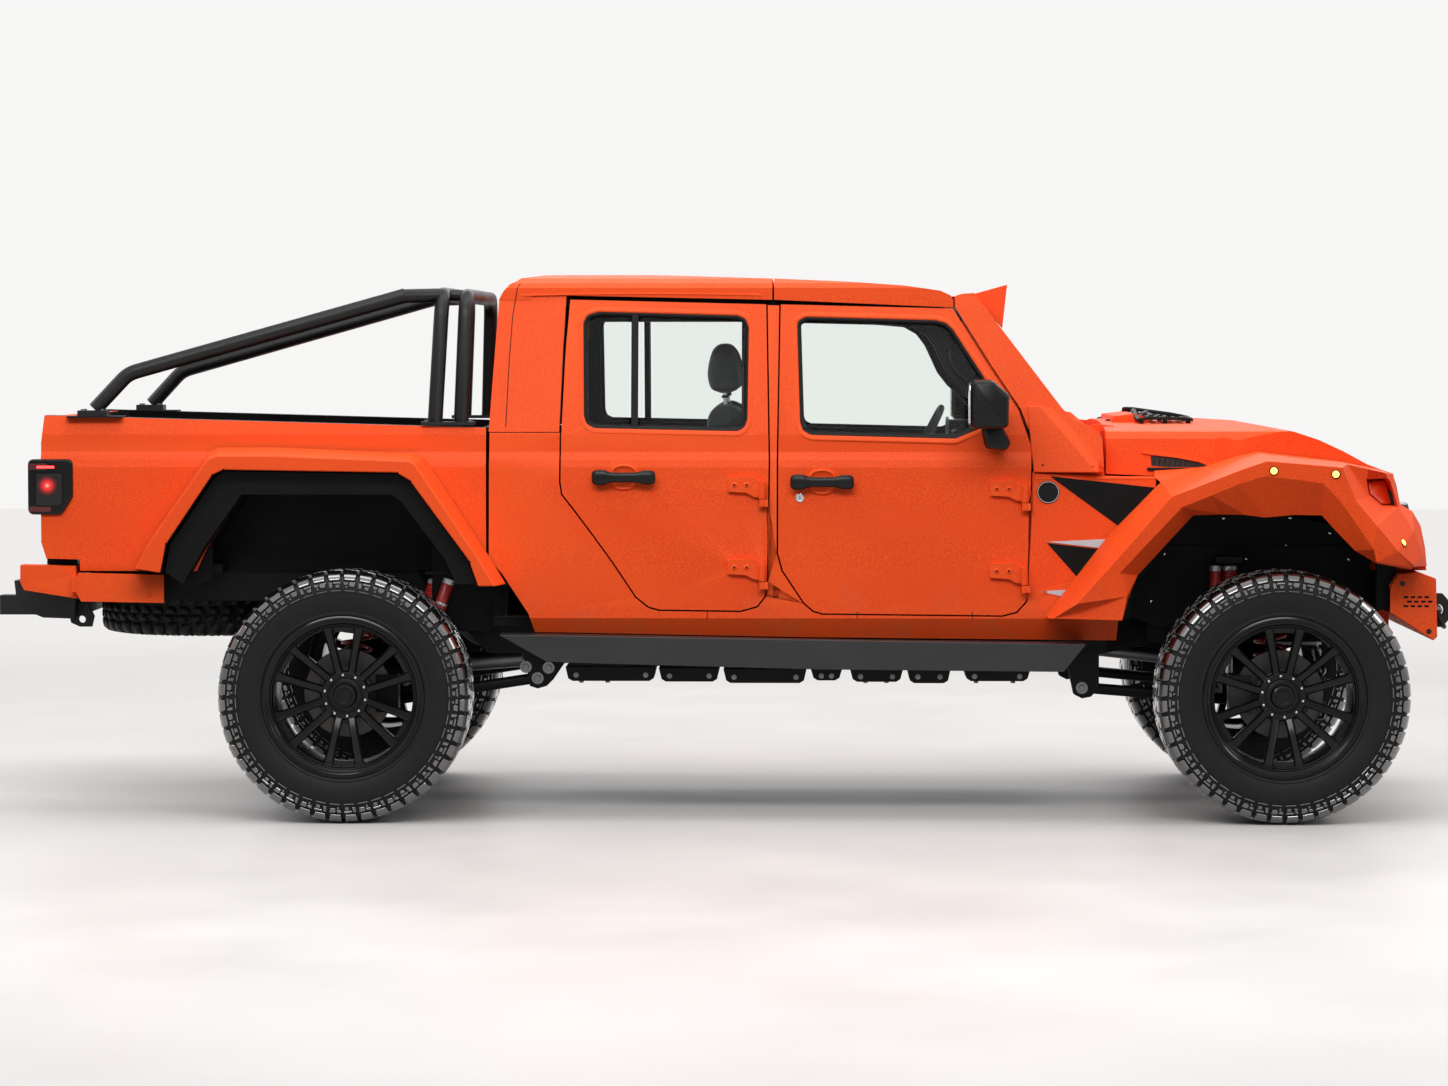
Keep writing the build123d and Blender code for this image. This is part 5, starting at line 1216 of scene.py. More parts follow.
for pos in ("front", "rear"):
    hx, hz = HANDLES[pos]
    for side, s in (("right", -1), ("left", 1)):
        body = f"door_{pos}_{side}_swing"
        from_cad(f"door_{pos}_{side}", [M_PAINT, M_HANDLE, M_SEAL, M_TRIM], "body_paint", bevel=4, angle=7, seg=3, levels=LEVELS, shape=door_shape(pos),
                 drop=door_drop(pos), pick=door_pick(pos), fill=True)
        trim = Mb()
        handle(trim, hx, hz)
        for poly in ([FRONT_WINDOW] if pos == "front" else [REAR_WINDOW]):
            poly = rounded(poly, 30, 4)
            ring(trim, poly, [(2.0, 1.0), (0.5, -1.5), (-5, -1.5), (-11, 3), (-14, 12), (-14, 27), (1.0, 27)], 2)
        if pos == "front":
            big = rounded(FRONT_WINDOW, 34, 4)
            ring(trim, big, [(22, 1.0), (18, -2.0), (6, -2.6), (2.2, -0.4), (2.2, 2.0)], 0)
        else:
            whole = rounded([(-502, 1859), (-489, 1886), (-446, 1899), (77, 1885), (105, 1872), (117, 1842), (112, 1499), (101, 1468), (77, 1455), (-459, 1466),
                             (-489, 1481), (-498, 1512)], 34, 4)
            ring(trim, whole, [(22, 1.0), (18, -2.0), (6, -2.6), (2.2, -0.4), (2.2, 2.0)], 0)
            loops = []
            for z in (1464, 1560, 1680, 1790, 1896):
                loops.append([(-323, -(skin(z) - 28), z), (-323, -(skin(z) - 1.5), z), (-320, -(skin(z) + 0.6), z), (-300, -(skin(z) + 0.6), z), (-297, -(skin(z) - 1.5), z),
                              (-297, -(skin(z) - 28), z)])
            trim.loft(loops, 2)
        # door card: armrest, pull, lever, loudspeaker
        ax, bx_, zc = (380, 850, 1106) if pos == "front" else (-430, -90, 1116)
        q = hit([f"door_{pos}_right"], ((ax + bx_) / 2, -300, zc), (0, -1, 0))
        yi = q[1] if q is not None else -760
        rest = rounded([(ax, zc - 26), (ax - 14, zc + 6), (ax + 16, zc + 26), (bx_ - 30, zc + 26), (bx_ + 14, zc + 10), (bx_, zc - 20)], 14, 4)
        trim.loft([[(x, yi + t, z) for x, z in (inset(rest, d) if d else rest)] for t, d in ((-2, 0), (36, 0), (44, 3), (48, 10))], 1)
        trim.tube(smooth_path([(bx_ - 60, yi, zc + 40), (bx_ - 56, yi + 34, zc + 60), (bx_ - 40, yi + 34, zc + 150), (bx_ - 36, yi, zc + 172)], 22), 9, 12, 2)
        lev = rounded([(bx_ - 20, zc + 196), (bx_ - 20, zc + 168), (bx_ + 56, zc + 168), (bx_ + 56, zc + 196)], 10, 3)
        trim.loft([[(x, yi + t, z) for x, z in lev] for t in (-1, 9)], 1)
        trim.lathe([(0, 5), (58, 5), (62, 9), (70, 9), (74, 0), (74, -2)], ((bx_ - 90), yi, zc - 190), (0, 1, 0), 40, 2, closed=False)
        x_pin = 1150.0 if pos == "front" else 169.0
        for zh in ((1236.0, 928.0) if pos == "front" else (1250.0, 941.0)):
            for bx in (x_pin - 104, x_pin - 58):
                q = hit([f"door_{pos}_right"], (bx, -1400, zh + 3), (0, 1, 0))
                if q is None:
                    continue
                trim.dome((bx, q[1] - 0.2, zh + 3), (0, -1, 0), 11, 3.2, 0, seg=20)
                trim.rod((bx, q[1] - 2.9, zh + 3), (bx, q[1] - 3.6, zh + 3), 4.6, 6, 2)
        if pos == "front":
            y0 = skin(1204)
            trim.lathe([(0, 0), (17, 0), (17, 2.5), (15, 4.5), (11, 4.8), (10.5, 3.4), (0, 3.4)], (310, -y0 + 0.5, 1204), (0, -1, 0), 32, 3, closed=False)
            trim.obox((310, -y0 - 3.2, 1204), (1.2, 0, 0), (0, 0.6, 0), (0, 0, 6.5), 2)
            sec = lambda poly_, y, d: [(x, y, z) for x, z in (inset(poly_, d) if d else poly_)]
            trim.loft([sec(MIRROR, y, d) for y, d in ((-885, 17), (-887.5, 9), (-893, 3.5), (-902, 0.6), (-916, 0), (-1040, 0), (-1062, 1.2), (-1074, 4.5), (-1081, 9.5), (-1084.6, 17))], 1)
            trim.loft([sec(STEM, y, d) for y, d in ((-skin(1430) + 4, -2), (-skin(1430) - 3, -2), (-skin(1430) - 8, 3), (-840, 5), (-880, 3), (-915, 0), (-927, 5), (-930, 12))], 1)
            # mirror glass with its frame, facing the rear
            mg = rounded([(912, 1480), (1062, 1480), (1066, 1500), (1066, 1610), (1050, 1636), (918, 1636), (902, 1610), (902, 1500)], 12, 3)
            trim.loft([[(939.5, -y, z) for y, z in mg], [(936.5, -y, z) for y, z in mg]], 1)
            trim.loft([[(936.8, -y, z) for y, z in inset(mg, 6)], [(934.8, -y, z) for y, z in inset(mg, 7)]], 4)
        put(trim if s < 0 else trim.mirrored(), f"door_{pos}_{side}_trim", body, [M_PAINT, M_HANDLE, M_SEAL, M_BRIGHT, M_REFLECT], "trim", sharp=34)

# ------------------------------------------------------------------ cowl armour, fender side inlays, hood vents
det = Mb()
A, Bq, C, D, E, F, G = (1160, 1548), (1207, 1548), (1325, 1524), (1442, 1424), (1450, 1300), (1419, 1300), (1184, 1300)
ys = {"A": 782, "B": 786, "C": 742, "D": 716, "E": 716, "F": 838, "G": 808}
outer = [(A, ys["A"]), (Bq, ys["B"]), (C, ys["C"]), (D, ys["D"]), (E, ys["E"] + 44), (F, ys["F"]), (G, ys["G"])]
vo = [(p[0], -y, p[1]) for p, y in outer]
vi = [(p[0], -(y - 34), p[1]) for p, y in outer]
n = len(vo)
faces = [[0, 1, 5, 6], [1, 2, 5], [2, 3, 5], [3, 4, 5]] + [[i + n for i in reversed(f)] for f in ([0, 1, 5, 6], [1, 2, 5], [2, 3, 5], [3, 4, 5])]
faces += [[i, i + n, (i + 1) % n + n, (i + 1) % n] for i in range(n)]
det.add(vo + vi, faces, 0)
put(det.both(), "cowl_armour", "body", M_PAINT, "body_paint", bevel=4, seg=3, angle=4, sharp=20)

det = Mb()
BS = ["body_sides"]
laid(det, [(1244, 1286), (1655, 1241), (1517, 1088)], BS, proud=2.2, thick=5, mi=0, fallback=-798)
laid(det, [(1235, 1035), (1470, 1009), (1364, 890)], BS, proud=2.2, thick=5, mi=0, fallback=-795)
laid(det, [(1235, 1040), (1500, 1053), (1472, 1013)], BS, proud=2.8, thick=5, mi=1, fallback=-795)
laid(det, [(1203, 855), (1342, 862), (1323, 829)], BS, proud=2.8, thick=5, mi=1, fallback=-792)
y0 = skin(1226)
det.lathe([(0, 0), (42, 0), (42, 3.0), (40.5, 4.4), (37.5, 4.4), (37, 3.2), (0, 3.2)], (1238, -y0 + 0.5, 1226), (0, -1, 0), 48, 2, closed=False)
det.lathe([(37.2, 4.2), (37.8, 5.2), (39.8, 5.2), (40.4, 4.2)], (1238, -y0 + 0.5, 1226), (0, -1, 0), 48, 3, closed=False)
for x, z, y in ((1217, 1327, 806), (1400, 1322, 828)):
    det.dome((x, -y, z), (0, -1, 0), 10, 4, 4, seg=18)
    det.rod((x, -y - 3.4, z), (x, -y - 4.2, z), 4.2, 6, 0)
put(det.both(), "side_inlays", "body", [M_LINER, M_SILVER, M_BADGE, M_BRIGHT, M_PAINT], "trim", sharp=30)

# rocker joint lines and rivets
det = Mb()
for x in (-37, 525, 956):
    det.box(x - 1.6, x + 1.6, -(skin(760) + 0.6), -(skin(760) - 6), 750, 777, 0)
for x, z in ((1786, 1140), (2166, 1149), (1925, 1116), (2178, 1118), (1750, 1095), (1719, 1042), (2164, 1011), (2060, 1150), (2330, 1060), (2380, 990),
             (1640, 960), (1600, 900)):
    q = hit(["wheel_liners"], (x, -1400, z), (0, 1, 0))
    if q is not None:
        det.dome((x, q[1] - 0.2, z), (0, -1, 0), 6.5, 3, 1, seg=12)
for x, z in ((-1546, 1102), (-1312, 1098), (-1190, 1146), (-1130, 1076), (-1112, 978), (-1546, 1132), (-1700, 1110), (-1880, 1040), (-1950, 950)):
    q = hit(["wheel_liners"], (x, -1400, z), (0, 1, 0))
    if q is not None:
        det.dome((x, q[1] - 0.2, z), (0, -1, 0), 5.5, 3, 1, seg=12)
put(det.both(), "rivets", "body", [M_SEAL, M_BRIGHT], "trim", sharp=30)

# hood: side vents and raised black louvres
hood = Mb()
HN = ["hood"]
laid(hood, [(1627, 1361), (1728, 1352), (1803, 1336), (1850, 1318), (1690, 1318), (1630, 1323)], HN, proud=1.2, thick=4, mi=1, fallback=-700)
lip = [(1596, 1377), (1728, 1360), (1810, 1345), (1872, 1318)]
laid(hood, [(x, z + 7) for x, z in lip] + [(x, z - 8) for x, z in reversed(lip)], HN, proud=9, thick=12, step=30, mi=0, fallback=-700)
laid(hood, [(1614, 1315), (1862, 1315), (1790, 1290), (1721, 1296), (1614, 1304)], ["hood", "front_fenders", "body_sides"], proud=5, thick=9, step=30, mi=2, fallback=-706)
for k in range(10):
    x = 1640 + k * 20
    zt = float(np.interp(x, [1627, 1728, 1803, 1850], [1361, 1352, 1336, 1318])) - 4
    if zt - 1322 > 6:
        q = hit(HN, (x, -1400, 1335), (0, 1, 0))
        if q is not None:
            hood.obox((x, q[1] - 1.6, (zt + 1322) / 2), (1.2, 0, 0), (0, 1.2, 0), (3, 0, (zt - 1322) / 2), 2)
hb = hood.both()
for s in (-1, 1):
    z_of = lambda x, y: (hit(HN, (x, y, 2400), (0, 0, -1)) or Vector((0, 0, 1485)))[2]
    loop = rounded([(1596, 200), (1800, 218), (1808, 400), (1604, 430)], 28, 5)
    top = [(x, s * y, z_of(x, s * y) + float(np.interp(x, [1596, 1640, 1760, 1808], [10, 22, 22, 12]))) for x, y in loop]
    hb.strip(top, [(-9, -5), (9, -5), (9, 4), (6, 7), (-6, 7), (-9, 4)], (0, 0, 1), 2, closed=True, cap=False)
    for x, y in ((1610, 215), (1790, 230), (1795, 392), (1614, 418), (1700, 212), (1705, 412)):
        z0 = z_of(x, s * y)
        hb.rod((x, s * y, z0 - 3), (x, s * y, z0 + 14), 9, 12, 2)
    for k in range(5):
        x = 1632 + 34 * k
        z0 = z_of(x, s * 300) + 14
        hb.obox((x, s * 314, z0), (13, 0, 5), (0, 92, 0), (-1.0, 0, 2.2), 2)
for s in (-1, 1):                                    # washer jets
    hb.dome((1500, s * 240, (hit(HN, (1500, s * 240, 2400), (0, 0, -1)) or Vector((0, 0, 1480)))[2]), (0, 0, 1), 12, 8, 2)
put(hb, "hood_details", "hood", [M_PAINT, M_MESH, M_TRIM], "trim", sharp=32)
HOOD_CUTS = (652, 664, 675, 685, 693.5, 700.5, 706, 710)


def hood_round(x, y, z):
    """Long top corner of the hood rounded."""
    a = abs(y)
    if a > 651 and 1440 < x < 2640:
        top = hit(["hood"], (x, math.copysign(640, y), 2400), (0, 0, -1))
        low = float(np.interp(x, [1440, 2000, 2500, 2640], [58, 58, 30, 12]))
        if top is not None and z > top[2] - 26:
            t = min(1.0, (a - 652) / 60)
            z -= low * (1 - math.sqrt(max(0.0, 1 - t * t)))
    return x, y, z


from_cad("hood", [M_PAINT, M_TRIM], "body_paint", bevel=6, angle=16, seg=3, ycuts=tuple(s * c for c in HOOD_CUTS for s in (-1, 1)), shape=hood_round)


# ------------------------------------------------------------------ front fenders: faceted flares and nose corners
FI = [(1232, 803, 764), (1296, 803, 845), (1468, 803, 1068), (1658, 803, 1262), (1830, 718, 1318), (1945, 708, 1356), (2028, 696, 1374), (2180, 676, 1356),
      (2345, 654, 1336), (2430, 634, 1318), (2505, 616, 1302)]
FA = [(1240, 846, 757), (1308, 850, 833), (1481, 850, 1057), (1670, 850, 1250), (1840, 850, 1308), (1951, 850, 1345), (2030, 850, 1367), (2180, 850, 1350),
      (2345, 850, 1330), (2430, 815, 1312), (2499, 780, 1296)]
FB = [(1252, 940, 762), (1336, 1000, 820), (1500, 1003, 1003), (1683, 1003, 1215), (1810, 1003, 1264), (1936, 1003, 1313), (2032, 1003, 1346), (2170, 1003, 1335),
      (2310, 1003, 1323), (2361, 1000, 1199), (2440, 985, 1108), (2525, 930, 1012), (2593, 862, 957)]
FC = [(1502, 985, 759), (1517, 990, 846), (1491, 996, 934), (1720, 1000, 1178), (1828, 1000, 1222), (1936, 1000, 1266), (2029, 1000, 1293), (2140, 1000, 1280),
      (2242, 1000, 1266), (2310, 998, 1193), (2429, 988, 1023), (2442, 975, 975), (2593, 852, 950)]
FL = [(1508, 905, 757), (1530, 912, 842), (1562, 918, 922), (1767, 922, 1146), (1873, 922, 1150), (1960, 922, 1148), (2034, 918, 1138), (2146, 920, 1148),
      (2246, 922, 1146), (2295, 925, 1092), (2370, 925, 1015), (2450, 915, 968), (2588, 845, 942)]
R0, R1, R2, R3, R4, R5, R6 = ((2424, 786, 1276), (2508, 752, 1280), (2521, 742, 1267), (2541, 722, 1211), (2552, 735, 1167), (2490, 792, 1169), (2432, 806, 1217))
S1, S2 = (2606, 770, 1078), (2645, 720, 990)
T1, T2, T3, T4, T5, T6, T7 = ((2547, 612, 1285), (2560, 612, 1245), (2574, 612, 1174), (2621, 612, 1147), (2652, 612, 1093), (2669, 612, 1011), (2676, 612, 942))
fv, ff = [], []


def facet(*pts):
    b = len(fv)
    fv.extend([(x, -y, z) for x, y, z in pts])
    ff.append(list(range(b, b + len(pts))))


for i in range(10):
    facet(FI[i], FI[i + 1], FA[i + 1], FA[i])
for i in range(8):
    facet(FA[i], FA[i + 1], FB[i + 1], FB[i])
for P, Q in ((FB, FC), (FC, FL)):
    for i in range(12):
        a, b, c, d = P[i], P[i + 1], Q[i + 1], Q[i]
        facet(a, b, c)
        facet(a, c, d)
facet(FB[0], FC[0], FL[0], FA[0])
facet(FA[0], FL[0], FI[0])
facet(FA[8], FA[9], R0, R6)
facet(FA[8], R6, FB[9])
facet(FB[8], FA[8], FB[9])
facet(FB[9], R6, R5, FB[10])
facet(FB[10], R5, R4)
facet(FB[10], R4, S1, FB[11])
facet(FB[11], S1, S2, FB[12])
facet(FA[9], FA[10], R1, R0)
facet(FA[10], T1, R2, R1)
facet(FI[10], T1, FA[10])
facet(T1, T2, R3, R2)
facet(R3, T2, T3, R4)
facet(R4, T3, T4, S1)
facet(S1, T4, T5, S2)
facet(S2, T5, T6, T7)
facet(S2, T7, FB[12])
facet(FB[12], T7, FC[12])
facet((1636, 800, 1282), (1658, 803, 1262), (1830, 718, 1318), (1640, 716, 1302))
# flange down inside the hood line
for i in range(3, 10):
    a, b = FI[i], FI[i + 1]
    facet(a, b, (b[0], b[1] - 2, b[2] - 60), (a[0], a[1] - 2, a[2] - 60))
# return of the lip towards the liner
for i in range(12):
    a, b = FL[i], FL[i + 1]
    facet(a, b, (b[0], b[1] - 34, b[2] + 8), (a[0], a[1] - 34, a[2] + 8))
# lamp pocket
RR = [R0, R1, R2, R3, R4, R5, R6]
RI = [(x - 14, y - 74, z - (6 if z > 1240 else -8)) for x, y, z in RR]
for i in range(7):
    facet(RR[i], RR[(i + 1) % 7], RI[(i + 1) % 7], RI[i])
facet(*RI)

flare = Mb().add(fv, ff, 0)
TREES["flare"] = BVHTree.FromPolygons([Vector(v) * MM for v in flare.v], flare.f)


def flare_hit(x, z):
    loc, n, i, dist = TREES["flare"].ray_cast(Vector((x, -1400, z)) * MM, Vector((0, 1, 0)))
    return None if loc is None else (loc * 1000, n)


def solid_sheet(mb, name, body, mats, thick, bevel, sharp=9, replaces=(), seg=3, weld=0.4):
    """Faceted sheet given a thickness; its creases softly rounded."""
    me = bpy.data.meshes.new(name)
    me.from_pydata([(x * MM, y * MM, z * MM) for x, y, z in mb.v], [], mb.f)
    bm = bmesh.new()
    bm.from_mesh(me)
    for f, m in zip(bm.faces, mb.m):
        f.material_index = m
    bmesh.ops.remove_doubles(bm, verts=bm.verts, dist=weld * MM)
    bmesh.ops.recalc_face_normals(bm, faces=bm.faces)
    bm.to_mesh(me)
    bm.free()
    me.shade_smooth()
    me.set_sharp_from_angle(angle=math.radians(sharp))
    o = bpy.data.objects.new(name, me)
    SCENE.collection.objects.link(o)
    for m in (mats if isinstance(mats, (list, tuple)) else [mats]):
        me.materials.append(m)
    s = o.modifiers.new("Sheet", "SOLIDIFY")
    s.thickness = thick * MM
    s.offset = 0.0
    s.use_even_offset = False
    if bevel:
        bevelled(o, bevel, sharp, seg)
    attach(o, body)
    if replaces:
        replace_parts(o, *replaces)
    return o


# inner wings from the flares up to the hood and round the lamps, under the faceted skin
wing = Mb()
wing.prism([(1660, 1180), (1728, 1190), (1828, 1232), (1936, 1272), (2029, 1296), (2235, 1270), (2300, 1200), (2362, 1110), (2470, 1045), (2545, 1045), (2545, 1225),
            (2440, 1240), (2345, 1262), (2025, 1290), (1660, 1246)], "y", -700, -652, 0)
solid_sheet(flare.both(), "front_flares", "body", M_PAINT, 5, 3.0, replaces=["front_fenders"])
put(wing.both(), "inner_wings", "body", M_TRIM, "trim", bevel=3)

# lamp glass in the corner pocket
lamp_side = Mb()
sc = lambda k, dy: [(2478 + (x - 2478) * k, -(y - dy), 1222 + (z - 1222) * k) for x, y, z in RR]
lamp_side.loft([sc(0.80, 62), sc(0.80, 44), sc(0.70, 36)], 0)
put(lamp_side.both(), "corner_lamps", "body", [M_AMBERLENS], "lamp_red", bevel=2.0, sharp=24)

mark = Mb()
for x, z in ((2058, 1312), (2286, 1300), (2552, 1040)):
    q = flare_hit(x, z)
    if q is None:
        continue
    p, n = q
    n = np.array(n if n.y < 0 else -n)
    p = np.array(p) + n * 2.5
    mark.lathe([(0, 0), (17, 0), (17, 2.6), (14.5, 3.6), (14, 2.6)], p, n, 28, 0, closed=False)
    mark.dome(p + n * 1.5, n, 12.5, 5, 1, seg=24)
put(mark.both(), "amber_markers", "body", [M_SEAL, M_AMBER], "lamp_clear", sharp=30)


def liner_shape(x, y, z):
    """Outer edge of the front liner drawn in behind the flare's lip."""
    if x > 1450 and abs(y) > 912:
        y = math.copysign(912, y)
    return x, y, z


from_cad("wheel_liners", M_LINER, "trim", bevel=3, levels=(300,), shape=liner_shape)
# top of the body side between the cowl and the flare
ledge = Mb()
ledge.prism([(1190, -801), (1640, -801), (1652, -716), (1455, -716), (1455, -770), (1190, -770)], "z", 1272, 1283, 0)
put(ledge.both(), "side_ledge", "body", M_PAINT, "body_paint", bevel=3)


# ------------------------------------------------------------------ springs and shocks
def helix(c, r, z0, z1, turns, wire, seg=10, per=26, flat=0.7):
    """Coil with its ends closed flat."""
    pts = []
    n = int(turns * per)
    for i in range(n + 1):
        u = i / n
        t = u * turns
        # closed ends: the first and last turn rise slowly
        rise = np.interp(t, [0, flat, turns - flat, turns], [0, 0.035, 0.965, 1.0])
        a = 2 * math.pi * t
        pts.append((c[0] + r * math.cos(a), c[1] + r * math.sin(a), z0 + wire + (z1 - z0 - 2 * wire) * rise))
    return pts


def shock(mb, a, b, r_rod, r_tube, split, fins=True):
    """Damper from a (bottom eye) to b: bright shaft, red body with ribs, silver collars. Materials: 0 red, 1 silver, 2 black, 3 shaft."""
    a, b = np.array(a, float), np.array(b, float)
    d = unit(b - a)
    L = np.linalg.norm(b - a)
    mb.rod(a, a + d * L * split, r_rod * 0.62, 20, 3)
    mb.rod(a + d * 2, a + d * 34, r_rod * 0.95, 20, 2, edge=3)
    s0 = L * split
    u, v = frame_of(d)
    mb.lathe([(0, 0), (r_tube * 0.86, 0), (r_tube * 0.98, 5), (r_tube * 0.98, 22), (r_tube * 0.9, 25), (0, 25)], a + d * (s0 - 8), d, 28, 1, closed=False)
    if fins:
        prof = [(0, 0)]
        z, top = 0.0, L - s0 - 46
        while z < top:
            prof += [(r_tube * 0.84, z), (r_tube * 0.99, z + 2.0), (r_tube * 0.99, z + 6.5), (r_tube * 0.84, z + 8.5)]
            z += 11.5
        prof += [(r_tube * 0.84, top), (0, top)]
    else:
        prof = [(0, 0), (r_tube * 0.94, 0), (r_tube * 0.97, 3), (r_tube * 0.97, L - s0 - 50), (r_tube * 0.9, L - s0 - 46), (0, L - s0 - 46)]
    mb.lathe(prof, a + d * (s0 + 17), d, 28, 0, closed=False)
    mb.lathe([(0, 0), (r_tube * 0.95, 0), (r_tube, 3), (r_tube, 16), (r_tube * 0.86, 20), (r_tube * 0.5, 24), (0, 24)], b - d * 29, d, 28, 1, closed=False)


susp = Mb()
for x, y, z0, z1, r, w, turns in ((X_FRONT, -480, 533, 888, 57, 7.6, 7.4), (X_REAR, -480, 535, 798, 53, 7.4, 6.2)):
    susp.tube(helix((x, y), r, z0, z1, turns, w), w, 10, 0)
    susp.lathe([(38, -6), (66, -6), (66, 2), (40, 6)], (x, y, z0 + 2), (0, 0, 1), 36, 2)
    susp.lathe([(38, -2), (64, -2), (64, 6), (40, 6)], (x, y, z1 - 4), (0, 0, 1), 36, 2)
    susp.rod((x, y, z0 - 4), (x, y, z0 + 90), 22, 24, 2, r2=15)
    susp.rod((x, y, z1 - 80), (x, y, z1), 18, 24, 2, r2=26)
shock(susp, (1945, -500, 493), (1945, -500, 948), 20, 32, 0.42, fins=True)
susp.lathe([(0, 0), (19, 0), (21.5, 4), (21.5, 140), (19, 146), (0, 146)], (1889, -524, 774), (0, 0, 1), 28, 0, closed=False)
susp.lathe([(0, 0), (21.8, 0), (22, 2), (22, 18), (21.8, 20), (0, 20)], (1889, -524, 918), (0, 0, 1), 28, 1, closed=False)
susp.lathe([(21.6, 0), (22, 1), (22, 9), (21.6, 10)], (1889, -524, 812), (0, 0, 1), 28, 1)
susp.tube(smooth_path([(1889, -524, 936), (1889, -524, 952), (1915, -512, 958), (1935, -505, 950)], 12), 6, 10, 2)
shock(susp, (-1184, -590, 498), (-1070, -571, 892), 20, 29, 0.40, fins=True)
ra, rb = np.array((-1059, -625, 762.0)), np.array((-1016, -618, 892.0))
rd = unit(rb - ra)
susp.lathe([(0, 0), (20, 0), (23, 4), (23, 108), (20, 113), (0, 113)], ra, rd, 28, 0, closed=False)
susp.lathe([(0, 0), (23.4, 0), (23.6, 2), (23.6, 18), (21, 21), (0, 21)], ra + rd * 114, rd, 28, 1, closed=False)
susp.lathe([(23.1, 0), (23.6, 1), (23.6, 9), (23.1, 10)], ra + rd * 30, rd, 28, 1)
susp.tube(smooth_path([rb, rb + rd * 14, (-1034, -596, 912), (-1062, -575, 900)], 10), 6, 10, 2)
for c in ((1945, -500, 493), (-1184, -590, 498)):
    susp.rod((c[0], c[1] - 22, c[2]), (c[0], c[1] + 22, c[2]), 19, 24, 2, edge=3)
    susp.bolt((c[0], c[1] - 22, c[2]), (0, -1, 0), 11, 9, 4)
put(susp.both(), "springs_and_shocks_v", "body", [M_RED, M_SILVER, M_FRAME, M_BRIGHT, M_STEEL], "red_spring", sharp=34, replaces=["springs_and_shocks"], weld=0)

# ------------------------------------------------------------------ chassis fittings: arm bolts, skids, brackets, lines
ch = Mb()
for x, y, z in ((1385, -512, 470), (-690, -512, 505), (-648, -512, 545), (-735, -512, 548)):
    q = hit(["frame", "control_arms"], (x, -1400, z), (0, 1, 0))
    yy = q[1] if q is not None else y
    ch.bolt((x, yy + 0.5, z), (0, -1, 0), 13, 10, 1)
    ch.rod((x, yy + 1, z), (x, yy - 1.6, z), 23, 24, 1)
for x0, x1, z0, z1 in ((-575, -232, 507, 560), (-222, 8, 505, 556), (22, 336, 500, 552), (352, 470, 510, 552), (500, 700, 505, 552), (716, 880, 500, 556), (930, 1180, 508, 552)):
    ch.prism([(x0, z1), (x0 + 10, z0 + 10), (x0 + 26, z0), (x1 - 26, z0), (x1 - 10, z0 + 10), (x1, z1)], "y", -470, -676, 0)
    for x in (x0 + 40, x1 - 40):
        ch.bolt((x, -676, (z0 + z1) / 2 - 4), (0, -1, 0), 7, 6, 1)
for x in (-520, -420, 60, 140, 560, 640, 980, 1120):
    ch.rod((x, -560, 500), (x, -560, 492), 9, 12, 1, edge=1.5)
ch.tube(smooth_path([(-560, -694, 575), (100, -694, 570), (700, -690, 572), (1240, -680, 580)], 60), 7, 10, 2)
put(ch.both(), "chassis_fittings", "body", [M_FRAME, M_STEEL, M_TRIM], "chassis", bevel=2.0, sharp=34)


# ------------------------------------------------------------------ seats
def pillow(poly, y0, y1, r=34, rim=26):
    """Closed form: side profile (x, z) rounded at its corners, drawn in towards both ends."""
    mb = Mb()
    pts = dense(rounded(poly, r, 5), 30)
    n = len(pts)
    st = [(0.0, rim), (0.10, rim * 0.62), (0.3, rim * 0.30), (0.65, rim * 0.08), (1.0, 0.0)]
    loops = []
    for t, d in st:
        loops.append((y0 + t * rim * 1.5, d))
    for k in range(1, 8):
        loops.append((y0 + rim * 1.5 + (y1 - y0 - rim * 3) * k / 8, 0.0))
    for t, d in reversed(st):
        loops.append((y1 - t * rim * 1.5, d))
    rings = [[(x, y, z) for x, z in (inset(pts, d) if d else pts)] for y, d in loops]
    return mb.loft(rings, 0)


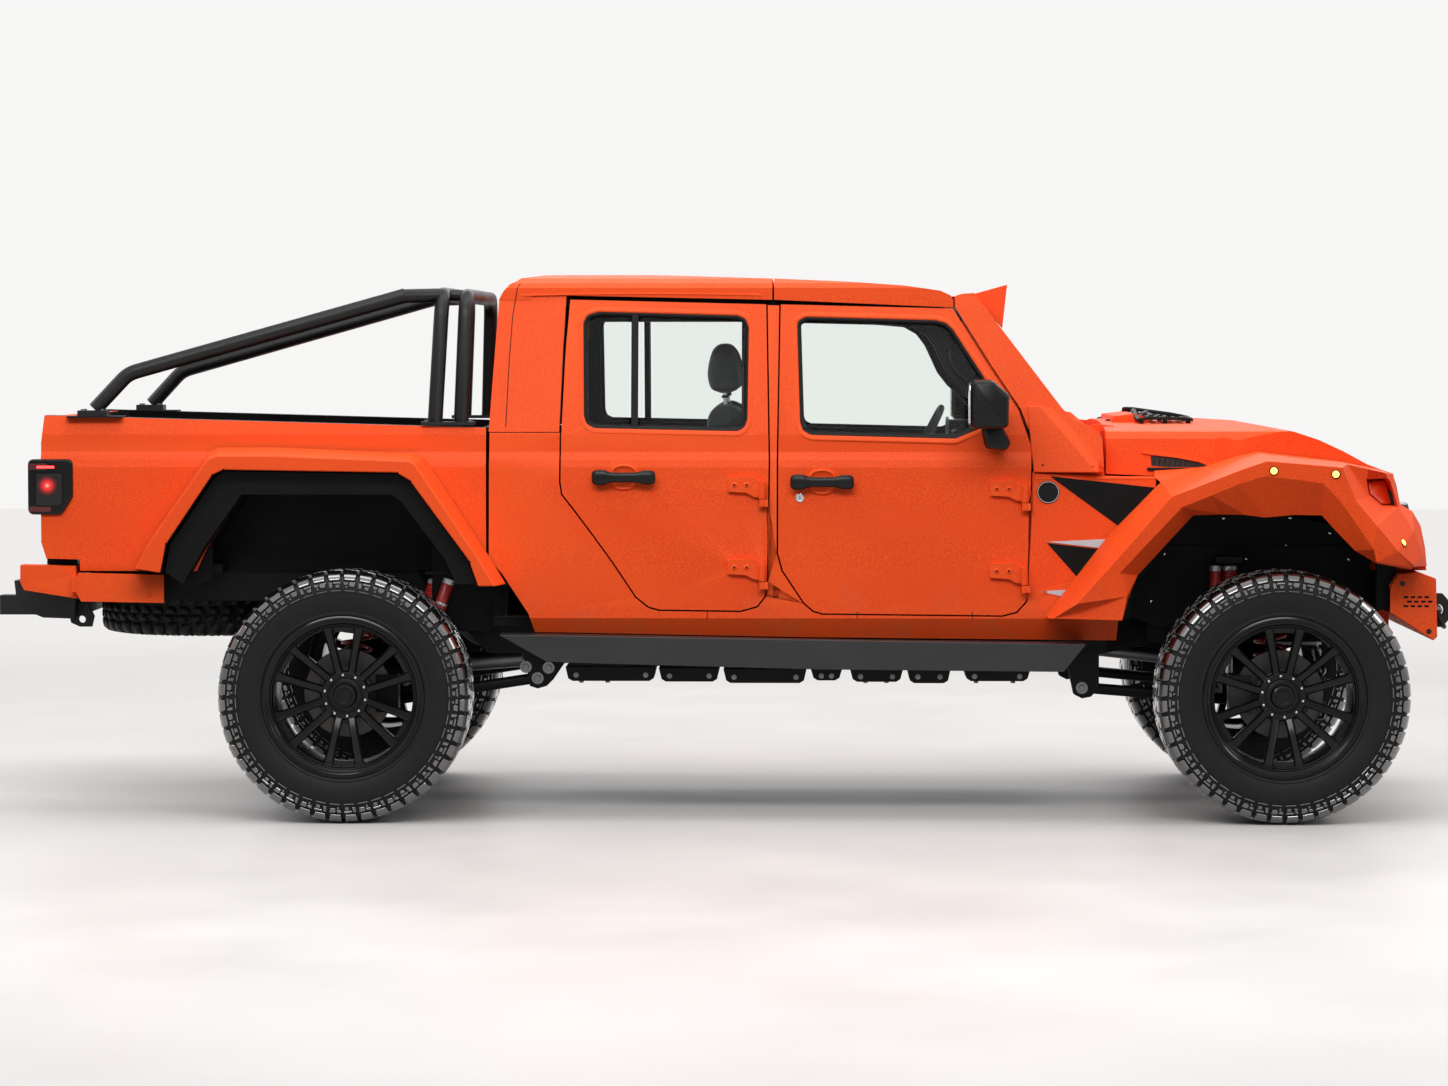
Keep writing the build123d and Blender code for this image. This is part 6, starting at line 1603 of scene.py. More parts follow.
def soft(mb, name, voxel=11.0, cap=17.0, pressure=4.0, seed=1, sub=1):
    """Padded form: remeshed, blown up as cloth with its travel capped, and smoothed."""
    o = bpy.data.objects.new(name, to_mesh(mb, name, smooth=False))
    SCENE.collection.objects.link(o)
    rm = o.modifiers.new("Remesh", "REMESH")
    rm.mode = "VOXEL"
    rm.voxel_size = voxel * MM
    rm.use_smooth_shade = True
    dg = bpy.context.evaluated_depsgraph_get()
    me = bpy.data.meshes.new_from_object(o.evaluated_get(dg))
    o.modifiers.clear()
    o.data = me
    P0 = np.empty(len(me.vertices) * 3)
    me.vertices.foreach_get("co", P0)
    P0 = P0.reshape(-1, 3)
    c = o.modifiers.new("Cloth", "CLOTH")
    s = c.settings
    s.quality = 4
    s.mass = 0.35
    s.tension_stiffness = 12
    s.compression_stiffness = 12
    s.shear_stiffness = 6
    s.bending_stiffness = 0.6
    s.air_damping = 2
    s.use_pressure = True
    s.uniform_pressure_force = pressure
    s.effector_weights.gravity = 0
    c.collision_settings.use_collision = False
    c.point_cache.frame_start, c.point_cache.frame_end = 1, 20
    for f in range(1, 21):
        SCENE.frame_set(f)
    e = o.evaluated_get(bpy.context.evaluated_depsgraph_get())
    P1 = np.empty(len(me.vertices) * 3)
    e.data.vertices.foreach_get("co", P1)
    P1 = P1.reshape(-1, 3)
    o.modifiers.clear()
    SCENE.frame_set(1)
    D = P1 - P0
    L = np.linalg.norm(D, axis=1, keepdims=True)
    D = D * np.minimum(1.0, cap * MM / np.maximum(L, 1e-9))
    me.vertices.foreach_set("co", (P0 + D).reshape(-1))
    me.update()
    sm = o.modifiers.new("Smooth", "SMOOTH")
    sm.factor, sm.iterations = 0.5, 3
    if sub:
        sb = o.modifiers.new("Sub", "SUBSURF")
        sb.levels = sb.render_levels = sub
    dg = bpy.context.evaluated_depsgraph_get()
    me = bpy.data.meshes.new_from_object(o.evaluated_get(dg))
    o.modifiers.clear()
    o.data = me
    return o


def sculpt(o, f):
    """f(x, y, z, n) in mm gives a shift along the vertex normal."""
    me = o.data
    for v in me.vertices:
        c = v.co * 1000
        d = f(c.x, c.y, c.z, v.normal)
        if d:
            v.co += v.normal * d * MM
    me.update()
    me.shade_smooth()


def lighter(o, ratio):
    """Fewer triangles where the surface is calm."""
    dc = o.modifiers.new("Decimate", "DECIMATE")
    dc.ratio = ratio
    me = bpy.data.meshes.new_from_object(o.evaluated_get(bpy.context.evaluated_depsgraph_get()))
    o.modifiers.clear()
    o.data = me
    me.shade_smooth()


def dress(o, body, mats, mat_of=None):
    me = o.data
    me.materials.clear()
    for m in mats:
        me.materials.append(m)
    if mat_of:
        for p in me.polygons:
            p.material_index = mat_of(p.center * 1000, p.normal)
    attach(o, body)
    return o


def flip_copy(o, name):
    """Mirror image of a piece on the other side of the vehicle."""
    me = o.data.copy()
    for v in me.vertices:
        v.co.y = -v.co.y
    me.flip_normals()
    q = bpy.data.objects.new(name, me)
    SCENE.collection.objects.link(q)
    me.shade_smooth()
    return q


def line_on(o, pts, d, lift=0.4):
    """Points cast onto the piece along d."""
    me = o.data
    tree = BVHTree.FromPolygons([v.co.copy() for v in me.vertices], [list(p.vertices) for p in me.polygons])
    out = []
    for p in pts:
        loc, n, i, dist = tree.ray_cast(Vector(p) * MM, Vector(d))
        if loc is not None:
            out.append(np.array(loc * 1000) - np.array(d) * lift)
    return out


g = lambda x, s: math.exp(-(x / s) ** 2)
SY = -370.0


def cushion_shift(x, y, z, n):
    u = abs(y - SY)
    if n.z < 0.25:
        return 0
    h = 14 * float(np.interp(u, [132, 170, 205, 240], [0, 1, 1, 0.2])) - 7 * g(u - 138, 7)
    if u < 138:
        h -= 4.5 * max(g(x - c, 7) for c in (330, 410, 490))
    return h


def back_shift(x, y, z, n):
    u = abs(y - SY)
    h = 0
    if n.x > 0.25:
        h = 16 * float(np.interp(u, [122, 160, 196, 228], [0, 1, 1, 0.2])) * float(np.interp(z, [1100, 1160, 1440, 1540], [0.4, 1, 1, 0.3])) - 7 * g(u - 128, 7)
        if u < 128:
            h -= 4.5 * max(g(z - c, 7) for c in (1230, 1310, 1390, 1470))
    elif n.x < -0.4:
        h -= 5 * g(z - 1150, 6) * (1 if u < 170 else 0)
    return h


cush = soft(pillow([(128, 985), (118, 1052), (180, 1060), (520, 1072), (600, 1064), (612, 1020), (580, 985)], SY - 226, SY + 226, 28, 24), "seat_cushion_right", 11, 15)
sculpt(cush, cushion_shift)
back = soft(pillow([(192, 1046), (176, 1150), (122, 1420), (70, 1545), (20, 1566), (-34, 1545), (-26, 1420), (56, 1150), (78, 1046)], SY - 214, SY + 214, 40, 28), "seat_back_right", 11, 15)
sculpt(back, back_shift)
head = soft(pillow([(88, 1600), (74, 1700), (48, 1776), (8, 1786), (-22, 1756), (-40, 1660), (-32, 1598)], SY - 128, SY + 128, 28, 26), "headrest_right", 9, 10)
seam_r = Mb()
for o, pts, d in (
    (cush, [[(x, SY + s * 138, 1300) for x in np.linspace(170, 590, 30)] for s in (-1, 1)] + [[(c, y, 1300) for y in np.linspace(SY - 134, SY + 134, 16)] for c in (330, 410, 490)], (0, 0, -1)),
    (back, [[(700, SY + s * 128, z) for z in np.linspace(1120, 1520, 30)] for s in (-1, 1)] + [[(700, y, c) for y in np.linspace(SY - 124, SY + 124, 16)] for c in (1230, 1310, 1390, 1470)], (-1, 0, 0)),
    (head, [[(700, SY + s * 62, z) for z in np.linspace(1625, 1740, 12)] for s in (-1, 1)], (-1, 0, 0)),
    (back, [[(-500, y, 1150) for y in np.linspace(SY - 165, SY + 165, 18)]], (1, 0, 0)),
):
    for line in pts:
        q = line_on(o, line, d, 0.2)
        if len(q) > 3:
            seam_r.tube(q, 1.3, 6, 0)
is_bolster = lambda c, n: 1 if abs(abs(c.y) + SY) > 138 else 0
for o, fill in ((cush, 0.75), (back, 0.75), (head, 0.85)):
    lighter(o, 0.4)
    q = flip_copy(o, o.name.replace("right", "left"))
    dress(o, "body", [M_CLOTH, M_BOLSTER], is_bolster)
    dress(q, "body", [M_CLOTH, M_BOLSTER], is_bolster)

rc = soft(pillow([(-232, 985), (-222, 1050), (-262, 1070), (-600, 1046), (-728, 1046), (-690, 972)], -604, 604, 26, 24), "rear_cushion", 15, 15)
sculpt(rc, lambda x, y, z, n: 0 if n.z < 0.25 else -7 * max(g(abs(y) - 190, 9), g(y, 3) * 0) - 5 * max(g(x - c, 9) for c in (-330, -440, -550)))
rb = soft(pillow([(-622, 1062), (-694, 1548), (-758, 1548), (-738, 1062)], -566, 566, 26, 20), "rear_back", 15, 12)
sculpt(rb, lambda x, y, z, n: 0 if n.x < 0.25 else -7 * g(abs(y) - 190, 9) - 5 * max(g(z - c, 9) for c in (1180, 1280, 1380, 1480)))
lighter(rc, 0.35)
lighter(rb, 0.35)
dress(rc, "body", [M_CLOTH, M_BOLSTER], lambda c, n: 1 if c.z < 1000 else 0)
dress(rb, "body", [M_CLOTH, M_BOLSTER], lambda c, n: 1 if n.x < -0.5 else 0)
for o, lines, d in ((rc, [[(x, s * 190, 1300) for x in np.linspace(-700, -250, 20)] for s in (-1, 1)], (0, 0, -1)),
                    (rb, [[(-200, s * 190, z) for z in np.linspace(1090, 1520, 20)] for s in (-1, 1)], (-1, 0, 0))):
    for line in lines:
        q = line_on(o, line, d, 0.2)
        if len(q) > 3:
            seam_r.tube(q, 1.4, 6, 0)
for k, y in enumerate((-390, 0, 390)):
    h = soft(pillow([(-702, 1572), (-714, 1676), (-758, 1680), (-758, 1572)], y - 108, y + 108, 20, 18), f"rear_headrest_{k}", 12, 8)
    lighter(h, 0.5)
    dress(h, "body", [M_BOLSTER])

# threads, headrest posts, seat frames and rails
fr = Mb()
for y in (SY - 62, SY + 62):
    fr.rod((25, y, 1530), (22, y, 1640), 6.5, 14, 1)
    fr.lathe([(6.6, 0), (13, 0), (13, 7), (9, 11), (6.6, 11)], (24, y, 1573), (0, 0, 1), 20, 0)
for y in (SY - 205, SY + 205):
    fr.prism([(70, 940), (50, 1010), (60, 1090), (100, 1130), (140, 1090), (180, 1000), (600, 985), (620, 950)], "y", y - 9, y + 9, 0)
    fr.box(130, 600, y - 17, y + 17, 800, 835, 2)
    fr.box(100, 640, y - 22, y + 22, 756, 800, 0)
    fr.obox((210, y, 890), (14, 0, 60), (0, 8, 0), (18, 0, -3), 2)
    fr.obox((520, y, 890), (14, 0, 60), (0, 8, 0), (18, 0, -3), 2)
fr.rod((100, SY - 222, 1060), (100, SY - 240, 1060), 32, 28, 0, edge=4)
fr.box(150, 600, SY - 196, SY + 196, 938, 984, 0)
fr.tube(smooth_path([(625, SY - 120, 900), (660, SY - 120, 880), (660, SY + 120, 880), (625, SY + 120, 900)], 24), 7, 12, 0)
fb = fr.both()
for y in (-390, 0, 390):
    for s in (-45, 45):
        fb.rod((-728, y + s, 1530), (-728, y + s, 1590), 5.5, 12, 1)
fb.box(-700, -262, -588, 588, 820, 972, 0)
fb.box(-700, -262, 520, 590, 750, 822, 0)
fb.box(-700, -262, -590, -520, 750, 822, 0)
put(fb, "seat_frames", "body", [M_TRIM, M_BRIGHT, M_FRAME], "trim", bevel=4, sharp=34, replaces=["seats"])
sm = Mb().merge(seam_r)
half = Mb()
half.v = [v for v in seam_r.v]
half.f, half.m = seam_r.f, seam_r.m
put(Mb().merge(seam_r).merge(half.mirrored()), "seat_threads", "body", M_SEAM, "seat_fabric", weld=0)
# buckles and belts
belt = Mb()
for s in (-1,):
    belt.strip(smooth_path([(150, -700, 1240), (118, -690, 1560), (112, -676, 1700)], 60), [(-23, -0.9), (23, -0.9), (23, 0.9), (-23, 0.9)], (0, 1, 0.05), 0)
    belt.rod((112, -684, 1706), (112, -668, 1706), 20, 24, 1, edge=2)
    belt.box(95, 150, -130, -108, 1010, 1085, 1)
    belt.box(104, 140, -126, -112, 1085, 1094, 2)
put(belt.both(), "belts", "body", [M_BOLSTER, M_TRIM, M_AMBERLENS], "trim", bevel=2)

# ------------------------------------------------------------------ steering wheel and dashboard
C0, AX = np.array((800.0, 380.0, 1368.0)), unit((-0.8988, 0, 0.4384))
e1 = np.array((0, 1.0, 0))
e2 = np.cross(AX, e1)
if e2[2] < 0:
    e2 = -e2
P = lambda u, v, w: C0 + e1 * u + e2 * v + AX * w
sw = Mb()
rows = []
for k in range(72):
    a = 2 * math.pi * k / 72
    grip = 1.12 if abs(math.sin(a * 1.0)) < 0.35 else 1.0
    ring_ = []
    for j in range(16):
        b = 2 * math.pi * j / 16
        r = 172.5 + 14.0 * grip * math.cos(b) * 0.98
        ring_.append(P(r * math.cos(a), r * math.sin(a), 13.5 * grip * math.sin(b)))
    rows.append(ring_)
sw.grid(rows, 0, close_u=True, close_v=True)
for ang in (0, 180, 270):
    a = math.radians(ang)
    d = np.array((math.cos(a), math.sin(a)))
    w = np.array((-d[1], d[0]))
    for off in ((-13, 13) if ang == 270 else (0,)):
        loops = []
        for r, hw, z0, z1 in ((46, 22, -12, 12), (90, 18, -8, 9), (130, 14, -5, 7), (164, 15, -5, 6)):
            hw = hw * (0.45 if ang == 270 else 1)
            q = lambda uu, vv: (d * r + w * (uu + off))
            loops.append([P(*(q(-hw, 0)), z0), P(*(q(-hw, 0)), z1), P(*(q(hw, 0)), z1), P(*(q(hw, 0)), z0)])
        sw.loft(loops, 1 if ang == 270 else 0)
hub = rounded([(-62, 34), (62, 34), (70, 10), (46, -56), (-46, -56), (-70, 10)], 24, 4)
sw.loft([[P(u, v, -14) for u, v in hub], [P(u, v, 10) for u, v in hub], [P(u * 0.93, v * 0.93, 17) for u, v in hub], [P(u * 0.6, v * 0.6, 20) for u, v in hub]], 0)
sw.lathe([(0, 0), (17, 0), (17, 1.5), (15, 2.5), (0, 2.5)], P(0, -6, 19.2), AX, 32, 1, closed=False)
sw.rod(P(0, 0, -8), P(0, 0, -44), 30, 28, 0, edge=3)
for s in (-1, 1):
    sw.loft([[P(s * u, v, 7) for u, v in rounded([(84, 13), (130, 11), (130, -11), (84, -13)], 6, 3)], [P(s * u, v, 12) for u, v in rounded([(86, 11), (128, 9), (128, -9), (86, -11)], 6, 3)]], 1)
put(sw, "steering_wheel_v", "steering_wheel", [M_DASH, M_ALLOY], "trim", bevel=1.5, angle=35, sharp=34, replaces=["steering_wheel"])

from_cad("dashboard", [M_DASH], "trim", bevel=14, seg=4)
dash = Mb()
for y in (-520, -90, 90, 560):                                    # round vents
    q = hit(["dashboard"], (400, y, 1385), (1, 0, 0))
    x = q[0] if q is not None else 925
    dash.lathe([(0, 4), (40, 4), (40, -2), (46, -8), (52, -6), (54, 4)], (x, y, 1385), (1, 0, 0), 36, 0, closed=False)
    for k in (-2, -1, 0, 1, 2):
        hw = math.sqrt(max(0, 38 ** 2 - (k * 13) ** 2))
        dash.obox((x - 1, y, 1385 + k * 13), (3, 0, 0), (0, hw, 0), (0, 0, 1.6), 0)
q = hit(["dashboard"], (400, 0, 1380), (1, 0, 0))
x = q[0] if q is not None else 925
dash.loft([[(x + 4, y, z) for y, z in rounded([(-68, 1345), (68, 1345), (68, 1440), (-68, 1440)], 8, 3)], [(x - 9, y, z) for y, z in rounded([(-66, 1347), (66, 1347), (66, 1438), (-66, 1438)], 8, 3)]], 1)
for k in range(6):
    dash.rod((x - 3, -60 + k * 24, 1322), (x - 13, -60 + k * 24, 1322), 8, 18, 0, edge=1.5)
for y in (-44, 44):
    dash.rod((x - 2, y, 1290), (x - 20, y, 1290), 15, 24, 0, edge=2)
dash.rod((690, 0, 1100), (700, -0.1, 1190), 8, 16, 2)
dash.dome((700, 0, 1190), (0.1, 0, 1), 23, 26, 0, seg=24, rings=6)
dash.lathe([(52, 0), (44, 6), (24, 26), (12, 40), (8, 44), (8, 0)], (690, 0, 1100), (0, 0, 1), 28, 3, closed=True)
dash.rod((560, 0, 1100), (566, 0, 1150), 7, 16, 2)
dash.dome((566, 0, 1150), (0.1, 0, 1), 17, 18, 0, seg=20, rings=5)
dash.loft([[(300 + a, y, z) for y, z in rounded([(-82, 1060), (82, 1060), (80, 1118), (-80, 1118)], 16, 3)] for a in (0, 170)], 3)
# gauges under their hood
dash.loft([[(905 + a, 380 + u, 1432 + v) for u, v in rounded([(-150, -42), (150, -42), (140, 44), (-140, 44)], 30, 4)] for a in (0, 90)], 0)
for u in (-70, 70):
    dash.lathe([(0, 0), (50, 0), (50, -4), (54, -6), (57, 0)], (903, 380 + u, 1434), (1, 0, 0), 36, 2, closed=False)
dash.loft([[(904, 380 + u, 1434 + v) for u, v in rounded([(-17, -26), (17, -26), (17, 26), (-17, 26)], 5, 3)], [(900, 380 + u, 1434 + v) for u, v in rounded([(-16, -25), (16, -25), (16, 25), (-16, 25)], 5, 3)]], 1)
dash.rod((905, -250, 1440), (905, -560, 1440), 13, 20, 0, edge=4)
put(dash, "dash_details", "body", [M_TRIM, M_GLOSS, M_SILVER, M_BOLSTER], "trim", bevel=1.2, sharp=34)
pedals = Mb()
for y, w, z in ((300, 34, 900), (410, 46, 905), (500, 30, 890)):
    pedals.obox((1125, y, z), (3, 0, 1), (0, w / 2, 0), (-12, 0, 28), 0)
    pedals.rod((1128, y, z + 20), (1165, y, 1090), 7, 12, 1)
put(pedals, "pedals", "body", [M_TRIM, M_FRAME], "trim", bevel=1.5)


# ------------------------------------------------------------------ tail lamps
def lamp_glow(name, cx, cz, r0, r1, strength):
    """Smoked lens lit from behind: red light that fades out from a point of the lamp."""
    t = Tree(name)
    sx = t.n("ShaderNodeSeparateXYZ")
    t.link(t.co, sx.inputs[0])
    def off(sock, c):
        m = t.n("ShaderNodeMath", operation="SUBTRACT")
        t.link(sock, m.inputs[0])
        m.inputs[1].default_value = c
        p = t.n("ShaderNodeMath", operation="MULTIPLY")
        t.link(m.outputs[0], p.inputs[0])
        t.link(m.outputs[0], p.inputs[1])
        return p.outputs[0]
    s = t.n("ShaderNodeMath", operation="ADD")
    t.link(off(sx.outputs["X"], cx), s.inputs[0])
    t.link(off(sx.outputs["Z"], cz), s.inputs[1])
    q = t.n("ShaderNodeMath", operation="SQRT")
    t.link(s.outputs[0], q.inputs[0])
    mr = t.n("ShaderNodeMapRange", interpolation_type="SMOOTHSTEP")
    t.link(q.outputs[0], mr.inputs["Value"])
    for k, v in (("From Min", r0), ("From Max", r1), ("To Min", 1.0), ("To Max", 0.0)):
        mr.inputs[k].default_value = v
    nz = t.noise(420.0, 2.0)
    mul = t.n("ShaderNodeMath", operation="MULTIPLY")
    t.link(mr.outputs["Result"], mul.inputs[0])
    t.link(t.ramp(nz, [(0.3, (0.75, 0.75, 0.75)), (0.7, (1, 1, 1))]), mul.inputs[1])
    st = t.n("ShaderNodeMath", operation="MULTIPLY")
    t.link(mul.outputs[0], st.inputs[0])
    st.inputs[1].default_value = strength
    b = t.n("ShaderNodeBsdfPrincipled")
    t.link(t.ramp(mr.outputs["Result"], [(0.0, srgb(12, 6, 7)), (1.0, srgb(90, 6, 10))]), b.inputs["Base Color"])
    t.link(t.ramp(nz, [(0.3, (0.14, 0.14, 0.14)), (0.7, (0.22, 0.22, 0.22))]), b.inputs["Roughness"])
    t.link(t.ramp(mr.outputs["Result"], [(0.0, (0.5, 0.0, 0.0)), (0.5, (0.9, 0.01, 0.01)), (0.93, (1.0, 0.05, 0.04)), (1.0, (1.0, 0.4, 0.3))]), b.inputs["Emission Color"])
    t.link(st.outputs[0], b.inputs["Emission Strength"])
    t.link(b.outputs[0], t.out.inputs[0])
    return t.mat


M_GLOW = lamp_glow("tail_glow", -2.511, 1.249, 0.002, 0.040, 1.3)
tl = Mb()
body_l = rounded([(-2585, 1348), (-2416, 1348), (-2416, 1206), (-2458, 1140), (-2585, 1140)], 24, 6)
prof = lambda d: [(x, z) for x, z in (inset(body_l, d) if d else body_l)]
tl.loft([[(x, -y, z) for x, z in prof(d)] for y, d in ((786, 0), (804, 0), (809.5, 2.2), (811.8, 6.0), (811.9, 12))], 0)
# back part in the corner of the body, its face towards the rear
bz = rounded([(-806, 1340), (-672, 1340), (-672, 1148), (-806, 1148)], 16, 4)
tl.loft([[(x, y, z) for y, z in (inset(bz, d) if d else bz)] for x, d in ((-2542, 0), (-2576, 0), (-2582, 3), (-2584.5, 9))], 0)
# groove lines, recessed panel, light bar
tl.strip([(x, -812, z) for x, z in rounded([(-2558, 1297), (-2452, 1297), (-2452, 1184), (-2470, 1170), (-2558, 1170)], 8, 3)], [(-1.3, -1), (1.3, -1), (1.3, 0.9), (-1.3, 0.9)], (0, -1, 0), 4, closed=True, cap=False)
tl.prism([(-2584, 1304.5), (-2430, 1304.5), (-2430, 1302.5), (-2584, 1302.5)], "y", -812.4, -806, 4)
tl.prism(rounded([(-2581, 1331), (-2512, 1331), (-2512, 1308), (-2581, 1308)], 5, 3), "y", -812.6, -806, 2)
tl.prism(rounded([(-2551, 1322.5), (-2484, 1322.5), (-2484, 1314), (-2551, 1314)], 4, 3), "y", -813.2, -806, 3)
tl.prism(rounded([(-2580, 1170), (-2500, 1170), (-2496, 1160), (-2500, 1151), (-2580, 1151)], 5, 3), "y", -812.5, -806, 5)
tl.prism(rounded([(-2553, 1292), (-2457, 1292), (-2457, 1186), (-2472, 1175), (-2553, 1175)], 6, 3), "y", -812.6, -808, 1)
# rear face: square light guide, brake and reversing lamps
sq = lambda a, b, r: rounded([(-739 - a, 1244 + b), (-739 + a, 1244 + b), (-739 + a, 1244 - b), (-739 - a, 1244 - b)], r, 4)
tl.strip([(-2585, y, z) for y, z in sq(48, 64, 14)], [(-4, -3), (4, -3), (4, 1.6), (-4, 1.6)], (-1, 0, 0), 3, closed=True, cap=False)
tl.loft([[(-2584, y, z) for y, z in sq(34, 20, 6)], [(-2586.5, y, z) for y, z in sq(32, 18, 6)]], 6)
for dz in (38, -38):
    tl.loft([[(-2584, y, z + dz) for y, z in sq(34, 11, 5)], [(-2586.5, y, z + dz) for y, z in sq(32, 9, 5)]], 2)
put(tl.both(), "taillights_v", "body", [M_GLOSS, M_GLOW, M_REDLENS, M_REDLED, M_LINER, M_REDLENS, M_REFLECT], "lamp_red", bevel=0.8, sharp=32, replaces=["taillights"])


# ------------------------------------------------------------------ rear bumper, plate, tailgate
def rb_pick(c, n):
    if abs(c.y) > 601 and c.x < -2400 and c.z > 812:
        return 1
    if abs(c.y) > 812 and c.x > -2412:
        return 1
    return 0


def rb_shape(x, y, z):
    """Corner blocks brought up to the body."""
    if abs(y) > 601 and x < -2400 and z > 930:
        z += 10
    return x, y, z


from_cad("rear_bumper", [M_POWDER, M_PAINT], "black_metal", bevel=8, angle=20, seg=3, pick=rb_pick, shape=rb_shape)
rb_ = Mb()
for y in (-360, -120, 120, 360):
    q = hit(["rear_bumper"], (-3200, y, 815), (1, 0, 0))
    if q is not None:
        rb_.bolt((q[0], y, 815), (-1, 0, 0), 9, 8, 0)
for y, z in ((-240, 812), (240, 812)):                                     # square work lamps
    q = hit(["rear_bumper"], (-3200, y, z), (1, 0, 0))
    if q is not None:
        x = q[0]
        rb_.loft([[(x + 4, y + a, z + b) for a, b in rounded([(-38, -30), (38, -30), (38, 30), (-38, 30)], 9, 3)],
                  [(x - 7, y + a, z + b) for a, b in rounded([(-36, -28), (36, -28), (36, 28), (-36, 28)], 9, 3)]], 1)
        rb_.loft([[(x - 6, y + a, z + b) for a, b in rounded([(-30, -22), (30, -22), (30, 22), (-30, 22)], 6, 3)],
                  [(x - 8.5, y + a, z + b) for a, b in rounded([(-29, -21), (29, -21), (29, 21), (-29, 21)], 6, 3)]], 3)
        for a in (-15, 15):
            rb_.dome((x - 8, y + a, z), (-1, 0, 0), 11, 3, 2, seg=20)
for s in (-1, 1):
    rb_.dome((-2128, s * 830, 838), (0, s, 0), 8, 4, 4, seg=16)
# tow socket beside the receiver, safety chain loops
rb_.lathe([(0, 0), (27, 0), (27, -10), (24, -14), (0, -14)], (-2668, 132, 772), (1, 0, 0), 28, 1, closed=False)
for s in (-1, 1):
    rb_.tube([(-2700, s * 40, 740), (-2700, s * 62, 735), (-2700, s * 74, 752), (-2700, s * 62, 772), (-2700, s * 40, 768)], 6, 12, 0)
put(rb_, "rear_bumper_details", "body", [M_POWDER, M_TRIM, M_REFLECT, M_SILVER, M_PAINT], "black_metal", bevel=1, sharp=34)

from_cad("tailgate", [M_PAINT, M_HANDLE, M_LINER], "body_paint", bevel=6, angle=12, seg=3,
         pick=lambda c, n: 1 if (c.x < -2534.5 and abs(c.y) < 90 and 1355 < c.z < 1435) else (2 if c.x > -2470 and n.x > 0.7 else 0))
tg = Mb()
TG = ["tailgate"]
xt = -2534.0
fr_o = rounded([(-600, 1460), (600, 1460), (600, 1030), (-600, 1030)], 44, 6)
fr_i = rounded([(-560, 1420), (560, 1420), (560, 1068), (-560, 1068)], 30, 6)
tg.strip([(xt, y, z) for y, z in dense(rounded([(-585, 1330), (585, 1330), (585, 1046), (-585, 1046)], 36, 6), 60)], [(-16, -2), (-9, 2.6), (9, 2.6), (16, -2)], (-1, 0, 0), 0, closed=True, cap=False)
tg.loft([[(xt + 2, y, z) for y, z in rounded([(-560, 1302), (560, 1302), (560, 1074), (-560, 1074)], 24, 5)],
         [(xt - 3.5, y, z) for y, z in rounded([(-556, 1298), (556, 1298), (556, 1078), (-556, 1078)], 24, 5)]], 0)
tg.strip([(xt, y, z) for y, z in dense(rounded([(-112, 1446), (112, 1446), (112, 1346), (-112, 1346)], 22, 5), 40)], [(-11, -2), (-8, 5), (7, 5), (11, -2)], (-1, 0, 0), 1, closed=True, cap=False)
tg.loft([[(-2544, y, z) for y, z in rounded([(-78, 1424), (78, 1424), (78, 1366), (-78, 1366)], 16, 4)], [(-2548, y, z) for y, z in rounded([(-70, 1418), (70, 1418), (70, 1388), (-70, 1388)], 12, 4)]], 1)
tg.rod((-2544, 66, 1376), (-2549, 66, 1376), 7, 20, 3)
# number plate place, left blank, with its lamp
tg.loft([[(-2537, y, z) for y, z in rounded([(-160, 1262), (160, 1262), (160, 1098), (-160, 1098)], 10, 4)], [(-2543, y, z) for y, z in rounded([(-157, 1259), (157, 1259), (157, 1101), (-157, 1101)], 10, 4)]], 1)
tg.loft([[(-2542, y, z) for y, z in rounded([(-152, 1255), (152, 1255), (152, 1105), (-152, 1105)], 8, 4)], [(-2545, y, z) for y, z in rounded([(-151, 1254), (151, 1254), (151, 1106), (-151, 1106)], 8, 4)]], 4)
for y in (-89, 89):
    for z in (1240, 1120):
        tg.bolt((-2545, y, z), (-1, 0, 0), 5, 3, 3)
tg.loft([[(-2535, y, z) for y, z in rounded([(-60, 1286), (60, 1286), (60, 1270), (-60, 1270)], 5, 3)], [(-2553, y, z) for y, z in rounded([(-56, 1284), (56, 1284), (56, 1272), (-56, 1272)], 5, 3)]], 1)
for y in (-590, 590):                                                       # hinge caps and latch strikers
    tg.loft([[(-2533, y + a, 1010 + b) for a, b in rounded([(-30, -26), (30, -26), (30, 20), (-30, 20)], 8, 3)], [(-2541, y + a, 1010 + b) for a, b in rounded([(-26, -22), (26, -22), (26, 16), (-26, 16)], 8, 3)]], 0)
    tg.bolt((-2541, y, 1008), (-1, 0, 0), 8, 5, 3)
put(tg, "tailgate_details", "tailgate", [M_PAINT, M_TRIM, M_LINER, M_BRIGHT, M_SILVER], "body_paint", bevel=1.4, sharp=30)

# ------------------------------------------------------------------ load bed
bd = Mb()
for k in range(17):                                                         # floor ribs
    y = -480 + 60 * k
    if abs(y) > 500:
        continue
    bd.loft([[(x, y + a, z) for a, z in ((-14, 949), (-10, 956), (10, 956), (14, 949))] for x in (-2440, -940)], 0)
for s in (-1, 1):
    bd.loft([[(x, s * 694 + a, z) for a, z in ((-9, 1400), (9 * s, 1400), (9 * s, 1424), (-9, 1424))] for x in (-2380, -1180)], 1)   # side rails
    for x in (-2300, -1900, -1300):
        bd.lathe([(0, 0), (20, 0), (20, 6), (16, 9), (0, 9)], (x, s * 700, 1412), (0, -s, 0), 24, 1, closed=False)
        bd.tube([(x - 22, s * 684, 1412), (x - 22, s * 672, 1396), (x, s * 668, 1386), (x + 22, s * 672, 1396), (x + 22, s * 684, 1412)], 4.5, 10, 2)
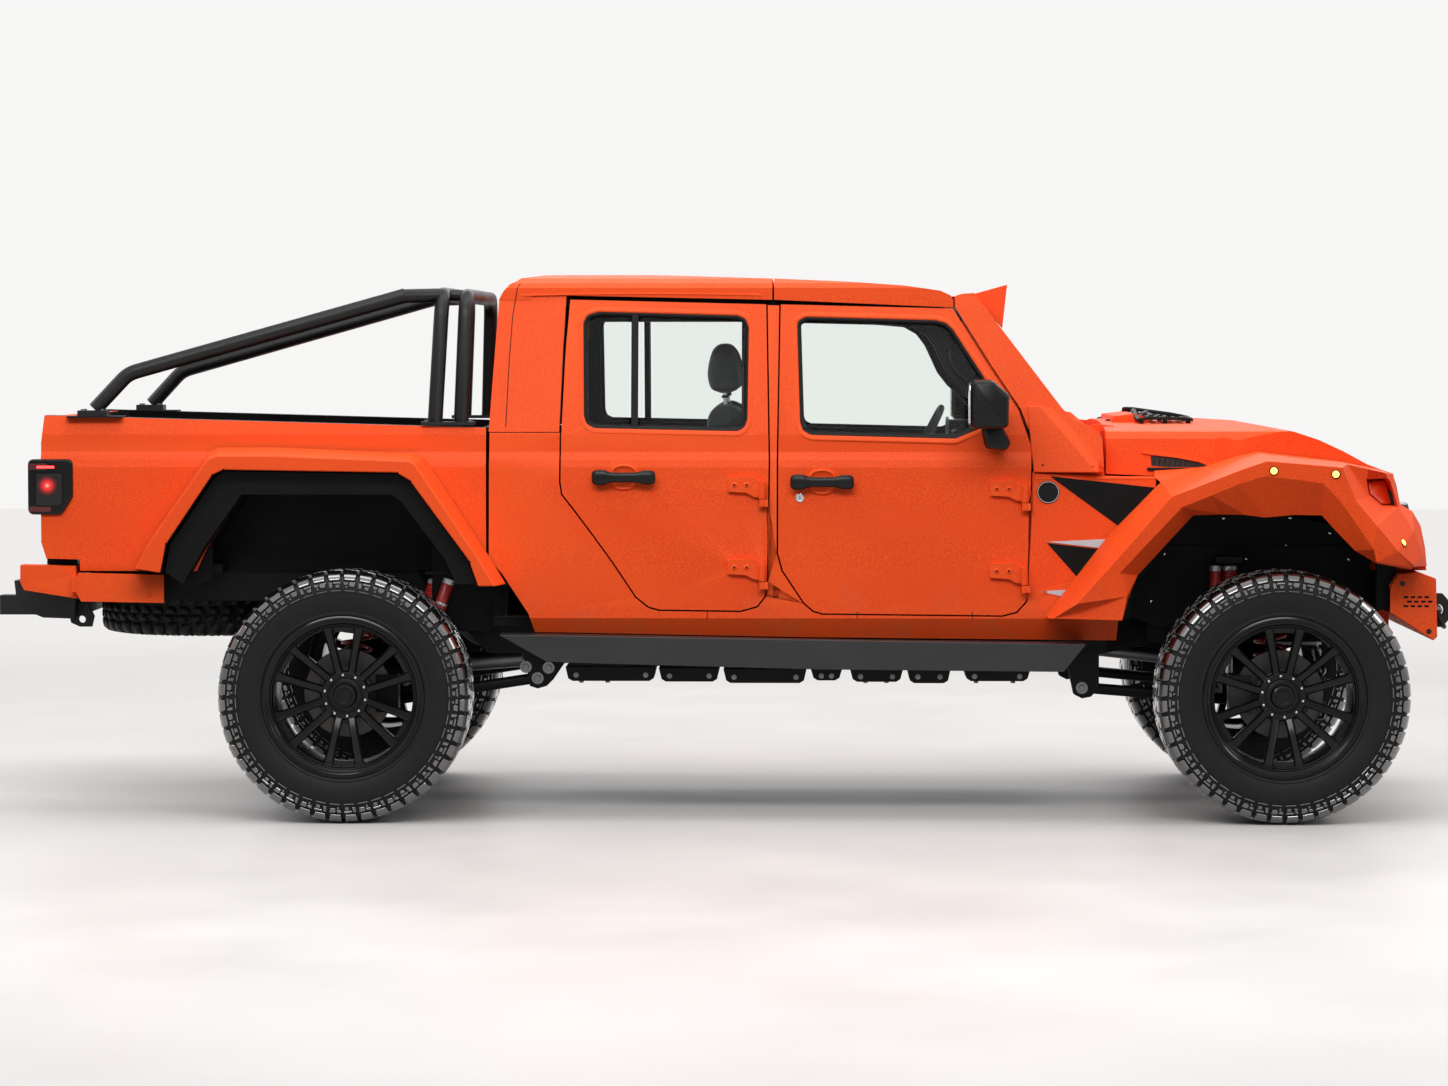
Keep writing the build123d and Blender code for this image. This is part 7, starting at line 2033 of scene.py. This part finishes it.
for s in (-1, 1):                                                           # foot plates and bolts of the bed bar
    for x0, x1, z in ((-1110, -910, 1488), (-2400, -2290, 1530)):
        for x in (x0 + 18, x1 - 18):
            for dy in (-30, 30):
                bd.bolt((x, s * 745 + dy, z), (0, 0, 1), 7, 6, 2)
    bd.loft([[(-2410 + a, s * (745 + b), 1507 + c) for a, b in rounded([(-30, -62), (180, -62), (180, 62), (-30, 62)], 12, 3)] for c in (-4, 2)], 1)
# fuel filler door on the left side
fy = skin(1180)
bd.lathe([(0, 0), (86, 0), (86, 2.4), (83, 4.2), (78, 4.6), (0, 4.6)], (-1010, fy - 1, 1205), (0, 1, 0), 48, 3, closed=False)
bd.lathe([(87, 0.2), (90, 0.2), (90, 1.6), (87, 1.6)], (-1010, fy - 1, 1205), (0, 1, 0), 48, 1, closed=True)
put(bd, "bed_fittings", "body", [M_LINER, M_TRIM, M_STEEL, M_PAINT], "trim", bevel=1.2, seg=1, sharp=32)

# ------------------------------------------------------------------ spare wheel under the bed
SP = np.array([[0.934, 0, 0, -1990.0], [0, 0, 0.934, 0.0], [0, -0.70, 0, 775.0], [0, 0, 0, 1.0]])


def spare(src, name, mats, ratio, extra=()):
    me = to_mesh(Mb().merge(src, SP), name, 30, True, 0.01)
    o = bpy.data.objects.new(name, me)
    SCENE.collection.objects.link(o)
    for m in mats:
        me.materials.append(m)
    lighter(o, ratio)
    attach(o, "body")
    if extra:
        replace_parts(o, *extra)
    return o


spare(TYRE, "spare_tyre_v", [M_WALL, M_WALL], 0.34, ["spare_wheel"])
spare(WHEEL, "spare_rim_v", [M_RIM, M_BRIGHT, M_ALLOY, M_BADGE], 0.3)

# ------------------------------------------------------------------ nose: grille mesh, head lamps, bumper fittings
gp = Mb()
gp.box(2508, 2512, -600, 600, 940, 1212, 0)
for k in range(9):
    gp.box(2512, 2516, -560, 560, 960 + 28 * k, 962 + 28 * k, 1)
for s in (-1, 1):
    gp.box(2480, 2506, s * 600, s * 380, 1000, 1170, 1) if s > 0 else gp.box(2480, 2506, -600, -380, 1000, 1170, 1)
put(gp, "grille_mesh", "body", [M_MESH, M_TRIM], "trim", bevel=0)

hl = Mb()
for s in (-1, 1):
    c, d = (2500, s * 470, 1085), (1, 0, 0)
    hl.lathe([(91, 0), (91, 100), (91.5, 116), (89, 121), (84, 121), (81, 114), (80, 104), (70, 60), (44, 34), (40, 10), (40, 0)], c, d, 56, 0, closed=True)
    hl.lathe([(78, 96), (79.5, 103), (76, 104), (68, 62), (66, 60)], c, d, 56, 2, closed=False)
    hl.lathe([(39, 30), (39, 62), (35, 66), (35, 30)], c, d, 40, 0, closed=True)
    hl.dome((2556, s * 470, 1085), (1, 0, 0), 35, 20, 3, seg=36, rings=7)
    for a in range(0, 360, 30):                                            # small reflector cells
        t = math.radians(a)
        hl.dome((2552, s * 470 + 57 * math.cos(t), 1085 + 57 * math.sin(t)), (1, 0, 0), 9, 5, 1, seg=14, rings=3)
    hl.lathe([(70, 98), (76, 98), (76, 103), (70, 103)], c, d, 56, 4, closed=True)
put(hl, "headlight_bodies", "body", [M_GLOSS, M_REFLECT, M_REFLECT, M_LENS, M_SILVER], "trim", bevel=0, sharp=34)
hg = Mb()
for s in (-1, 1):
    rows = [(0.0, 119.5), (30, 118.6), (55, 116), (72, 112), (82, 107)]
    hg.lathe(rows + [(82, 104)] + [(r, h - 3) for r, h in reversed(rows[:-1])], (2500, s * 470, 1085), (1, 0, 0), 56, 0, closed=False)
put(hg, "headlights_v", "body", M_LENS, "lamp_clear", sharp=40, replaces=["headlights"])

fb_ = Mb()
FBN = ["front_bumper"]
fx = lambda y, z: (hit(FBN, (3200, y, z), (-1, 0, 0)) or Vector((2704, y, z)))[0]
# winch opening with roller guide
x = fx(0, 780)
fb_.loft([[(x - 3, a, 782 + b) for a, b in rounded([(-190, -52), (190, -52), (190, 52), (-190, 52)], 16, 4)], [(x + 7, a, 782 + b) for a, b in rounded([(-184, -46), (184, -46), (184, 46), (-184, 46)], 16, 4)]], 0)
fb_.loft([[(x + 6.5, a, 782 + b) for a, b in rounded([(-128, -26), (128, -26), (128, 26), (-128, 26)], 10, 4)], [(x + 8, a, 782 + b) for a, b in rounded([(-128, -26), (128, -26), (128, 26), (-128, 26)], 10, 4)]], 3)
for z in (760, 804):
    fb_.rod((x + 16, -118, z), (x + 16, 118, z), 11, 24, 2, edge=2)
for y in (-132, 132):
    fb_.rod((x + 20, y, 738), (x + 20, y, 826), 11, 24, 2, edge=2)
for y in (-160, 160):
    for z in (752, 812):
        fb_.bolt((x + 7, y, z), (1, 0, 0), 8, 7, 2)
for y in (-300, 300):                                                       # fog lamps
    x = fx(y, 790)
    fb_.lathe([(46, -4), (46, 8), (42, 12), (37, 12), (35, 6), (30, -2), (0, -2)], (x, y, 790), (1, 0, 0), 40, 1, closed=False)
    fb_.lathe([(0, 8.5), (18, 8), (34, 6)], (x, y, 790), (1, 0, 0), 40, 4, closed=False)
    for a in range(0, 360, 60):
        t = math.radians(a)
        fb_.dome((x, y + 19 * math.cos(t), 790 + 19 * math.sin(t)), (1, 0, 0), 7.5, 4, 4, seg=14)
    fb_.dome((x, y, 790), (1, 0, 0), 9, 5, 4, seg=16)
for s in (-1, 1):                                                           # shackles on the tow hooks
    for y in (s * 450,):
        fb_.rod((2744, y - 30, 766), (2744, y + 30, 766), 14, 24, 2, edge=2)
        fb_.rod((2744, y + 24, 766), (2744, y + 38, 766), 20, 24, 0, edge=3)
        fb_.tube(smooth_path([(2744, y - 26, 766), (2744, y - 28, 742), (2760, y - 26, 712), (2770, y, 700), (2760, y + 26, 712), (2744, y + 28, 742), (2744, y + 26, 766)], 14), 9, 14, 0)
for s in (-1, 1):                                                           # punched slots in the end plates
    for i in range(4):
        for j in range(3):
            cx, cz = 2588 + 26 * i + (13 if j % 2 else 0), 812 + 17 * (j - 1)
            fb_.loft([[(cx + a, s * 704, cz + b) for a, b in rounded([(-9, -4), (9, -4), (9, 4), (-9, 4)], 3.9, 3)], [(cx + a, s * 705.8, cz + b) for a, b in rounded([(-9, -4), (9, -4), (9, 4), (-9, 4)], 3.9, 3)]], 3)
    fb_.bolt((2575, s * 705, 880), (0, s, 0), 7, 5, 0)
    fb_.bolt((2675, s * 705, 700), (0, s, 0), 7, 5, 0)
put(fb_, "front_bumper_details", "body", [M_POWDER, M_TRIM, M_STEEL, M_LINER, M_REFLECT], "black_metal", bevel=1.0, seg=1, sharp=34)

# wipers at the foot of the windscreen, mirror inside
wp = Mb()
for y0, y1 in ((330, 560), (-90, -320)):
    a = hit(["cowl", "hood", "windshield_frame", "cab_glass"], (1330, y0, 2400), (0, 0, -1))
    z0 = a[2] if a is not None else 1500
    wp.rod((1330, y0, z0 - 4), (1330, y0, z0 + 20), 12, 20, 0, edge=3)
    tip = hit(["cab_glass"], (1700, y0 - 190, 1634), (-1, 0, 0))
    tx = tip[0] if tip is not None and tip[0] > 1000 else 1222
    wp.tube([(1330, y0, z0 + 14), (1318, y0 - 50, z0 + 34), (tx + 16, y0 - 190, 1634)], 5.5, 10, 0)
    b0, b1 = (y0 - 20, y0 - 360)
    pts = []
    for k in range(9):
        y = b0 + (b1 - b0) * k / 8
        z = 1612 + 40 * k / 8
        q = hit(["cab_glass"], (1700, y, z), (-1, 0, 0))
        if q is not None and q[0] > 1000:
            pts.append((q[0] + 5, y, z))
    if len(pts) > 3:
        wp.strip(pts, [(-4, -4), (4, -4), (5, 4), (2, 9), (-2, 9), (-5, 4)], (0.86, 0, 0.5), 0)
wp.prism([(1042, 1824), (1070, 1830), (1062, 1882), (1034, 1876)], "y", -112, 112, 0)
put(wp, "wipers_and_mirror", "body", [M_TRIM], "trim", bevel=2, sharp=34)


# ------------------------------------------------------------------ seals over the doors, pillar pads, inner wings, hardtop joint
pd = Mb()
rows_z = (1918, 1932, 1946, 1958)
for x0, x1 in ((-590, 148), (152, 958)):
    pd.loft([[(x, -(skin(z) - 66), z) for z in rows_z] + [(x, -(skin(z) - 58), z) for z in reversed(rows_z)] for x in (x0, x1)], 0)
pd.loft([[(x, -(skin(z) - 66), z) for z in rows_z] + [(x, -(skin(z) - 58), z) for z in reversed(rows_z)] for x in (140, 165)], 0)
pad = rounded([(560, 1893), (700, 1893), (860, 1872), (925, 1775), (1000, 1655), (1088, 1518), (1100, 1470), (1040, 1470), (962, 1560), (905, 1612), (866, 1662), (815, 1772),
               (780, 1818), (730, 1846), (560, 1860)], 22, 4)
pd.loft([[(x, y, z) for x, z in (inset(pad, d) if d else pad)] for y, d in ((-560, 6), (-566, 0), (-594, 0), (-600, 6))], 0)
pd.tube(smooth_path([(893, -598, 1772), (872, -626, 1752), (884, -630, 1700), (918, -630, 1652), (948, -598, 1634)], 30), 10, 14, 1)
put(pd.both(), "cabin_seals_and_pads", "body", [M_SEAL, M_TRIM], "trim", bevel=2, sharp=34)

iw = Mb()
iw.prism([(1560, 742), (1560, 1012), (2500, 1012), (2500, 742), (2380, 700), (1680, 700)], "y", -476, -470, 0)
iw.prism([(2484, 770), (2484, 1050), (2556, 1050), (2560, 915), (2545, 860), (2545, 790)], "y", -650, -500, 0)
iw.prism([(1500, 742), (1500, 1012), (1562, 1012), (1562, 742)], "y", -640, -470, 0)
for x, z in ((2010, 960), (1700, 980), (2400, 960), (2300, 820), (1650, 800)):
    iw.dome((x, -476, z), (0, -1, 0), 6, 3, 1, seg=12)
iw.prism([(-1085, 690), (-1085, 1010), (-850, 1010), (-850, 690)], "y", -606, -600, 0)
iw.prism([(-2260, 800), (-2260, 1090), (-1900, 1110), (-1900, 900), (-2100, 800)], "y", -742, -736, 0)
put(iw.both(), "inner_wing_panels", "body", [M_LINER, M_BRIGHT], "trim", bevel=2, sharp=34)

hs = Mb()
pts = [(-741, 2006), (-752, 1990), (-770, 1880), (-782, 1700), (-792, 1468)]
pp = []
for i in range(len(pts) - 1):
    for k in range(6):
        t = k / 6
        pp.append((pts[i][0] * (1 - t) + pts[i + 1][0] * t, pts[i][1] * (1 - t) + pts[i + 1][1] * t))
pp.append(pts[-1])
path = []
for x, z in pp:
    q = hit(["hardtop"], (x, -1400, z), (0, 1, 0))
    if q is not None:
        path.append((x, q[1] - 0.2, z))
if len(path) > 4:
    hs.strip(path, [(-1.6, -1.0), (1.6, -1.0), (1.6, 0.5), (-1.6, 0.5)], (0, -1, 0.1), 0)
rail = []
for k in range(25):
    x = -735 + (206 + 735) * k / 24
    z = 1962 + 6 * math.sin(math.pi * k / 24)
    q = hit(["hardtop"], (x, -1400, z), (0, 1, 0))
    if q is not None:
        rail.append((x, q[1], z))
if len(rail) > 4:
    hs.strip(rail, [(-3.5, -2), (3.5, -2), (2.6, 2.6), (-1.5, 3.4), (-3.2, 2.0)], (0, -1, 0.1), 1)
put(hs.both(), "hardtop_joints", "body", [M_SEAL, M_PAINT], "body_paint", bevel=0, sharp=30)


def top_corner(x, y, z):
    """Rear upper corner of the hardtop drawn in to a rounded line."""
    if z > 1925 and x < -700:
        x = max(x, float(np.interp(z, [1934, 1976, 2004, 2021], [-828, -806, -781, -743])))
    return x, y, z


def roof_pick(c, n):
    if n.z < -0.5 and c.z > 1880:
        return 1
    if abs(c.y) < 700 and abs(n.y) > 0.6 and n.y * c.y < 0:
        return 1
    return 0


from_cad("hardtop", [M_PAINT, M_HEADLINER], "body_paint", bevel=9, angle=8, seg=3, pick=roof_pick, levels=(1934, 1960, 1976, 1990, 2004, 2014), shape=top_corner)


# ------------------------------------------------------------------ under the hood
eb = Mb()
cov = rounded([(1440, -205), (1990, -190), (1990, 190), (1440, 205)], 34, 5)
eb.loft([[(x, y, z) for x, y in (inset(cov, d) if d else cov)] for z, d in ((1224, 0), (1246, 0), (1258, 6), (1264, 16))], 0)
for k in range(7):
    y = -126 + 42 * k
    eb.loft([[(x, y + a, z) for a, z in ((-11, 1262), (-8, 1271), (8, 1271), (11, 1262))] for x in (1500, 1930)], 0)
eb.rod((1470, 120, 1262), (1470, 120, 1284), 26, 28, 0, edge=4)
bat = rounded([(1490, 300), (1712, 300), (1712, 455), (1490, 455)], 10, 3)
eb.loft([[(x, y, z) for x, y in (inset(bat, d) if d else bat)] for z, d in ((1000, 0), (1168, 0), (1170, 4), (1192, 4), (1196, 8))], 1)
for y in (330, 425):
    eb.rod((1520, y, 1194), (1520, y, 1212), 9, 16, 2, edge=1.5)
air = rounded([(1500, -460), (1790, -460), (1790, -300), (1500, -290)], 22, 4)
eb.loft([[(x, y, z) for x, y in (inset(air, d) if d else air)] for z, d in ((1000, 8), (1010, 0), (1118, 0), (1120, -5), (1132, -5), (1134, 2), (1196, 10), (1204, 20))], 1)
eb.tube(smooth_path([(1780, -380, 1150), (1870, -370, 1175), (1930, -280, 1200), (1960, -180, 1210), (1940, -120, 1235)], 60), 38, 24, 0)
tank = rounded([(1850, 310), (1990, 310), (1990, 430), (1850, 430)], 20, 4)
eb.loft([[(x, y, z) for x, y in (inset(tank, d) if d else tank)] for z, d in ((1010, 6), (1020, 0), (1130, 0), (1146, 10))], 4)
eb.rod((1920, 370, 1140), (1920, 370, 1168), 24, 24, 0, edge=3)
eb.box(2436, 2476, -330, 330, 800, 1178, 0)
for k in range(30):
    z = 822 + 11.6 * k
    eb.box(2430, 2437, -300, 300, z, z + 2.4, 2)
for y in (-330, 330):
    eb.loft([[(x, y + a, z) for x, z in ((2424, 790), (2484, 790), (2484, 1186), (2424, 1186))] for a in (-24, 24)], 1)
eb.lathe([(0, 30), (40, 30), (46, 22), (46, 0), (210, 0), (214, 16), (222, 16), (224, -26), (216, -26), (208, -8), (60, -8), (0, -8)], (2390, 0, 985), (-1, 0, 0), 56, 1, closed=False)
for k in range(7):
    a = 2 * math.pi * k / 7
    e, f = np.array((0, math.cos(a), math.sin(a))), np.array((0, -math.sin(a), math.cos(a)))
    c0 = np.array((2376.0, 0, 985.0))
    eb.loft([[c0 + e * r + f * w + np.array((dx, 0, 0)) for w, dx in ((-t, -s_), (t, s_), (t, s_ + 3), (-t, -s_ + 3))] for r, t, s_ in ((44, 18, 12), (120, 30, 9), (206, 34, 6))], 0)
put(eb, "engine_bay_details", "body", [M_TRIM, M_DASH, M_STEEL, M_LINER, M_SILVER], "trim", bevel=1.5, seg=1, sharp=34)


# ------------------------------------------------------------------ pieces that keep the frame's own shape
def keep(node, mats, slot, **kw):
    if node in DONE:
        return None
    return from_cad(node, mats, slot, **kw)


def ws_pick(c, n):
    """Inner faces and the reveals of the glass are black."""
    if c.z < 1925 and (n.x < -0.4 or (abs(n.y) > 0.8 and abs(c.y) < 620)):
        return 1
    return 0


def rf_pick(c, n):
    """The rear flares' inner faces and the edges that look at the wheel are liner."""
    if n.y * c.y < 0 and abs(n.y) > 0.5:
        return 1
    dx, dz = -1700 - c.x, 480 - c.z
    if abs(n.y) < 0.5 and n.x * dx + n.z * dz > 0.45 * math.hypot(dx, dz):
        return 1
    return 0


DONE = set()
for o in SCENE.objects:
    for n in o.get("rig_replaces", []):
        DONE.add(n)
keep("frame", M_FRAME, "chassis", bevel=5)
keep("front_axle", M_FRAME, "chassis", bevel=4)
keep("rear_axle", M_FRAME, "chassis", bevel=4)
keep("control_arms", M_FRAME, "chassis", bevel=3)
keep("cab_floor", M_CARPET, "chassis", bevel=4)
keep("engine", M_CAST, "cast", bevel=12)
keep("gearbox", M_CAST, "cast", bevel=8)
keep("knuckle_left", M_CAST, "cast", bevel=3)
keep("knuckle_right", M_CAST, "cast", bevel=3)
keep("driveshafts", M_STEEL, "steel", bevel=2)
keep("exhaust", M_STEEL, "steel", bevel=2)
keep("tie_rod", M_STEEL, "steel", bevel=2)
keep("drag_link", M_STEEL, "steel", bevel=2)
keep("pitman_arm", M_STEEL, "steel", bevel=3)
keep("fuel_tank", M_TRIM, "trim", bevel=10)
keep("springs_and_shocks", M_RED, "red_spring", bevel=2)
keep("windshield_frame", [M_PAINT, M_SEAL], "body_paint", bevel=5, angle=8, seg=3, pick=ws_pick)
keep("cowl", M_PAINT, "body_paint", bevel=5, angle=15, seg=3)
keep("hardtop", [M_PAINT, M_HEADLINER, M_SEAL], "body_paint", bevel=9, angle=8, seg=3, pick=roof_pick)
keep("roof_panels", [M_PAINT, M_HEADLINER, M_SEAL], "body_paint", bevel=9, angle=8, seg=3, pick=roof_pick)
keep("front_fenders", M_PAINT, "body_paint", bevel=6, angle=8, seg=3)
keep("grille", M_PAINT, "body_paint", bevel=5, angle=15, seg=3)
keep("bed", M_PAINT, "body_paint", bevel=6, angle=8, seg=3)
keep("rear_flares", [M_PAINT, M_LINER], "body_paint", bevel=6, angle=8, seg=3, pick=rf_pick)
keep("front_bumper", [M_PAINT, M_POWDER], "body_paint", bevel=6, angle=12, seg=3, pick=lambda c, n: 1 if (abs(abs(c.y) - 450) < 45 and c.x > 2702) or c.x < 2530 else 0)
keep("hood", M_PAINT, "body_paint", bevel=10, angle=8, seg=3)
keep("tailgate", M_PAINT, "body_paint", bevel=6, angle=12, seg=3)
for d in ("front_right", "front_left", "rear_right", "rear_left"):
    keep("door_" + d, [M_PAINT, M_HANDLE], "body_paint", bevel=5, angle=8, seg=3)
    keep("window_" + d, M_GLASS, "glass", bevel=0)
keep("cab_glass", M_GLASS, "glass", bevel=0)
keep("seats", M_CLOTH, "seat_fabric", bevel=14)
keep("dashboard", M_DASH, "trim", bevel=14)
keep("roll_cage", M_TRIM, "trim", bevel=2)
keep("wheel_liners", M_LINER, "trim", bevel=4)
keep("steering_wheel", M_DASH, "trim", bevel=6)
keep("headlights", M_LENS, "lamp_clear", bevel=3)
keep("taillights", M_REDLENS, "lamp_red", bevel=5)
keep("bed_bar", M_POWDER, "black_metal", bevel=3)
keep("rear_bumper", M_POWDER, "black_metal", bevel=5)
keep("side_sliders", M_SLIDER, "black_metal", bevel=5)
keep("spare_wheel", M_WALL, "tyre", bevel=5)
for d in ("front_right", "front_left", "rear_right", "rear_left"):
    keep("wheel_" + d, M_RIM, "wheel_black", bevel=3)
    keep("tyre_" + d, M_WALL, "tyre", bevel=3)

for name, o in NODES.items():
    if not o.hide_render and not o.data.materials:
        o.data.materials.append(M_TRIM)
